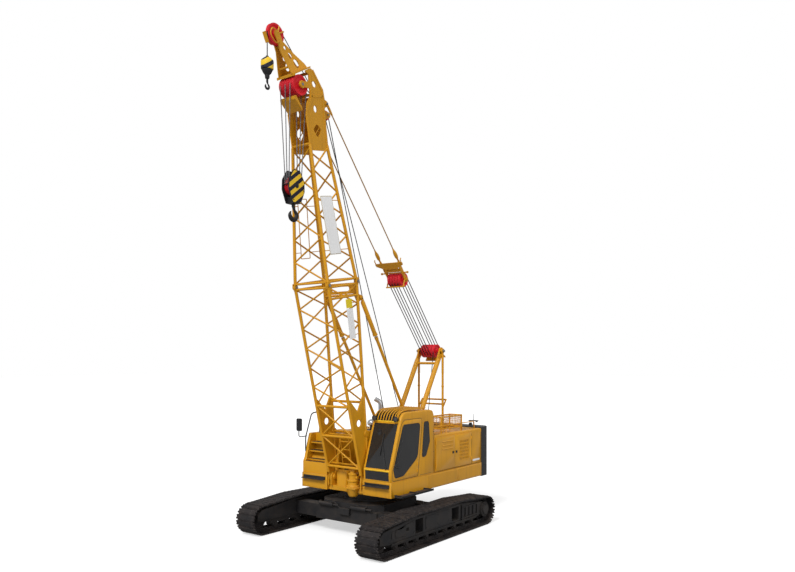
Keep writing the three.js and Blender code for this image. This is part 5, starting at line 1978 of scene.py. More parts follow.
@dataclass
class Boom(SubAssembly):
    """The lattice boom: its two sections, its head, and the short extension at its tip.

    Lengths along the boom are s, across it y, and out of its back d.

    Attributes:
        foot: The boom's foot pin.
        angle: Its angle above the horizon, in degrees.
        base_length: The length of the lower section.
        top_end: Where the upper section's lacing ends.
        base_half_width: Half the width of the lower section.
        head_half_width: Half the width at the head.
        chord: The chords' radius.
        lace: The lacing's radius.
        head_shaft: The s and d of the head sheaves' shaft.
        guide_shaft: Those of the guide sheaves' shaft.
        tip_shaft: Those of the tip sheave's shaft.
        pendant_pin: Those of the pins that hold the pendants.
        backstop_pin: Those of the pins that hold the backstops.
        widening: The s below which the tip's plates spread apart.
        foot_hole: The s of the round hole in the foot plates.
    """

    foot: Point = (1.0, 0.0, 1.65)
    angle: float = 80.0
    base_length: float = 5.670
    top_end: float = 9.450
    base_half_width: float = 0.615
    head_half_width: float = 0.325
    chord: float = 0.045
    lace: float = 0.024
    head_shaft: tuple[float, float] = (11.0, -0.380)
    guide_shaft: tuple[float, float] = (10.33, 0.70)
    tip_shaft: tuple[float, float] = (12.27, -0.840)
    pendant_pin: tuple[float, float] = (10.58, 0.494)
    backstop_pin: tuple[float, float] = (5.20, 0.690)
    widening: float = 11.85
    foot_hole: float = 1.68

    def build(self) -> None:
        """Makes the sections, the head, the extension, the sheaves and the boards."""
        self.lower_section()
        self.upper_section()
        self.head()
        self.tip()
        self.sheaves()
        self.boards()

    def matrix(self) -> Matrix:
        """The move from the boom's own axes to the crane's.

        Returns:
            The matrix.
        """
        c, s = math.cos(math.radians(self.angle)), math.sin(math.radians(self.angle))
        x, y, z = self.foot
        return Matrix(((c, 0, -s, x), (0, 1, 0, y), (s, 0, c, z), (0, 0, 0, 1)))

    def point(self, s: float, y: float, d: float) -> Vector:
        """A place on the boom, in the crane's axes."""
        return self.matrix() @ Vector((s, y, d))

    def point_on(self, shaft: tuple[float, float]) -> Vector:
        """The middle of a shaft across the boom, in the crane's axes."""
        return self.point(shaft[0], 0, shaft[1])

    def half_depth(self, s: float) -> float:
        """Half the boom's depth at s.

        Args:
            s: The place along the boom.

        Returns:
            The half depth.
        """
        if s < self.base_length:
            return 0.150 + 0.460 * s / self.base_length
        return 0.610 - 0.270 * (s - self.base_length) / (self.top_end - self.base_length)

    def half_width(self, s: float) -> float:
        """Half the boom's width at s."""
        share = min(1.0, max(0.0, (s - self.base_length) / (self.top_end - self.base_length)))
        return self.base_half_width + (self.head_half_width - self.base_half_width) * share

    def corner(self, s: float, side: int, face: int) -> Vector:
        """A chord's middle at s; side is left or right, face +1 at the back and -1 at the front."""
        return self.point(s, side * self.half_width(s), face * self.half_depth(s))

    def zigzag(self, start: float, end: float, bays: int) -> list[tuple[Vector, Vector]]:
        """The lacing's middle lines on all four faces.

        Args:
            start: Where the lacing starts.
            end: Where it ends.
            bays: How many bays it has.

        Returns:
            Each lace's two ends.
        """
        step = (end - start) / bays
        lines = []
        for bay in range(bays):
            low, high = start + bay * step, start + (bay + 1) * step
            flip = 1 if bay % 2 == 0 else -1
            for side in (1, -1):
                turn = flip * side
                lines.append((self.corner(low, side, turn), self.corner(high, side, -turn)))
                lines.append((self.corner(low, -turn, side), self.corner(high, turn, side)))
        return lines

    def frame(self, s: float) -> list[tuple[Vector, Vector]]:
        """The four tubes that close a section's end.

        Args:
            s: The place along the boom.

        Returns:
            Each tube's two ends.
        """
        lines = []
        for side in (1, -1):
            lines.append((self.corner(s, side, 1), self.corner(s, side, -1)))
            lines.append((self.corner(s, 1, side), self.corner(s, -1, side)))
        return lines

    def chords(self, start: float, end: float) -> list[tuple[Vector, Vector]]:
        """The four chords between two stations."""
        return [(self.corner(start, a, b), self.corner(end, a, b)) for a in (1, -1)
                for b in (1, -1)]

    def lower_section(self) -> None:
        """Makes the section from the foot to the pinned joint."""
        across = [
            (self.corner(s, 1, face), self.corner(s, -1, face))
            for face, stations in ((-1, (0.390, 1.320, 2.220)), (1, (1.320, 2.220)))
            for s in stations
        ]
        braces = [
            (self.corner(a, side, -1), self.corner(b, -side, -1))
            for a, b in ((0.390, 1.320), (1.320, 2.220)) for side in (1, -1)
        ]
        end = self.base_length - 0.060
        ladder = [
            (self.point(0.42, y, 0.0), self.point(1.30, y, 0.02)) for y in (-0.16, 0.16)
        ] + [(self.point(s, -0.16, 0.0), self.point(s, 0.16, 0.0)) for s in (0.62, 0.86, 1.10)]
        shelf = [(self.point(0.42, -0.60, 0.0), self.point(0.42, 0.60, 0.0)),
                 (self.point(1.30, -0.60, 0.02), self.point(1.30, 0.60, 0.02))]
        tube_set = joined(
            "lower_section_tubes",
            tubes("lower_chords", self.chords(0.200, self.base_length - 0.02), self.chord,
                  BOOM_YELLOW, 24),
            tubes("foot_cross_tubes", across, 0.038, BOOM_YELLOW, 20),
            tubes("lower_lacing", self.zigzag(2.220, end, 6) + braces, self.lace, BOOM_YELLOW, 14),
            tubes("lower_end_frame", self.frame(end) + self.frame(5.29)[:2], 0.032, BOOM_YELLOW,
                  16),
            tubes("foot_ladder", ladder, 0.016, BOOM_YELLOW, 10),
            tubes("foot_shelf", shelf, 0.028, BOOM_YELLOW, 14),
        )
        add(tube_set, "boom", replaces=["boom_base"])
        add(self.foot_plates(), "boom", BOOM_YELLOW)
        add(self.portal(), "boom", BOOM_YELLOW)
        add(self.knuckles(), "boom", BOOM_YELLOW)
        add(self.joint_pins(), "boom", PIN_STEEL)

    def foot_plates(self) -> bpy.types.Object:
        """The two forked plates that carry the foot pins.

        Returns:
            The plates.
        """
        depth = self.half_depth(2.45)
        outline = arc((0, 0), 0.140, 110, 250, 16)
        outline += [(2.45, -depth), (2.38, -depth + 0.08), (2.02, 0.0), (2.38, depth - 0.08),
                    (2.45, depth)]
        hole = oval((self.foot_hole, 0), 0.105, 0.105, 36)
        bore = oval((0, 0), 0.064, 0.064, 32)
        shape = Shape()
        shape.prism(outline, 0.590, 0.640, holes=[hole, bore])
        rim = oval((self.foot_hole, 0), 0.107, 0.107, 36)
        shape.tube([(s, self.base_half_width, d) for s, d in rim], 0.012, 8, ring=True)
        shape.lathe(
            [(0.0645, -0.030), (0.110, -0.030), (0.116, -0.024), (0.116, 0.024), (0.110, 0.030),
             (0.0645, 0.030)],
            (0, self.base_half_width, 0), Axis.Y, 40, closed=True,
        )
        boss = [(0, -0.05), (0.085, -0.05), (0.092, -0.04), (0.092, 0.045), (0.085, 0.055),
                (0, 0.055)]
        shape.lathe(boss, (1.32, self.base_half_width, self.half_depth(1.32)), Axis.Y, 28)
        return shape.both_sides().place(self.matrix()).made("foot_plates", 0.004)

    def portal(self) -> bpy.types.Object:
        """The plate at the lower section's upper back edge, with its slot and legs.

        Returns:
            The plate with its lugs.
        """
        shape = Shape()
        d = self.half_depth(5.45)
        width = self.base_half_width
        outline = rectangle((5.33, -width), (5.61, width), 0.03, 4)
        slot = rectangle((5.41, -0.33), (5.54, 0.33), 0.06, 6)
        shape.prism(outline, d - 0.008, d + 0.008, Plane.XY, [slot])
        for side in (LEFT, RIGHT):
            leg = [(5.33, side * width), (5.33, side * (width - 0.16)),
                   (5.08, side * (width - 0.06)),
                   (4.95, side * width)]
            shape.prism(leg, d - 0.008, d + 0.008, Plane.XY)
        lug = [(5.07, self.half_depth(5.2) - 0.03), (5.14, 0.740), (5.26, 0.740),
               (5.33, self.half_depth(5.2) - 0.03)]
        lug = rounded(lug, [0.0, 0.05, 0.05, 0.0], 6)
        hole = oval(self.backstop_pin, 0.032, 0.032, 20)
        ears = Shape()
        ears.prism(lug, 0.590, 0.610, holes=[hole]).prism(lug, 0.622, 0.640, holes=[hole])
        shape.include(ears.both_sides())
        ring = [(0.034, -0.045), (0.066, -0.045), (0.072, -0.036), (0.072, 0.006), (0.066, 0.012),
                (0.034, 0.012)]
        collar = Shape()
        collar.lathe(ring, (self.backstop_pin[0], 0.628, self.backstop_pin[1]), Axis.Y, 28,
                     closed=True)
        shape.include(collar.both_sides())
        return shape.place(self.matrix()).made("portal_plate", 0.003)

    def knuckles(self) -> bpy.types.Object:
        """The forks and eyes that pin the two sections together.

        Returns:
            The forks and eyes.
        """
        shape = Shape()
        joint = self.base_length
        for side in (LEFT, RIGHT):
            for face in (1, -1):
                y, d = side * self.half_width(joint), face * self.half_depth(joint)
                eye = arc((joint, d), 0.066, -90, 90, 12)
                eye += [(joint - 0.10, d + 0.05), (joint - 0.10, d - 0.05)]
                shape.prism(eye, y - 0.020, y + 0.020)
                fork = arc((joint, d), 0.066, 90, 270, 12)
                fork += [(joint + 0.11, d - 0.05), (joint + 0.11, d + 0.05)]
                shape.prism(fork, y - 0.050, y - 0.023).prism(fork, y + 0.023, y + 0.050)
        return shape.place(self.matrix()).made("joint_knuckles", 0.004)

    def joint_pins(self) -> bpy.types.Object:
        """The pins through the knuckles.

        Returns:
            The pins.
        """
        shape = Shape()
        joint = self.base_length
        for side in (LEFT, RIGHT):
            for face in (1, -1):
                centre = (joint, side * self.half_width(joint), face * self.half_depth(joint))
                profile = [(0, -0.075), (0.030, -0.075), (0.034, -0.068), (0.034, 0.062),
                           (0.042, 0.064),
                           (0.042, 0.078), (0, 0.078)]
                shape.lathe(profile, centre, Axis.Y, 20)
        return shape.place(self.matrix()).made("joint_pins", 0.0)

    def upper_section(self) -> None:
        """Makes the tapered section from the joint to the head."""
        start = self.base_length + 0.060
        tube_set = joined(
            "upper_section_tubes",
            tubes("upper_chords", self.chords(self.base_length + 0.08, self.top_end), self.chord,
                  BOOM_YELLOW, 24),
            tubes("upper_end_frame", self.frame(start + 0.03), 0.032, BOOM_YELLOW, 16),
            tubes("upper_lacing", self.zigzag(start + 0.03, self.top_end - 0.060, 6), self.lace,
                  BOOM_YELLOW, 14),
        )
        add(tube_set, "boom", replaces=["boom_top"])

    def head(self) -> None:
        """Makes the head's side plates, cross plates, ties and lugs."""
        inner, outer = 0.310, 0.340
        outline = [(9.3, -0.360), (10.22, -0.365), (10.50, -0.30), (10.74, -0.13), (10.93, -0.11),
                   (10.93, -0.46),
                   (11.00, -0.49), (11.08, -0.45), (11.10, -0.11), (11.30, -0.09), (11.36, -0.24),
                   (11.48, 0.030),
                   (10.95, 0.430), (10.62, 0.455), (10.38, 0.400), (9.3, 0.360)]
        outline = rounded(outline,
                          [0, 0.4, 0.3, 0.2, 0.03, 0.05, 0.05, 0.05, 0.03, 0.05, 0.05, 0.10, 0.12,
                           0.3, 0.2, 0],
                          8)
        top_hole = rounded([(10.99, 0.03), (11.10, 0.00), (11.14, 0.10), (11.04, 0.17),
                            (10.96, 0.12)], [0.04], 6)
        small = oval((10.40, 0.02), 0.095, 0.065, 32)
        diamond = rounded([(9.62, 0.0), (9.85, -0.16), (10.02, 0.02), (9.85, 0.17)], [0.08], 8)
        shape = Shape()
        shape.prism(outline, inner, outer, holes=[diamond, small, top_hole])
        shape.tube([(9.70, 0.30, -0.09), (9.90, 0.30, 0.11)], 0.014, 10)
        for strip in (
            [(9.30, -0.36), (9.30, -0.30), (10.30, -0.30), (10.62, -0.06), (11.28, 0.0),
             (11.28, -0.05), (10.66, -0.12),
             (10.34, -0.36)],
            [(9.30, 0.36), (9.30, 0.29), (10.40, 0.32), (10.90, 0.35), (11.40, 0.06), (11.44, 0.10),
             (10.93, 0.42),
             (10.38, 0.39)],
            [(10.70, -0.08), (10.76, -0.06), (10.80, 0.36), (10.74, 0.36)],
        ):
            shape.prism(strip, outer - 0.001, outer + 0.010)
        lug = rounded([(10.43, 0.35), (10.52, 0.554), (10.64, 0.554), (10.73, 0.35)],
                      [0, 0.05, 0.05, 0], 6)
        shape.prism(lug, inner + 0.002, outer - 0.002,
                    holes=[oval(self.pendant_pin, 0.030, 0.030, 20)])
        guide = rounded([(10.11, 0.33), (10.27, 0.80), (10.39, 0.80), (10.49, 0.33)],
                        [0, 0.05, 0.05, 0], 6)
        shape.prism(guide, 0.150, 0.175)
        shape.tube([(10.21, 0.160, 0.365), (10.21, 0.315, 0.365)], 0.040, 18)
        shape.tube([(10.42, 0.160, 0.365), (10.42, 0.315, 0.365)], 0.030, 18)
        hub = [(0.041, -0.02), (0.095, -0.02), (0.10, -0.012), (0.10, 0.02), (0.088, 0.032),
               (0.041, 0.032)]
        shape.lathe(hub, (self.head_shaft[0], outer - 0.016, self.head_shaft[1]), Axis.Y, 32,
                    closed=True)
        shape.both_sides()
        shape.box((9.42, -0.315, 0.328), (10.15, 0.315, 0.352))
        for s, d, radius in ((9.48, -0.30, 0.040), (10.15, 0.0, 0.050), (10.78, 0.33, 0.045),
                             (10.78, -0.04, 0.035),
                             (11.33, -0.06, 0.040)):
            shape.across(s, d, 0.315, radius)
        shape.prism([(10.34, -0.415), (10.42, -0.418), (10.72, -0.60), (10.70, -0.66),
                     (10.62, -0.66)], -0.27, 0.27)
        add(shape.place(self.matrix()).made("head_plates", 0.004), "boom", BOOM_YELLOW)
        pins = Shape()
        pins.pin(*self.head_shaft, 0.040, 0.312, 0.362)
        pins.pin(*self.pendant_pin, 0.028, 0.312, 0.392)
        pins.pin(*self.guide_shaft, 0.028, 0.151, 0.200)
        add(pins.place(self.matrix()).made("head_pins", 0.003), "boom", PIN_STEEL)

    def spread(self, s: float) -> float:
        """How far the tip plates stand from the middle at s."""
        return 0.062 + 0.163 * max(0.0, (self.widening - s) / 0.59)

    def tip(self) -> None:
        """Makes the short extension that carries the tip sheave."""
        low = [(11.26, -0.640), (11.42, -0.690), (12.04, -0.845), (12.22, -0.925)]
        outline = low + arc(self.tip_shaft, 0.095, -110, 60, 14)
        outline += [(12.10, -0.665), (11.92, -0.40), (11.62, 0.0), (11.53, 0.060)]
        holes = [oval((11.57, -0.330), 0.120, 0.100, 32), oval((11.76, -0.480), 0.085, 0.072, 28),
                 oval((11.94, -0.620), 0.060, 0.050, 24)]
        plate = Shape()
        plate.prism(outline, 0.0, 0.028, holes=holes)
        bmesh.ops.bisect_plane(
            plate.mesh, geom=[*plate.mesh.verts, *plate.mesh.edges, *plate.mesh.faces],
            plane_co=(self.widening, 0, 0), plane_no=(1, 0, 0),
        )
        for vert in plate.mesh.verts:
            vert.co.y += self.spread(vert.co.x)
        loop = bend_path([(12.06, 0.098, -0.80), (12.02, 0.098, -0.95), (12.22, 0.098, -1.11),
                          (12.40, 0.098, -1.02),
                          (12.36, 0.098, -0.90)], 0.10)
        plate.tube(loop, 0.017, 12)
        plate.tube([(12.30, 0.075, -0.80), (12.47, 0.075, -0.72)], 0.022, 12)
        plate.tube([(12.28, 0.075, -0.78), (12.36, 0.075, -0.58)], 0.020, 12)
        plate.both_sides()
        plate.across(12.36, -0.58, 0.075, 0.014, 10)
        plate.prism([(12.02, -1.16), (12.28, -1.235), (12.285, -1.215), (12.025, -1.14)], -0.055,
                    0.055)
        plate.tube([(12.15, -0.05, -1.19), (12.15, -0.05, -1.10)], 0.012, 8)
        plate.prism([(11.205, -0.613), (11.24, -0.60), (11.48, 0.03), (11.515, 0.017), (11.50, 0.0),
                     (11.275, -0.617)],
                    -0.338, 0.338)
        for s, d in ((11.56, -0.06), (11.45, -0.64), (11.95, -0.73)):
            plate.across(s, d, self.spread(s) + 0.01, 0.030, 16)
        obj = plate.place(self.matrix()).made("tip_extension", 0.003)
        add(obj, "boom", BOOM_YELLOW, ["boom_tip_extension"])

    def sheaves(self) -> None:
        """Makes the head, guide and tip sheaves."""
        head = SheaveRow(0.270, 6, 0.092, 0.3085)
        guide = SheaveRow(0.130, 2, 0.120, 0.148, 0.030)
        tip = SheaveRow(0.280, 1, 0.110, 0.060)
        for node, title, row, shaft, steps in (
            ("head_sheaves", "head_sheave_row", head, self.head_shaft, 64),
            ("guide_sheaves", "guide_sheave_row", guide, self.guide_shaft, 48),
            ("tip_sheave", "tip_sheave_wheel", tip, self.tip_shaft, 64),
        ):
            obj = row.built(title, self.point_on(shaft), steps)
            add(obj, node, replaces=[node])

    def boards(self) -> None:
        """Hangs the blank boards on the sections' left faces."""
        top, low = self.half_width(8.0) + 0.062, self.half_width(6.5) + 0.062
        for name, grow, rise, finish in (("board_frame", 0.022, 0.0, BOARD_EDGE),
                                         ("board_face", 0.0, 0.006, BOARD_WHITE)):
            plate = Shape()
            outline = rectangle((6.50 - grow, -0.345 - grow), (8.05 + grow, 0.075 + grow), 0.03, 4)
            plate.prism(outline, -0.008 + rise, rise)
            for vert in plate.mesh.verts:
                vert.co.y += low + (top - low) * (vert.co.x - 6.5) / 1.5
            add(plate.place(self.matrix()).made(f"upper_{name}", 0.002), "boom", finish)
        y = self.base_half_width + 0.060
        for name, start, end, finish in (("board", 4.10, 4.95, BOARD_WHITE),
                                         ("sign", 4.97, 5.22, BOARD_YELLOW)):
            small = Shape().prism(rectangle((start, -0.02), (end, 0.24), 0.02, 3), y - 0.008, y)
            add(small.place(self.matrix()).made(f"lower_{name}", 0.002), "boom", finish)
        loop = Shape()
        edge = rectangle((6.45, -0.22), (8.10, 0.14), 0.02, 3)
        loop.tube([(s, -self.half_width(s) - 0.060, d) for s, d in edge], 0.012, 10, ring=True)
        for s in (6.62, 7.9):
            for d, face in ((-0.22, -1), (0.14, 1)):
                loop.tube([(s, -self.half_width(s) - 0.058, d),
                           (s, -self.half_width(s) - 0.01, face * self.half_depth(s) * 0.98)],
                           0.010, 8)
        add(loop.place(self.matrix()).made("far_board_frame"), "boom", BOOM_YELLOW)
        brackets = Shape()
        for s, d in ((6.6, 0.09), (7.95, 0.09), (6.6, -0.35), (7.95, -0.35), (4.2, 0.2),
                     (5.1, 0.2)):
            width = self.half_width(s) + 0.055
            edge = math.copysign(self.half_depth(s), d)
            brackets.tube([(s, width, d), (s, width - 0.055, edge * 0.97)], 0.011, 8)
        add(brackets.place(self.matrix()).made("board_brackets"), "boom", BOOM_YELLOW)


# ---------------------------------------------------------------- gantry and luffing gear


def slanted(origin: Point, angle: float) -> Matrix:
    """The move to the crane's axes from those at origin whose +X rises at an angle in degrees."""
    c, s = math.cos(math.radians(angle)), math.sin(math.radians(angle))
    return Matrix(((c, 0, -s, origin[0]), (0, 1, 0, origin[1]), (s, 0, c, origin[2]), (0, 0, 0, 1)))


@dataclass
class Gantry(SubAssembly):
    """The A-shaped frame that holds the fixed luffing sheaves.

    Attributes:
        head: The shaft at its top.
        foot: The pin of its front legs.
        leg_y: How far the front legs stand from the middle.
        rear_y: How far the rear legs stand from the middle.
    """

    head: Point = GANTRY_SHAFT
    foot: Point = (-1.220, 0.0, 1.950)
    leg_y: float = 0.420
    rear_y: float = 0.485

    def build(self) -> None:
        """Makes the front legs, the rear legs and the sheaves."""
        add(self.front_legs(), "upper", BOOM_YELLOW, ["gantry_front_legs"])
        add(self.rear_legs(), "upper", BOOM_YELLOW, ["gantry_rear_legs"])
        pins = Shape()
        pins.pin(self.head[0], self.head[2], 0.042, 0.446, 0.560)
        pins.pin(self.foot[0], self.foot[2], 0.045, 0.360, 0.546)
        add(pins.made("gantry_pins", 0.004), "upper", PIN_STEEL)
        row = SheaveRow(0.220, 5, 0.112, 0.3935).built("gantry_sheave_row", self.head)
        add(row, "gantry_sheaves", replaces=["gantry_sheaves"])

    def front_legs(self) -> bpy.types.Object:
        """The two raking legs, with their cheeks, feet and ties.

        Returns:
            The legs.
        """
        head, foot = Vector(self.head), Vector(self.foot)
        along = (foot - head).normalized()
        shape = Shape()
        aside = Vector((0, self.leg_y, 0))
        shape.tube([foot + aside, head + along * 0.33 + aside], 0.080, 28)
        side = Vector((-along.z, 0, along.x))
        wide, low = head + along * 0.05, head + along * 0.52
        corners = [wide + side * 0.105, low + side * 0.062, low - side * 0.062, wide - side * 0.105]
        shape.prism([(c.x, c.z) for c in corners], 0.395, 0.445)
        for centre, radius, y0, y1 in ((head, 0.120, 0.395, 0.445), (foot, 0.095, 0.360, 0.480),
                                       (foot, 0.060, 0.470, 0.5445)):
            shape.disc((centre.x, 0, centre.z), radius, y0, y1)
        shape.both_sides()
        for share, radius in ((0.12, 0.040), (0.55, 0.036), (0.78, 0.066)):
            middle = head.lerp(foot, share)
            shape.across(middle.x, middle.z, self.leg_y, radius)
        low = head.lerp(foot, 0.78)
        ahead = low + Vector((0.24, 0, 0.20))
        for y in (-self.leg_y, 0.0, self.leg_y):
            shape.tube([(low.x, y, low.z), (ahead.x, y, ahead.z)], 0.034, 18)
        shape.across(ahead.x, ahead.z, 0.50, 0.036)
        front = head + along * 0.06 - side * 0.30
        guard = [front + along * a + side * b
                 for a, b in ((-0.16, 0.0), (0.16, 0.0), (0.16, 0.022), (-0.16, 0.022))]
        shape.prism([(c.x, c.z) for c in guard], -0.30, 0.30)
        end = front + side * 0.14
        arm = [(front.x - 0.03, front.z - 0.02), (end.x, end.z - 0.04), (end.x, end.z + 0.04),
               (front.x - 0.03, front.z + 0.03)]
        for y in (LEFT, RIGHT):
            shape.prism(arm, *sorted((y * 0.40, y * 0.43)))
        return shape.made("gantry_legs_front", 0.004)

    def rear_legs(self) -> bpy.types.Object:
        """The two upright legs with their struts, and the pipe across them.

        Returns:
            The legs.
        """
        x, y, top = self.head[0], self.rear_y, self.head[2]
        shape = Shape()
        shape.tube([(x, y, 1.4005), (x, y, top - 0.06)], 0.038, 24)
        shape.disc((x, 0, top), 0.080, 0.4455, 0.505)
        shape.prism([(x - 0.03, top - 0.16), (x + 0.03, top - 0.16), (x + 0.03, top),
                     (x - 0.03, top)], 0.4455, 0.505)
        foot = rounded([(x - 0.06, 1.4005), (x + 0.06, 1.4005), (x + 0.05, 1.49), (x - 0.05, 1.49)],
                       [0, 0, 0.02, 0.02])
        shape.prism(foot, y - 0.04, y + 0.04)
        shape.tube([(x, y, 3.47), (x - 0.22, y, 3.76)], 0.026, 16)
        for z, radius in ((2.6, 0.050), (4.2, 0.048)):
            shape.disc((x, y, z), radius, -0.02, 0.02, Axis.Z)
        shape.both_sides()
        shape.across(x - 0.22, 3.74, y, 0.030, 18)
        shape.across(x, 3.6, y, 0.030, 18)
        return shape.made("gantry_legs_rear", 0.003)


@dataclass
class LuffingGear(SubAssembly):
    """The moving sheave block, its spreader, the pendants and the luffing rope's falls.

    Attributes:
        origin: The gantry's shaft.
        angle: The stay's angle above the horizon, in degrees.
        block: How far up the stay the block's sheaves are.
        length: How far up the stay the boom's pendant pin is.
        socket: How far up the stay the pendants' lower pins are.
        pendant_y: How far the pendants stand from the middle.
        fall: How far the falls run from the sheaves' middles.
        fall_pitch: The distance between neighbouring falls.
    """

    origin: Point = GANTRY_SHAFT
    angle: float = 50.351
    block: float = 2.936
    length: float = 8.7978
    socket: float = 3.52
    pendant_y: float = 0.3525
    fall: float = 0.2123
    fall_pitch: float = 0.108

    def build(self) -> None:
        """Makes the block, the pendants, the sheaves and the falls."""
        self.move = slanted(self.origin, self.angle)
        add(self.block_frame(), "equalizer", BOOM_YELLOW, ["equalizer"])
        add(self.rods(), "equalizer", BOOM_YELLOW)
        for side in (LEFT, RIGHT):
            self.pendant(side)
        centre = self.move @ Vector((self.block, 0, 0))
        row = SheaveRow(0.220, 5, 0.104, 0.2985).built("block_sheave_row", centre)
        add(row, "equalizer_sheaves", replaces=["equalizer_sheaves"])
        self.falls()

    def block_frame(self) -> bpy.types.Object:
        """The side plates, beams and wide spreader plate.

        Returns:
            The frame.
        """
        plate = arc((self.block, 0), 0.085, 50, 310, 20)
        plate += [(3.10, -0.045), (3.30, -0.060), (3.56, -0.050), (3.58, 0.0)]
        plate += [(3.56, 0.050), (3.30, 0.060), (3.10, 0.045)]
        shape = Shape()
        shape.prism(plate, 0.300, 0.3395)
        shape.disc((self.block, 0, 0), 0.062, 0.338, 0.372)
        strap = bend_path([(2.96, 0.322, -0.06), (2.90, 0.322, -0.17), (2.83, 0.322, -0.245)], 0.08)
        shape.tube(strap, 0.020, 12)
        shape.both_sides()
        for s in (3.29, 3.48):
            shape.across(s, 0, 0.31, 0.055, 24)
        shape.across(2.83, -0.245, 0.36, 0.022, 14)
        wide = [(3.39, -0.22), (3.52, -0.52), (3.60, -0.53), (3.625, -0.50), (3.625, 0.50),
                (3.60, 0.53), (3.52, 0.52),
                (3.39, 0.22)]
        shape.prism(rounded(wide, [0.015], 3), -0.080, -0.062, Plane.XY)
        for side in (LEFT, RIGHT):
            prong = bend_path([(3.58, side * 0.49, -0.071), (3.70, side * 0.50, -0.071),
                               (3.74, side * 0.515, -0.02)], 0.04)
            shape.tube(prong, 0.017, 12)
            rib = [(3.30, -0.063), (3.56, -0.063), (3.50, -0.02), (3.34, -0.02)]
            shape.prism(rib, *sorted((side * 0.25, side * 0.2)))
        return shape.place(self.move).made("block_frame", 0.003)

    def rods(self) -> bpy.types.Object:
        """The rod across the block with its knobs, and the sheave shaft's ends.

        Returns:
            The rods.
        """
        shape = Shape()
        knob = [(0, -0.535), (0.028, -0.53), (0.038, -0.50), (0.028, -0.47), (0.020, -0.465)]
        shape.lathe(there_and_back(knob), (3.195, 0, 0), Axis.Y, 20)
        shape.pin(self.block, 0, 0.036, 0.300, 0.395)
        shape.pin(self.socket, 0, 0.026, 0.335, 0.385)
        return shape.place(self.move).made("block_rods", 0.003)

    def pendant(self, side: int) -> None:
        """One pendant: its eyes and sockets, and the rope between them.

        Args:
            side: Left or right.
        """
        name = SIDE_NAMES[side]
        y = self.pendant_y
        ends = Shape()
        for s, way in ((self.socket, 1), (self.length, -1)):
            ends.disc((s, y, 0), 0.050, -0.012, 0.012)
            jaw = [(s, -0.045), (s + way * 0.12, -0.040), (s + way * 0.12, 0.040), (s, 0.045)]
            ends.prism(jaw, y - 0.012, y + 0.012)
            socket = [(0, 0.08), (0.034, 0.08), (0.036, 0.12), (0.030, 0.30), (0.022, 0.36),
                      (0, 0.36)]
            if way > 0:
                socket = [(0, 0.08), (0.024, 0.08), (0.028, 0.18), (0.052, 0.25), (0.057, 0.33),
                          (0.052, 0.41),
                          (0.028, 0.50), (0.021, 0.56), (0, 0.56)]
            ends.lathe([(r, way * p) for r, p in socket], (s, y, 0), Axis.X, 20)
        add(ends.on_side(side).place(self.move).made(f"pendant_sockets_{name}", 0.003), "equalizer",
            BOOM_YELLOW)
        points = [self.move @ Vector((s, side * y, 0)) for s in (3.86, 8.46)]
        line = rope(f"pendant_rope_{name}", points, 0.017, PENDANT, 12)
        add(line, "equalizer", replaces=[f"pendant_{name}"])

    def falls(self) -> None:
        """The luffing rope's falls, and the lead rope down to its drum."""
        lines = [(y * self.fall_pitch, -self.fall) for y in (-2, -1, 0, 1)]
        lines += [(y * self.fall_pitch, self.fall) for y in (-1, 0, 1, 2)]
        parts = []
        for i, (y, z) in enumerate(lines):
            points = [self.move @ Vector((s, y, z)) for s in (0.0, self.block)]
            parts.append(rope(f"fall_{i}", points, 0.014, DARK_ROPE, 8))
        falls = joined("luffing_falls_rope", *parts)
        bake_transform(falls)
        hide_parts("luffing_rope")
        LOG.info("luffing falls stretch between the gantry and the block")
        top = (self.origin[0] + self.fall, 0.252, self.origin[2])
        drum = DRUMS["luffing"]
        low = (drum.x + drum.core + 0.016, 0.12, drum.z)
        lead = rope("luffing_lead_rope", [top, low], 0.012, DARK_ROPE)
        add(lead, "upper")


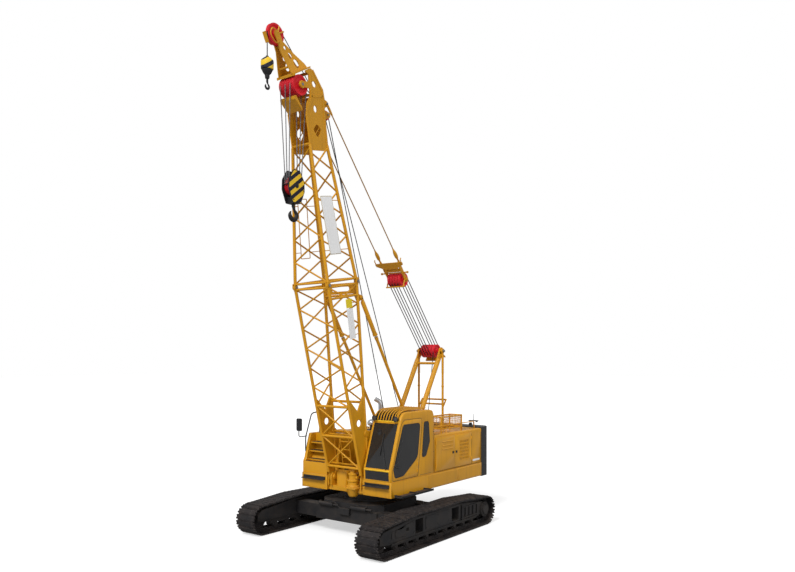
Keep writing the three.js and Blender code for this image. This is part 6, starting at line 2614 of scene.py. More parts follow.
@dataclass
class Backstops(SubAssembly):
    """The two telescopic stays that stop the boom from falling back.

    Attributes:
        top: The upper pins.
        foot: The lower pins.
        y: How far they stand from the middle.
    """

    top: Point = (1.223, 0.0, 6.891)
    foot: Point = (-1.690, 0.0, 2.200)
    y: float = 0.640

    def build(self) -> None:
        """Makes the sliding and the fixed part of each stay."""
        rise = math.degrees(math.atan2(self.top[2] - self.foot[2], self.top[0] - self.foot[0]))
        run = math.hypot(self.top[2] - self.foot[2], self.top[0] - self.foot[0])
        move = slanted(self.top, rise)
        for side in (LEFT, RIGHT):
            name = SIDE_NAMES[side]
            head = Shape()
            tube = [(0, -1.25), (0.060, -1.25), (0.062, -1.24), (0.062, -0.16), (0.045, -0.12),
                    (0, -0.12)]
            head.lathe(tube, (0, self.y, 0), Axis.X, 28)
            head.lathe([(0.03, -1.262), (0.072, -1.262), (0.072, -1.20), (0.03, -1.20)],
                       (0, self.y, 0), Axis.X, 28)
            head.prism([(-0.20, -0.04), (-0.20, 0.04), (-0.02, 0.04), (-0.02, -0.04)],
                       self.y + 0.0005, self.y + 0.040)
            head.disc((0, self.y, 0), 0.055, 0.0005, 0.040)
            head = head.on_side(side).place(move).made(f"stay_head_{name}", 0.003)
            add(head, "backstop_heads", BOOM_YELLOW, [f"backstop_head_{name}"])
            stem = Shape().tube([(-4.7, self.y, 0), (-1.22, self.y, 0)], 0.030, 20)
            add(stem.on_side(side).place(move).made(f"stay_stem_{name}"), "backstop_heads", SILVER)
            stay = Shape()
            low = -run
            profile = [(0.033, -1.311), (0.046, -1.311), (0.046, low + 0.24), (0.052, low + 0.235),
                       (0.052, low + 0.17),
                       (0, low + 0.17), (0, -4.76), (0.033, -4.76)]
            stay.lathe(profile, (0, self.y, 0), Axis.X, 28)
            stay.lathe([(0.047, -1.311), (0.056, -1.311), (0.056, -1.40), (0.047, -1.40)],
                       (0, self.y, 0), Axis.X, 28,
                       closed=True)
            stay.disc((low, self.y, 0), 0.055, -0.022, 0.022)
            stay.prism([(low, -0.035), (low + 0.2, -0.035), (low + 0.2, 0.035), (low, 0.035)],
                       self.y - 0.022,
                       self.y + 0.022)
            stay = stay.on_side(side).place(move).made(f"stay_tube_{name}", 0.002)
            add(stay, "backstop_stays", BOOM_YELLOW, [f"backstop_stay_{name}"])


# ---------------------------------------------------------------- hooks and hoist ropes


@dataclass
class Hooks(SubAssembly):
    """The main hook block, the auxiliary hook and every hoist rope.

    Attributes:
        head: The middle of the head sheaves.
        tip: The middle of the tip sheave.
        guide: The middle of the guide sheaves.
        block_z: The height of the block's sheaves.
        weight_z: The bottom and top of the auxiliary weight.
        rope_radius: The radius that the grooves leave room for.
        drawn: The ropes' own radius.
        head_sheave: The head sheaves' radius.
        tip_sheave: The tip sheave's radius.
        block_sheave: The hook block's sheaves' radius.
        sheave_pitch: The distance between the block's sheaves.
    """

    head: Point = (3.2843, 0.0, 12.417)
    tip: Point = (3.9577, 0.0, 13.588)
    guide: Point = (2.105, 0.0, 11.945)
    block_z: float = 9.760
    weight_z: tuple[float, float] = (12.360, 12.950)
    rope_radius: float = 0.014
    drawn: float = 0.013
    head_sheave: float = 0.270
    tip_sheave: float = 0.280
    block_sheave: float = 0.235
    sheave_pitch: float = 0.068

    def build(self) -> None:
        """Makes the block, the weight, both hooks and the ropes."""
        self.block()
        self.weight()
        low = self.weight_z[0]
        main = self.hook("main_hook_forging", self.head[0], self.block_z - 0.770, 0.058, 0.132,
                         self.block_z - 0.27, 0.045)
        add(main, "main_hook", BLACK, ["main_hook"])
        small = self.hook("aux_hook_forging", self.aux_x(), low - 0.200, 0.030, 0.062, low + 0.0595,
                          0.028)
        add(small, "aux_hook", BLACK, ["aux_hook"])
        self.ropes()

    def offset(self, radius: float) -> float:
        """How far a rope's middle runs from the middle of its sheave."""
        return radius * 0.9 + self.rope_radius + 0.0005

    def aux_x(self) -> float:
        """Where the auxiliary rope hangs."""
        return self.tip[0] + self.offset(self.tip_sheave)

    def block(self) -> None:
        """The block's cheeks, stripes, cross bars and sheaves."""
        x, z = self.head[0], self.block_z
        cheek = [(-0.12, 0.42), (-0.29, 0.15), (-0.30, -0.12), (-0.15, -0.47), (0.15, -0.47),
                 (0.30, -0.12), (0.29, 0.15),
                 (0.12, 0.42)]
        outline = rounded([(x + a, z + b) for a, b in cheek],
                          [0.06, 0.12, 0.12, 0.05, 0.05, 0.12, 0.12, 0.06], 6)
        shape = Shape().prism(outline, 0.107, 0.135)
        shape.disc((x, 0, z), 0.062, 0.133, 0.150)
        shape.both_sides()
        shape.across(x, z + 0.37, 0.130, 0.035, 24)
        bore = oval((x, 0), 0.052, 0.052, 28)
        yoke = rectangle((x - 0.11, -0.13), (x + 0.11, 0.13), 0.02, 3)
        shape.prism(yoke, z - 0.47, z - 0.30, Plane.XY, [bore])
        for side in (1, -1):
            shape.across(x + side * 0.262, z + 0.02, 0.11, 0.016, 14)
        add(shape.made("hook_block_body", 0.006, 3), "main_hook_block", BLACK, ["main_hook_block"])
        panel = Shape().prism(inset(outline, 0.022), 0.1352, 0.140,
                              holes=[oval((x, z), 0.066, 0.066, 32)])
        add(panel.both_sides().made("hook_block_stripes", 0.0015), "main_hook_block", HOOK_STRIPES)
        rows = []
        for name, side, facing in (("left", LEFT, Facing.LEFTWARDS),
                                   ("right", RIGHT, Facing.RIGHTWARDS)):
            spots = [(x + a * 0.82, side * 0.1395, z + b * 0.82) for a, b in cheek[::2]]
            rows.append(pieces(f"{name}_bolts", bolt(0.013, 0.012), spots, BLACK, facing))
        add(joined("hook_block_bolts", *rows), "main_hook_block")
        row = SheaveRow(self.block_sheave, 3, self.sheave_pitch, 0.1065)
        sheaves = row.built("block_sheave_set", (x, 0, z))
        add(sheaves, "block_sheaves", replaces=["block_sheaves"])

    def weight(self) -> None:
        """The striped weight over the auxiliary hook, with its rope socket."""
        low, high = self.weight_z
        profile = [(0.030, high - 0.36), (0.150, high - 0.36), (0.162, high - 0.345),
                   (0.165, high - 0.24),
                   (0.165, high - 0.15), (0.158, high - 0.125), (0.095, high - 0.065),
                   (0.030, high - 0.06)]
        shape = Shape().lathe(profile, (self.aux_x(), 0, 0), Axis.Z, 48, closed=True)
        add(shape.made("aux_weight_body", 0.003), "aux_weight", HOOK_STRIPES, ["aux_weight"])
        socket = [(0, high - 0.12), (0.050, high - 0.12), (0.050, high - 0.05),
                  (0.040, high - 0.015), (0.022, high), (0, high)]
        cap = Shape().lathe(socket, (self.aux_x(), 0, 0), Axis.Z, 28)
        core = [(0.0285, low), (0.052, low), (0.060, low + 0.03), (0.062, low + 0.09),
                (0.105, low + 0.14),
                (0.140, high - 0.375), (0.140, high - 0.361), (0.0285, high - 0.361)]
        cap.lathe(core, (self.aux_x(), 0, 0), Axis.Z, 28, closed=True)
        add(cap.made("aux_weight_socket", 0.002), "aux_weight", BLACK)

    def hook(self, name: str, x: float, bend: float, throat: float, thick: float, top: float,
             shank: float
             ) -> bpy.types.Object:
        """A forged hook, thick at the bend and drawn out to its point, with its shank.

        Args:
            name: The hook's name.
            x: Where it hangs.
            bend: The height of its bend's middle.
            throat: The bend's inner radius.
            thick: How thick the bend is.
            top: The shank's top.
            shank: The shank's radius.

        Returns:
            The hook.
        """
        rings: list[tuple[Vector, Vector, float, float]] = []
        steps, sides = 26, 20
        neck = bend + throat + thick + 0.06 * thick / 0.11
        rings.append((Vector((x, 0, neck)), Vector((1, 0, 0)), shank, shank))
        rings.append((Vector((x, 0, neck - 0.3 * thick)), Vector((1, 0, 0.1)).normalized(), shank,
                      shank))
        for i in range(steps + 1):
            share = i / steps
            angle = math.radians(116 + (412 - 116) * share)
            out = Vector((math.cos(angle), 0, math.sin(angle)))
            swell = 0.62 + 0.38 * math.sin(math.pi * min(1.0, share * 1.05)) ** 0.8
            if share > 0.80:
                swell *= 1 - 0.75 * ((share - 0.80) / 0.20) ** 1.5
            half = thick * 0.5 * swell
            centre = Vector((x, 0, bend)) + out * (throat + thick * 0.5)
            rings.append((centre, -out, half, half * 0.84))
        shape = Shape()
        points = []
        for centre, out, wide, deep in rings:
            for k in range(sides):
                angle = 2 * math.pi * k / sides
                points.append(centre + out * math.cos(angle) * wide + Vector((0, 1, 0))
                              * math.sin(angle) * deep)
        count = len(rings)
        faces: list[Sequence[int]] = [
            (r * sides + k, r * sides + (k + 1) % sides, (r + 1) * sides + (k + 1) % sides,
             (r + 1) * sides + k)
            for r in range(count - 1) for k in range(sides)
        ]
        faces += [tuple(reversed(range(sides))), tuple(range((count - 1) * sides, count * sides))]
        shape.grow(points, faces)
        shape.disc((x, 0, 0), shank, neck - 0.01, top, Axis.Z)
        if shank > 0.04:
            shape.disc((x, 0, top), 0.075, -0.0295, 0.005, Axis.Z, 28)
        return shape.made(name)

    def strung(self, name: str, finish: WireRope,
               ends: Sequence[tuple[Point, Point]]) -> bpy.types.Object:
        """Several straight ropes, one for each pair of lower and upper ends."""
        return joined(name,
                      *[rope(f"{name}_{i}", pair, self.drawn, finish)
                        for i, pair in enumerate(ends)])

    def ropes(self) -> None:
        """The falls of both hooks, and the ropes from the drums to the head."""
        x, low, high = self.head[0], self.offset(self.block_sheave), self.offset(self.head_sheave)
        places = (-self.sheave_pitch, 0.0, self.sheave_pitch)
        front = zip(places, (-0.230, -0.046, 0.138))
        rear = zip(places, (-0.138, 0.046, 0.230))
        ends = [((x + low, a, self.block_z), (x + high, b, self.head[2])) for a, b in front]
        ends += [((x - low, a, self.block_z), (x - high, b, self.head[2])) for a, b in rear]
        falls = self.strung("main_falls_rope", BRIGHT_ROPE, ends)
        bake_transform(falls)
        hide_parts("main_hoist_rope")
        aux = self.aux_x()
        single = rope(
            "aux_fall_rope", [(aux, 0, self.weight_z[1] - 0.004), (aux, 0, self.tip[2])],
            self.drawn, DARK_ROPE
        )
        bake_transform(single)
        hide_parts("aux_hoist_rope")
        gx, _, gz = self.guide
        leads = []
        for drum, side in ((DRUMS["main"], 1), (DRUMS["aux"], -1)):
            start = (drum.x - drum.core - self.drawn, side * 0.10, drum.z)
            leads.append((start, (gx - 0.139, side * 0.060, gz + 0.02)))
        lead = self.strung("hoist_lead_ropes", DARK_ROPE, leads)
        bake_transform(lead)
        boom = Boom(self.nodes)
        head_s, head_d = boom.head_shaft
        guide_s, guide_d = boom.guide_shaft
        tip_s, tip_d = boom.tip_shaft
        over = []
        for i, (y, reach) in enumerate(((0.060, 0.046), (-0.060, -0.046))):
            turned = [boom.point(s, y, d) for s, d in arc(boom.guide_shaft, 0.1315, 165, 40, 8)]
            last = boom.point(head_s + 0.257 * 0.75, reach, head_d + 0.257 * 0.66)
            over.append(rope(f"over_{i}", [*turned, last], self.drawn, DARK_ROPE))
        tip_rope = [boom.point(guide_s + 0.09, 0.0, guide_d + 0.10),
                    boom.point(tip_s + 0.1, 0.0, tip_d + 0.245)]
        over.append(rope("over_tip", tip_rope, 0.012, DARK_ROPE))
        add(joined("head_ropes", *over), "boom")


# ---------------------------------------------------------------- upper structure


def round_edges(shape: Shape, width: float, chosen: Callable[[Vector, Vector], bool],
                segments: int = 4) -> Shape:
    """Rounds the edges whose two ends pass a test.

    Args:
        shape: The shape to change.
        width: How wide each rounding is.
        chosen: Whether an edge between two points is rounded.
        segments: How many steps each rounding has.

    Returns:
        The shape.
    """
    edges = [e for e in shape.mesh.edges if chosen(e.verts[0].co, e.verts[1].co)]
    bmesh.ops.bevel(
        shape.mesh, geom=edges, offset=width, segments=segments, affect="EDGES", profile=0.5,
        clamp_overlap=True
    )
    return shape


def recolour(obj: bpy.types.Object, finish: Finish,
             chosen: Callable[[Vector], bool]) -> bpy.types.Object:
    """Gives the faces whose middles pass a test a second finish.

    Args:
        obj: The object.
        finish: The second finish.
        chosen: Whether a face with this middle takes it.

    Returns:
        The same object.
    """
    obj.data.materials.append(finish.material())
    index = len(obj.data.materials) - 1
    for polygon in obj.data.polygons:
        if chosen(polygon.center):
            polygon.material_index = index
    return obj


@dataclass
class UpperFrame(SubAssembly):
    """The deck and girders, the swing drive, the steps and the winch drums.

    Attributes:
        front: The cab's front face.
        half_width: Half the deck's width.
        drive: Where the swing drive stands.
    """

    front: float = 1.185
    half_width: float = 1.700
    drive: tuple[float, float] = (1.100, 0.250)

    def build(self) -> None:
        """Makes the frame and everything bolted to it."""
        frame = dress(node_copy(self.nodes, "upper_frame", "deck_and_girders", 0.005), YELLOW)
        recolour(frame, FRAME_BLACK, self.is_step)
        add(frame, "upper", replaces=["upper_frame"])
        self.swing_drive()
        self.steps()
        self.deck_fittings()
        for name, size in DRUMS.items():
            self.drum(name, size)

    def is_step(self, place: Vector) -> bool:
        """Whether a face belongs to a front or side step."""
        front = place.x > self.front + 0.002 and 1.53 < place.z < 1.65 and abs(place.y) > 0.7
        return front or (place.y > self.half_width + 0.001 and place.z < 1.36)

    def swing_drive(self) -> None:
        """The slewing motor on its gearbox."""
        x, y = self.drive
        profile = [
            (0.192, 1.396), (0.204, 1.400), (0.204, 1.440), (0.192, 1.445), (0.192, 1.474),
            (0.168, 1.480), (0.152, 1.500),
            (0.152, 1.590), (0.172, 1.602), (0.178, 1.610), (0.178, 1.650), (0.170, 1.656),
            (0.124, 1.664),
            (0.124, 1.775), (0.140, 1.786), (0.142, 1.830), (0.130, 1.838), (0.084, 1.844),
            (0.084, 1.915),
            (0.076, 1.932), (0, 1.934),
        ]
        shape = Shape().lathe([(0, 1.396), *profile], (x, y, 0), Axis.Z, 48)
        shape.box((x - 0.05, y + 0.12, 1.69), (x + 0.05, y + 0.19, 1.76))
        shape.box((x - 0.252, y - 0.232, 1.42), (x + 0.202, y + 0.232, 1.4315))
        motor = shape.made("swing_drive_housing", 0.004)
        base = ring_of((x, y, 1.440), 0.1975, 16, Axis.Z)
        upper = ring_of((x, y, 1.656), 0.150, 12, Axis.Z)
        bolts = pieces("drive_flange_bolts", bolt(0.010, 0.014), base + upper, YELLOW)
        add(joined("swing_drive", dress(motor, YELLOW), bolts), "upper")
        lift = Shape()
        for side in (LEFT, RIGHT):
            low, high = Vector((0.98, side * 0.50, 1.78)), Vector((0.80, side * 0.50, 2.78))
            lift.tube([low, low.lerp(high, 0.62)], 0.052, 20)
            lift.tube([low.lerp(high, 0.6), low.lerp(high, 0.66)], 0.060, 20)
            lift.tube([low.lerp(high, 0.62), high], 0.027, 14)
            lift.disc((low.x, side * 0.50, low.z), 0.058, -0.035, 0.035)
            lift.disc((high.x, side * 0.50, high.z), 0.048, -0.030, 0.030)
        add(lift.made("foot_cylinders", 0.002), "upper", YELLOW)
        hoses = Shape()
        for a, b, c in ((0.04, 0.06, 0.30), (-0.03, 0.10, 0.36), (0.0, -0.10, 0.42)):
            path = [(x + a, y + b, 1.72), (x - 0.12, y + b * 1.6, 1.86), (x - c, y + b * 2.0, 1.72),
                    (x - 0.48, y + b, 1.46)]
            hoses.tube(bend_path(path, 0.14, 6), 0.013, 10)
        add(hoses.made("swing_drive_hoses"), "upper", RUBBER)

    def steps(self) -> None:
        """The grating of the front and side steps, and the side step's mat."""
        along = [-0.44 + 0.06 * i for i in range(26)]
        aside = [0.79 + 0.05 * i for i in range(17)]
        spots = [(x, y, 1.3155) for x in along for y in (1.775, 1.835, 1.895, 1.955)]
        tread = [
            (x, side * y, 1.5655) for side in (LEFT, RIGHT) for x in (1.225, 1.265, 1.300)
            for y in aside
        ]
        stud = Shape().lathe([(0, 0), (0.013, 0), (0.009, 0.006), (0, 0.006)], (0, 0, 0), Axis.Z, 8)
        add(pieces("step_studs", stud, spots + tread, FRAME_BLACK), "upper")
        mat = Shape().box((-0.46, 1.752, 1.3152), (1.07, 1.982, 1.3182))
        add(mat.made("side_step_mat", 0.001), "upper", DUSTY)

    def deck_fittings(self) -> None:
        """Bolts, a tank cap and blank panels on the deck."""
        spots = [(1.1853, side * y, z) for side in (LEFT, RIGHT) for y in (0.76, 1.62)
                 for z in (1.33, 1.47, 1.66)]
        bolts = pieces("front_bolts", bolt(0.012, 0.010), spots, YELLOW, Facing.FORWARDS)
        shape = Shape()
        for side in (LEFT, RIGHT):
            low, high = sorted((side * 0.74, side * 1.66))
            shape.prism(rectangle((low, 1.30), (high, 1.505), 0.03, 4), 1.1852, 1.190, Plane.YZ)
            for rear, front in ((-3.66, -2.30), (-2.24, -0.62)):
                plate = rectangle((rear, 1.30), (front, 1.66), 0.04, 4)
                shape.prism(plate, *sorted((side * 1.7002, side * 1.705)))
        panels = dress(shape.made("sill_panels_plain", 0.004), YELLOW)
        add(joined("sill_panels", panels, bolts), "upper")
        profile = [(0, 1.850), (0.062, 1.850), (0.062, 1.872), (0.050, 1.890), (0, 1.890)]
        cap = Shape().lathe(profile, (0.80, -0.26, 0), Axis.Z, 28)
        grip = [(0.70, -0.42, 1.85), (0.70, -0.42, 1.93), (0.70, -0.10, 1.93), (0.70, -0.10, 1.85)]
        cap.tube(bend_path(grip, 0.04), 0.009, 10)
        add(cap.made("tank_cap", 0.002), "upper", BLACK)

    def drum(self, name: str, size: Drum) -> None:
        """One winch drum with its wound rope.

        Args:
            name: The drum's name.
            size: Its place and sizes.
        """
        centre, core, flange = (size.x, 0, size.z), size.core, size.flange
        half, reach, shaft = 0.330, 0.575, 0.050
        one = [(0, -reach), (shaft, -reach), (shaft, -half), (0.12, -half), (0.13, -half - 0.012),
               (flange - 0.05, -half),
               (flange, -half + 0.004), (flange, -half + 0.028), (core + 0.02, -half + 0.034),
               (core, -half + 0.04)]
        shape = Shape().lathe(there_and_back(one), centre, Axis.Y, 56)
        add(shape.made(f"{name}_winch_drum", 0.0), f"{name}_drum", DARK_GREY, [f"{name}_drum"])
        turns = 20
        pitch = (2 * half - 0.08) / turns
        wound = [(core - 0.002, -half + 0.04)]
        for i in range(turns):
            middle = -half + 0.04 + (i + 0.5) * pitch
            for angle in (150, 120, 90, 60, 30):
                wound.append((core + pitch * 0.5 * math.sin(math.radians(angle)),
                              middle + pitch * 0.5 * math.cos(math.radians(angle))))
        wound.append((core - 0.002, half - 0.04))
        coil = Shape().lathe(wound, centre, Axis.Y, 48, closed=True)
        add(coil.made(f"{name}_wound_rope"), f"{name}_drum", WOUND)




@dataclass
class Houses(SubAssembly):
    """The machinery houses with their doors, the tank box, the roof gear and the counterweight.

    Attributes:
        wall: How far a thing laid on a house's side wall stands from the crane's middle.
        roof_z: The height of a thing that stands on a house's roof.
        rear: The houses' rear end.
        rail_y: How far right the handrail stands.
        exhaust_y: How far left the exhaust and the air cleaner stand.
    """

    wall: float = 1.6752
    roof_z: float = 2.8305
    rear: float = -3.7598
    rail_y: float = -1.680
    exhaust_y: float = -0.900

    def build(self) -> None:
        """Makes everything behind the cab."""
        for side in (LEFT, RIGHT):
            self.house(side)
            for place in ("front", "rear"):
                self.door(side, place)
        self.front_box()
        self.rails()
        self.exhaust()
        self.roof()
        self.counterweight()

    def house(self, side: int) -> None:
        """One house, with its long upper edges rounded, and its fixed panels' seams.

        Args:
            side: Left or right.
        """
        name = SIDE_NAMES[side]
        front = -0.962 if side == LEFT else -0.602
        corner = [(1.552, 2.8300), (1.552, 2.8312),
                  *reversed(arc((1.636, 2.7912), 0.0398, 0, 90, 6)), (1.6758, 2.706),
                  (1.672, 2.706)]
        roof_edge = Shape().prism(corner, self.rear, front + 0.001, Plane.YZ).on_side(side)
        shell = node_copy(self.nodes, f"{name}_house", f"{name}_house_shell", 0.005)
        edge = dress(roof_edge.made(f"{name}_roof_edge"), YELLOW)
        add(joined(f"{name}_house_and_edge", dress(shell, YELLOW), edge), "upper",
            replaces=[f"{name}_house"])
        seams = Shape()
        for x in (-3.72, -3.16):
            seams.box((x, self.wall, 1.74), (x + 0.010, 1.6775, 2.70))
        seams.box((-3.755, self.wall, 1.7195), (front - 0.01, 1.678, 1.7275))
        if side == LEFT:
            seams.box((-1.018, self.wall, 1.73), (-1.010, 1.6775, 2.70))
        for x in (-3.05, -2.05, -1.20):
            seams.box((x, 0.70, 2.8302), (x + 0.012, 1.54, 2.8325))
        add(seams.on_side(side).made(f"{name}_house_seams"), "upper", RUBBER)
        stripe = Shape().prism(rectangle((-3.66, 1.80), (-3.22, 1.86), 0.01, 2), self.wall,
                               self.wall + 0.002)
        add(stripe.on_side(side).made(f"{name}_blank_stripe"), "upper", BOARD_WHITE)

    def door(self, side: int, place: str) -> None:
        """One side door with its louvres or mesh, its latch and its gasket.

        Args:
            side: Left or right.
            place: The front or the rear door.
        """
        name = SIDE_NAMES[side]
        body = f"{name}_door_{place}"
        panel = dress(node_copy(self.nodes, body, f"{name}_{place}_door_panel", 0.0035),
                      YELLOW_DOORS)
        recolour(panel, BLACK, lambda p: abs(p.y) > 1.7005 and 2.18 < p.z < 2.27)
        add(panel, body, replaces=[body])
        # The dark strips and sheets in inside, behind the louvre slots and the mesh, are painted
        # shade: they stand for the shaded openings behind them.
        inside = Shape()
        trim = Shape()
        if place == "front":
            for z in (2.600, 2.480, 2.370):
                inside.box((-2.0, 1.6765, z - 0.022), (-1.38, 1.6795, z + 0.022))
                hood = [(1.6995, z + 0.020), (1.722, z - 0.006), (1.722, z - 0.010),
                        (1.6995, z + 0.006)]
                trim.prism(hood, -1.995, -1.385, Plane.YZ)
            low, high = -2.0855, -1.0545
        else:
            inside.box((-2.93, 1.6765, 1.94), (-2.39, 1.6790, 2.545))
            low, high = -3.0955, -2.0945
        edge = [(low, 1.7545), (high, 1.7545), (high, 2.7455), (low, 2.7455)]
        seam = Shape().prism(inset(edge, 0.001), self.wall, self.wall + 0.0006,
                             holes=[inset(edge, 0.012)])
        add(seam.on_side(side).made(f"{name}_{place}_gasket"), body, RUBBER)
        # Painted shade: these dark sheets stand for the shaded openings behind the louvres and the
        # mesh.
        add(inside.on_side(side).made(f"{name}_{place}_vent_back"), body, RUBBER)
        if place == "front":
            add(trim.on_side(side).made(f"{name}_{place}_louvre_hoods", 0.0015), body, YELLOW_DOORS)
        else:
            y = side * 1.6990
            heights = [1.945 + 0.014 * i for i in range(43)]
            places = [-2.925 + 0.014 * i for i in range(38)]
            wires = [((-2.93, y, z), (-2.39, y, z)) for z in heights]
            wires += [((x, y, 1.94), (x, y, 2.545)) for x in places]
            add(tubes(f"{name}_{place}_mesh", wires, 0.0034, YELLOW_DOORS, 5), body)
            border = [(-2.935, 1.93), (-2.385, 1.93), (-2.385, 2.555), (-2.935, 2.555)]
            frame = Shape().prism(inset(border, -0.015), 1.6995, 1.7045,
                                  holes=[inset(border, 0.006)])
            add(frame.on_side(side).made(f"{name}_{place}_mesh_frame", 0.0015), body, YELLOW_DOORS)

    def front_box(self) -> None:
        """The tank box with its recessed steps."""
        box = dress(node_copy(self.nodes, "right_front_box", "stepped_tank_box", 0.006), YELLOW)
        add(box, "upper", replaces=["right_front_box"])
        plates = Shape()
        for z, x in ((2.100, 1.035), (2.350, 0.975), (2.600, 0.910), (2.8602, 0.66)):
            plates.box((x - 0.27, -1.575, z + 0.0004), (x, -0.83, z + 0.006))
        plates.box((1.06, -1.67, 2.0404), (1.15, -0.735, 2.046))
        add(plates.made("tread_plates", 0.002), "upper", FRAME_BLACK)
        slope = [(1.158, 2.0402), (1.105, 2.13), (1.0, 2.53), (0.895, 2.8612), (0.60, 2.8612),
                 (0.60, 2.0402)]
        cheeks = Shape().prism(rounded(slope, [0.01, 0.06, 0.06, 0.03, 0, 0], 5), -1.6915, -1.586)
        cheeks.prism(rounded(slope, [0.01, 0.06, 0.06, 0.03, 0, 0], 5), -0.819, -0.7135)
        add(cheeks.made("tank_box_cheeks", 0.006), "upper", YELLOW)
        profile = [(0, -1.640), (0.040, -1.640), (0.040, -1.655), (0.030, -1.665), (0, -1.665)]
        cap = Shape().lathe(profile, (1.1, 0, 1.86), Axis.Y, 24)
        add(cap.made("filler_cap", 0.002), "upper", BLACK)

    def rails(self) -> None:
        """The hoop-shaped handrail, and the mirror on its arms."""
        y = self.rail_y
        hoop = bend_path([(1.04, y, 2.30), (1.06, y, 2.36), (1.06, y, 2.74), (0.86, y + 0.06, 3.46),
                          (0.50, y + 0.06, 3.50),
                          (0.50, y + 0.06, 2.8605)], 0.09, 8)
        rails = Shape().tube(hoop, 0.018, 16)
        arm = [(1.02, y + 0.01, 2.78), (1.18, -1.72, 2.76), (1.27, -1.76, 2.77),
               (1.27, -1.76, 2.96)]
        rails.tube(bend_path(arm, 0.05, 6), 0.014, 12)
        front = rectangle((-1.85, 2.94), (-1.65, 3.32), 0.05, 6)
        rails.prism(front, 1.2400, 1.290, Plane.YZ)
        shell = rails.made("right_rail_and_mirror", 0.006)
        add(shell, "upper", BLACK, ["right_handrail_mirror"])
        glass = Shape().prism(inset(front, 0.012), 1.2380, 1.2402, Plane.YZ)
        add(glass.made("mirror_glass", 0.001), "upper", SILVER)

    def exhaust(self) -> None:
        """The silver exhaust pipe and the black air cleaner with its silver dome."""
        y, floor = self.exhaust_y, self.roof_z
        silver = Shape()
        collar = [(0.076, 0.012), (0.120, 0.012), (0.120, 0.038), (0.086, 0.044), (0.076, 0.05)]
        silver.lathe(collar, (-1.66, y, floor), Axis.Z, 32, closed=True)
        pipe = bend_path([(-1.66, y, floor + 0.02), (-1.66, y, 3.70), (-1.58, y - 0.17, 3.80)],
                         0.10, 8)
        silver.tube(pipe, 0.074, 32)
        dome = [(0, 2.98), (0.128, 2.981), (0.148, 3.01), (0.150, 3.06), (0.135, 3.105),
                (0.10, 3.142),
                (0.05, 3.166), (0, 3.170)]
        silver.lathe(dome, (-1.2, y, 0), Axis.Z, 40)
        add(silver.made("exhaust_pipe_and_dome", 0.002), "upper", SILVER,
            ["exhaust_and_air_cleaner"])
        dark = Shape()
        dark.prism(rectangle((-1.80, y - 0.15), (-1.03, y + 0.15), 0.03, 4), floor, floor + 0.0118,
                   Plane.XY)
        neck = [(0, floor + 0.012), (0.062, floor + 0.012), (0.062, 2.95), (0.12, 2.979),
                (0, 2.979)]
        dark.lathe(neck, (-1.2, y, 0), Axis.Z, 32)
        out = Vector((0.08, -0.17, 0.10))
        mouth = Vector((-1.58, y - 0.17, 3.80)) + out.normalized() * 0.001
        turn = out.to_track_quat("Z", "Y").to_matrix().to_4x4()
        # A black disc on the pipe's closed end is painted shade: it stands for the inside of the
        # pipe's open mouth.
        hole = Shape().disc((0, 0, 0), 0.066, 0.0, 0.0012,
                            Axis.Z).place(Matrix.Translation(mouth) @ turn)
        dark.include(hole)
        add(dark.made("exhaust_base", 0.002), "upper", BLACK)

    def roof(self) -> None:
        """The mesh cage, the low rails, an aerial plate and roof handles."""
        floor, top = self.roof_z, 3.330
        corners = [(-2.9, 1.0), (-1.7, 1.0), (-1.7, 1.45), (-2.9, 1.45)]
        posts = [((x, y, floor), (x, y, top)) for x, y in corners]
        rings = [((*a, z), (*b, z)) for z in (floor + 0.12, top - 0.015)
                 for a, b in zip(corners, corners[1:] + corners[:1])]
        hoop = [(-3.6, 1.5, floor), (-3.6, 1.5, 3.06), (-1.05, 1.5, 3.06), (-1.05, 1.5, floor)]
        cage = joined(
            "roof_cage_frame",
            tubes("cage_posts", posts, 0.022, YELLOW, 12),
            tubes("cage_rings", rings, 0.022, YELLOW, 10),
            rail("roof_rail", bend_path(hoop, 0.06, 6), 0.014, YELLOW, 12),
            tubes("rail_posts", [((x, 1.5, floor), (x, 1.5, 3.06)) for x in (-2.75, -1.9)], 0.012,
                  YELLOW, 10),
        )
        add(cage, "upper", replaces=["roof_cage"])
        wires = []
        low, high = floor + 0.12, top - 0.015
        for (x0, y0), (x1, y1) in zip(corners, corners[1:] + corners[:1]):
            run = math.hypot(x1 - x0, y1 - y0)
            count = int(run / 0.055)
            for i in range(1, count):
                x, y = x0 + (x1 - x0) * i / count, y0 + (y1 - y0) * i / count
                wires.append(((x, y, low), (x, y, high)))
            wires += [((x0, y0, low + 0.055 * k), (x1, y1, low + 0.055 * k)) for k in range(1, 7)]
        add(tubes("roof_cage_mesh", wires, 0.0055, YELLOW, 5), "upper")
        aerial = Shape()
        aerial.tube([(-3.70, 1.42, floor), (-3.70, 1.42, 3.06)], 0.012, 10)
        aerial.prism(oval((-3.70, 1.42), 0.11, 0.19, 28), 3.06, 3.078, Plane.XY)
        for y in (1.30, 1.54):
            aerial.lathe([(0, 3.02), (0.035, 3.03), (0.040, 3.06), (0, 3.06)], (-3.70, y, 0),
                         Axis.Z, 16)
        aerial.tube([(-3.70, 1.42, 3.078), (-3.70, 1.42, 3.28)], 0.008, 8)
        for side in (LEFT, RIGHT):
            handle = bend_path([(-1.15, side * 1.25, floor), (-1.15, side * 1.25, 2.89),
                                (-1.45, side * 1.25, 2.89),
                                (-1.45, side * 1.25, floor)], 0.03)
            aerial.tube(handle, 0.010, 10)
        add(aerial.made("roof_aerial_and_handles", 0.002), "upper", BLACK)

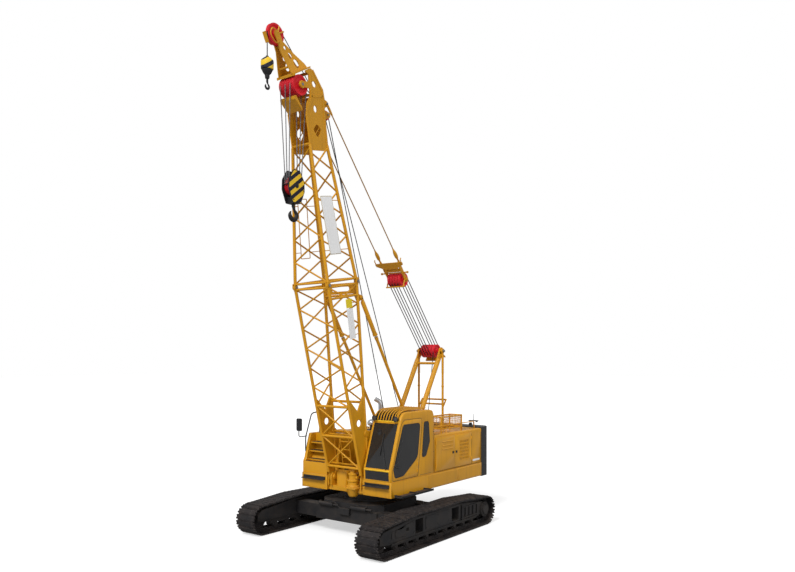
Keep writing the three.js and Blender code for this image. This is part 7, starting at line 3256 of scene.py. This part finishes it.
    def counterweight(self) -> None:
        """The three slabs, with lifting lugs and the bolts on the top one."""
        for name in ("lower", "middle", "upper"):
            node = node_shape(self.nodes, f"counterweight_{name}")
            round_edges(node, 0.05, lambda a, b: abs(a.z - b.z) > 0.1 and min(a.x, b.x) < -3.8)
            add(node.made(f"counterweight_slab_{name}", 0.012, 3), "upper", DARK_GREY,
                [f"counterweight_{name}"])
        lugs = Shape()
        for y in (-1.1, 1.1):
            lug = rounded([(-4.12, 2.8695), (-4.12, 2.96), (-3.96, 2.96), (-3.96, 2.8695)],
                          [0, 0.06, 0.06, 0], 6)
            lugs.prism(lug, y - 0.02, y + 0.02, holes=[oval((-4.04, 2.92), 0.022, 0.022, 20)])
        plate = Shape()
        for y, z in ((y, z) for y in (-1.0, 0.0, 1.0) for z in (1.42, 2.54)):
            plate.lathe([(0, 0), (0.06, 0), (0.055, -0.01), (0, -0.012)], (-4.2995, y, z), Axis.X,
                        24)
        add(joined("counterweight_lugs", dress(lugs.made("lugs_plain", 0.004), DARK_GREY),
                   dress(plate.made("plate_plain", 0.001), DARK_GREY)), "upper")


# ---------------------------------------------------------------- cab


@dataclass
class Cab(SubAssembly):
    """The operator's cab: shell, door, glass, seat, and the guard and lamps on its roof.

    Attributes:
        inner: The wall towards the boom.
        outer: The wall towards the left.
        door_window: The door's window opening.
        quarter_window: The small window behind the door.
        inner_window: The window towards the boom.
        door_edge: The door's edge.
        screen: The windscreen's lower and upper ends.
        floor: The height of a thing that stands on the cab's floor.
        roof_z: The height of a thing that stands on its roof.
        seat_y: How far left the seat's middle is.
        seat_z: The height of the cushion's underside.
        lamp: Where the work lamps stand, seen from the side.
    """

    inner: float = 0.695
    outer: float = 1.690
    door_window: Corners = (
        (0.617, 1.850), (0.994, 1.830), (1.060, 2.049), (0.600, 3.250), (-0.200, 3.250),
        (-0.070, 2.300),
    )
    quarter_window: Corners = (
        (-0.440, 3.270), (-0.640, 3.270), (-0.700, 2.690), (-0.500, 2.290), (-0.330, 2.270),
    )
    inner_window: Corners = ((-0.650, 2.250), (0.820, 2.150), (0.560, 3.270), (-0.650, 3.270))
    door_edge: Corners = (
        (-0.100, 1.740), (1.100, 1.740), (1.115, 2.030), (0.690, 3.290), (0.560, 3.400),
        (-0.290, 3.400), (-0.310, 3.200),
    )
    screen: Corners = ((1.200, 2.020), (0.750, 3.345))
    floor: float = 1.751
    roof_z: float = 3.6205
    seat_y: float = 1.1925
    seat_z: float = 2.072
    lamp: tuple[float, float] = (0.80, 3.440)

    def build(self) -> None:
        """Makes the cab."""
        self.shell()
        self.door()
        self.side_glass()
        self.screens()
        self.interior()
        self.seat()
        self.roof_guard()

    def shell(self) -> None:
        """The cab's shell with rounded outer edges, its seams and its yellow bars."""
        node = node_shape(self.nodes, "cab_shell")

        def is_outer(a: Vector, b: Vector) -> bool:
            """Whether an edge runs round the outside of a side wall, above the sill.

            Args:
                a: The edge's first end.
                b: Its other end.

            Returns:
                Whether it does.
            """
            for side in (self.inner, self.outer):
                if all(abs(end.y - side) < 1e-4 and self.on_profile(end) for end in (a, b)):
                    return max(a.z, b.z) > 1.72
            return False

        round_edges(node, 0.040, is_outer, 5)
        add(node.made("cab_body", 0.004), "upper", YELLOW, ["cab_shell"])
        bars = Shape()
        (x0, z0), (x1, z1) = self.screen
        bars.tube([(x0 - 0.012, self.inner + 0.05, z0 - 0.012),
                   (x0 - 0.012, self.outer - 0.05, z0 - 0.012)], 0.024, 16)
        bars.tube([(x1 - 0.004, self.inner + 0.06, z1 + 0.012),
                   (x1 - 0.004, self.outer - 0.06, z1 + 0.012)], 0.022, 16)
        add(bars.made("screen_bars", 0.002), "upper", YELLOW_BRIGHT)
        seams = Shape()
        edge = rounded(list(self.door_edge), [0.04, 0.04, 0.1, 0.08, 0.08, 0.08, 0.05], 6)
        seams.prism(inset(edge, -0.010), self.outer - 0.0005, self.outer + 0.0016,
                    holes=[inset(edge, 0.001)])
        seams.box((-0.9475, self.outer - 0.012, 1.80), (-0.9495, self.outer - 0.008, 3.42))
        add(seams.made("cab_door_seam"), "upper", RUBBER)
        trim = Shape()
        for z in (2.36, 2.95):
            trim.disc((-0.925, self.outer, z), 0.012, -0.002, 0.006)
        trim.box((-0.8, self.outer - 0.001, 1.745), (-0.2, self.outer + 0.003, 1.752))
        add(trim.made("cab_rear_trim", 0.001), "upper", BLACK)

    def on_profile(self, point: Vector) -> bool:
        """Whether a point lies on the cab's outer profile.

        Args:
            point: The point.

        Returns:
            Whether it does.
        """
        outline = [(-0.947, 1.7005), (1.185, 1.7005), (1.2, 2.02), (0.75, 3.345), (0.69, 3.5),
                   (0.59, 3.59), (0.48, 3.62),
                   (-0.76, 3.62), (-0.88, 3.59), (-0.947, 3.49)]
        here = Vector((point.x, point.z))
        for a, b in zip(outline, outline[1:] + outline[:1]):
            start, end = Vector(a), Vector(b)
            along = end - start
            share = max(0.0, min(1.0, (here - start).dot(along) / along.length_squared))
            if (start + along * share - here).length < 0.002:
                return True
        return False

    def door(self) -> None:
        """The door's panel, its glass, its gasket and its handle."""
        panel = dress(node_copy(self.nodes, "cab_door", "cab_door_panel", 0.003), YELLOW_DOORS)
        recolour(panel, BLACK, lambda p: p.y > self.outer + 0.001 and 2.10 < p.z < 2.16
                 and p.x > 0.8)
        add(panel, "cab_door", replaces=["cab_door"])
        edge = rounded(list(self.door_window), [0.12, 0.06, 0.10, 0.08, 0.10, 0.30], 8)
        pane = Shape().prism(inset(edge, -0.012), self.outer + 0.0008, self.outer + 0.0045)
        add(pane.made("door_pane", 0.001), "cab_door", GLASS, ["cab_door_glass"])
        seal = Shape().prism(inset(edge, -0.026), self.outer + 0.0004, self.outer + 0.0065,
                             holes=[inset(edge, -0.010)])
        add(seal.made("door_pane_seal", 0.0015), "cab_door", RUBBER)
        handle = Shape()
        for (x0, z0), (x1, z1), near, far, bend in (
            ((0.86, 2.08), (1.0, 2.11), 0.005, 0.050, 0.02),
            ((0.93, 2.22), (0.72, 2.86), 0.002, 0.045, 0.03),
        ):
            near, far = self.outer + near, self.outer + far
            path = [(x0, near, z0), (x0, far, z0), (x1, far, z1), (x1, near, z1)]
            handle.tube(bend_path(path, bend), 0.010, 12)
        add(handle.made("door_handle", 0.001), "cab_door", BLACK)

    def side_glass(self) -> None:
        """The quarter, inner and rear windows with their seals."""
        quarter = rounded(list(self.quarter_window), [0.05, 0.06, 0.15, 0.10, 0.06], 6)
        inner = rounded(list(self.inner_window), [0.06, 0.08, 0.08, 0.06], 6)
        glass, seals = Shape(), Shape()
        glass.prism(inset(quarter, -0.010), self.outer + 0.0006, self.outer + 0.0040)
        seals.prism(inset(quarter, -0.024), self.outer + 0.0002, self.outer + 0.0060,
                    holes=[inset(quarter, -0.008)])
        glass.prism(inset(inner, -0.010), self.inner - 0.0040, self.inner - 0.0006)
        seals.prism(inset(inner, -0.024), self.inner - 0.0060, self.inner - 0.0002,
                    holes=[inset(inner, -0.008)])
        rear = rectangle((0.845, 2.3), (1.540, 3.3), 0.07, 6)
        glass.prism(inset(rear, -0.010), -0.9510, -0.9476, Plane.YZ)
        seals.prism(inset(rear, -0.024), -0.9530, -0.9472, Plane.YZ, [inset(rear, -0.008)])
        add(glass.made("fixed_side_glass", 0.001), "upper", GLASS)
        add(seals.made("fixed_glass_seals", 0.0015), "upper", RUBBER)

    def screens(self) -> None:
        """The windscreen, the lower screen, their seals and the wiper."""
        (x0, z0), (x1, z1) = self.screen
        run = math.hypot(x1 - x0, z1 - z0)
        move = slanted((x0, 0, z0), math.degrees(math.atan2(z1 - z0, x1 - x0)))
        pane = rounded([(0.050, 0.772), (run - 0.050, 0.790), (run - 0.050, 1.595), (0.050, 1.613)],
                       [0.05], 6)
        upper = Shape().prism(pane, 0.006, 0.012, Plane.XY)
        add(upper.place(move).made("windscreen_pane", 0.001), "upper", GLASS, ["windshield"])
        seal = Shape().prism(inset(pane, -0.020), 0.0095, 0.016, Plane.XY, [inset(pane, 0.010)])
        lower_run = math.hypot(0.010, 0.25)
        low_move = slanted((1.186, 0, 1.735), math.degrees(math.atan2(0.25, 0.010)))
        low = rectangle((0.004, 0.772), (lower_run - 0.004, 1.613), 0.04, 6)
        lower = Shape().prism(low, 0.006, 0.012, Plane.XY)
        add(lower.place(low_move).made("lower_screen_pane", 0.001), "upper", GLASS,
            ["lower_windshield"])
        low_seal = Shape().prism(inset(low, -0.014), 0.003, 0.008, Plane.XY,
                                 [inset(low, 0.008)]).place(low_move)
        seals = seal.place(move).include(low_seal)
        add(seals.made("screen_seals", 0.001), "upper", RUBBER)
        wiper = Shape()
        wiper.tube([(0.06, 1.50, -0.012), (0.50, 1.32, -0.020), (0.74, 1.22, -0.020)], 0.007, 10)
        wiper.box((0.42, 1.20, -0.022), (1.05, 1.215, -0.002))
        wiper.disc((0.06, 1.50, 0), 0.025, -0.03, 0.0, Axis.Z)
        add(wiper.place(move).made("wiper", 0.001), "upper", BLACK)

    def interior(self) -> None:
        """The floor mat, pedestal, console, levers and pedals seen through the glass."""
        floor, middle = self.floor, self.seat_y
        shape = Shape()
        shape.prism(rectangle((-0.50, 0.77), (0.62, 1.48), 0.04, 4), floor, floor + 0.008, Plane.XY)
        pedestal = rectangle((-0.35, middle - 0.17), (0.05, middle + 0.17), 0.05)
        shape.prism(pedestal, floor + 0.0085, floor + 0.32, Plane.XY)
        stand = rounded([(-0.30, floor), (0.56, floor), (0.62, floor + 0.80), (0.50, floor + 0.84),
                         (0.44, floor + 0.62),
                         (-0.30, floor + 0.62)], [0.03, 0.03, 0.05, 0.05, 0.08, 0.06], 5)
        shape.prism(stand, self.inner + 0.085, self.inner + 0.205)
        for i in range(3):
            x, y = 0.20 + 0.09 * i, self.inner + 0.145
            shape.tube([(x, y, floor + 0.61), (x + 0.04, y, floor + 0.80)], 0.009, 10)
            knob = [(0, 0), (0.015, 0.004), (0.024, 0.022), (0.020, 0.042), (0, 0.050)]
            shape.lathe(knob, (x + 0.04, y, floor + 0.79), Axis.Z, 16)
        for y in (1.10, 1.25):
            pedal = [(0.62, 0.01), (0.72, 0.10), (0.71, 0.115), (0.60, 0.02)]
            shape.prism([(x, floor + z) for x, z in pedal], y, y + 0.09)
        lever = [(0.50, 1.48, floor + 0.01), (0.50, 1.48, floor + 0.6), (0.30, 1.48, floor + 0.7)]
        shape.tube(bend_path(lever, 0.08), 0.014, 12)
        add(shape.made("cab_interior", 0.006), "upper", BLACK, ["seat_and_controls"])

    def cushion(self, name: str, corners: Sequence[Point], thick: float,
                crown: float) -> bpy.types.Object:
        """A crowned pad over four corners, pulled in at its edges, with two sewn channels.

        Args:
            name: The pad's name.
            corners: The four corners of its underside, in order.
            thick: Its thickness at the edges.
            crown: How far its middle stands proud.

        Returns:
            The pad.
        """
        a, b, c, d = [Vector(p) for p in corners]
        normal = (b - a).cross(d - a).normalized()
        steps = 14
        shape = Shape()

        def place(u: float, v: float, top: bool) -> Vector:
            """A point of the pad's top or underside at u across and v along.

            Args:
                u: The share of the way across.
                v: The share of the way along.
                top: Whether it is on the upper side.

            Returns:
                The point.
            """
            base = a.lerp(b, u).lerp(d.lerp(c, u), v)
            edge = min(u, 1 - u, v, 1 - v)
            middle = a.lerp(b, 0.5).lerp(d.lerp(c, 0.5), 0.5)
            crest_u, crest_v = math.sin(math.pi * u), math.sin(math.pi * v)
            pull = 0.03 * (crest_u * (abs(v - 0.5) * 2) ** 4 + crest_v * (abs(u - 0.5) * 2) ** 4)
            base = base.lerp(middle, pull)
            if not top:
                return base
            round_off = min(1.0, edge / 0.10)
            rise = thick * (0.35 + 0.65 * math.sqrt(1 - (1 - round_off) ** 2))
            seam = sum(math.exp(-((u - s) / 0.02) ** 2) for s in (0.32, 0.68))
            return base + normal * (rise + crown * crest_u * crest_v - 0.012 * seam)

        grid: list[Vector] = []
        for top in (False, True):
            grid += [place(i / steps, j / steps, top) for j in range(steps + 1)
                     for i in range(steps + 1)]
        row = steps + 1
        size = row * row
        faces: list[Sequence[int]] = []
        for j in range(steps):
            for i in range(steps):
                k = j * row + i
                faces.append((k, k + row, k + row + 1, k + 1))
                faces.append((size + k, size + k + 1, size + k + row + 1, size + k + row))
        rim = list(range(row))
        rim += [j * row + steps for j in range(1, row)]
        rim += [steps * row + i for i in range(steps - 1, -1, -1)]
        rim += [j * row for j in range(steps - 1, 0, -1)]
        for k, here in enumerate(rim):
            after = rim[(k + 1) % len(rim)]
            faces.append((here, after, size + after, size + here))
        shape.grow(grid, faces)
        pad = shape.made(name)
        smooth = pad.modifiers.new("smooth", "SUBSURF")
        smooth.levels = smooth.render_levels = 1
        plain = baked(pad, name)
        plain.data.shade_smooth()
        return plain

    def seat(self) -> None:
        """The seat's cushion and back."""
        z, middle = self.seat_z, self.seat_y
        low = [(-0.42, middle - 0.26, z), (0.13, middle - 0.26, z), (0.13, middle + 0.26, z),
               (-0.42, middle + 0.26, z)]
        pad = self.cushion("seat_cushion", low, 0.105, 0.022)
        add(pad, "upper", VINYL)
        back = [(-0.385, middle + 0.24, z + 0.14), (-0.505, middle + 0.24, z + 0.80),
                (-0.505, middle - 0.24, z + 0.80),
                (-0.385, middle - 0.24, z + 0.14)]
        rest = self.cushion("seat_back", [back[0], back[3], back[2], back[1]], 0.085, 0.018)
        add(rest, "upper", VINYL)

    def roof_guard(self) -> None:
        """The slats over the roof and windscreen top, and the work lamps."""
        floor, inner, outer = self.roof_z, self.inner + 0.105, self.outer - 0.130
        skylight = [(0.756, 3.350), (0.702, 3.508), (0.596, 3.602), (0.482, 3.6235),
                    (-0.30, 3.6235)]
        low = [(x - 0.004, z - 0.006) for x, z in skylight]
        window = Shape().prism(skylight + low[::-1], self.inner + 0.075, self.outer - 0.075)
        add(window.made("roof_window", 0.0015), "upper", GLASS)
        slats = Shape()
        first, last = self.inner + 0.090, self.outer - 0.080 - 0.028
        for i in range(9):
            y = first + (last - first) * i / 8
            path = [(-0.62, floor + 0.062), (0.46, floor + 0.062), (0.70, floor - 0.045),
                    (0.775, 3.40)]
            line = bend_path([(x, y + 0.014, z) for x, z in path], 0.16, 8)
            outline = [(p.x, p.z + 0.018) for p in line]
            outline += [(p.x, p.z - 0.017) for p in reversed(line)]
            slats.prism(outline, y, y + 0.028)
        for x in (-0.56, 0.40):
            slats.box((x, self.inner + 0.06, floor + 0.030),
                      (x + 0.03, self.outer - 0.06, floor + 0.046))
        for x in (-0.56, 0.40):
            for y in (inner, outer):
                slats.box((x, y, floor), (x + 0.03, y + 0.03, floor + 0.031))
        for y in (inner, outer):
            path = [(0.40, floor + 0.030), (0.66, floor + 0.02), (0.765, 3.50)]
            slats.tube(bend_path([(x, y + 0.015, z) for x, z in path], 0.08), 0.012, 10)
        add(slats.made("roof_guard_slats", 0.003), "upper", YELLOW, ["cab_roof_guard"])
        shells, lenses = Shape(), Shape()
        for y in (inner + 0.015, outer + 0.015):
            body = [(0, -0.040), (0.045, -0.038), (0.062, -0.015), (0.075, 0.030), (0.078, 0.045),
                    (0.066, 0.046),
                    (0.064, 0.036), (0, 0.036)]
            shells.lathe(body, (self.lamp[0], y, self.lamp[1]), Axis.X, 36)
            glass = [(0, 0.0362), (0.063, 0.0362), (0.050, 0.043), (0, 0.046)]
            lenses.lathe(glass, (self.lamp[0], y, self.lamp[1]), Axis.X, 32)
        add(shells.made("work_lamp_shells"), "upper", BLACK)
        add(lenses.made("work_lamp_lenses"), "upper", LENS)


SUB_ASSEMBLIES: tuple[type[SubAssembly], ...] = (
    CarriedOver, LeftCrawler, RightCrawler, Boom, Gantry, LuffingGear, Backstops, Hooks, UpperFrame,
    Houses,
    Cab, CarbodyFittings,
)


# ---------------------------------------------------------------- the whole crane


def main() -> list[list[Vector]]:
    """Loads the frame and builds everything on it.

    Returns:
        The frame's box, as the CAD model gave it.
    """
    logging.basicConfig(level=logging.INFO, format="%(name)s: %(message)s")
    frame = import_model()
    cad_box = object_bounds()
    nodes = frame["nodes"]
    Trees.build()
    Groups.build()
    Studio().build()
    for kind in SUB_ASSEMBLIES:
        LOG.info("building %s", kind.__name__)
        kind(nodes).build()
    return cad_box


if __name__ == "__main__":
    CAD_BOX = main()
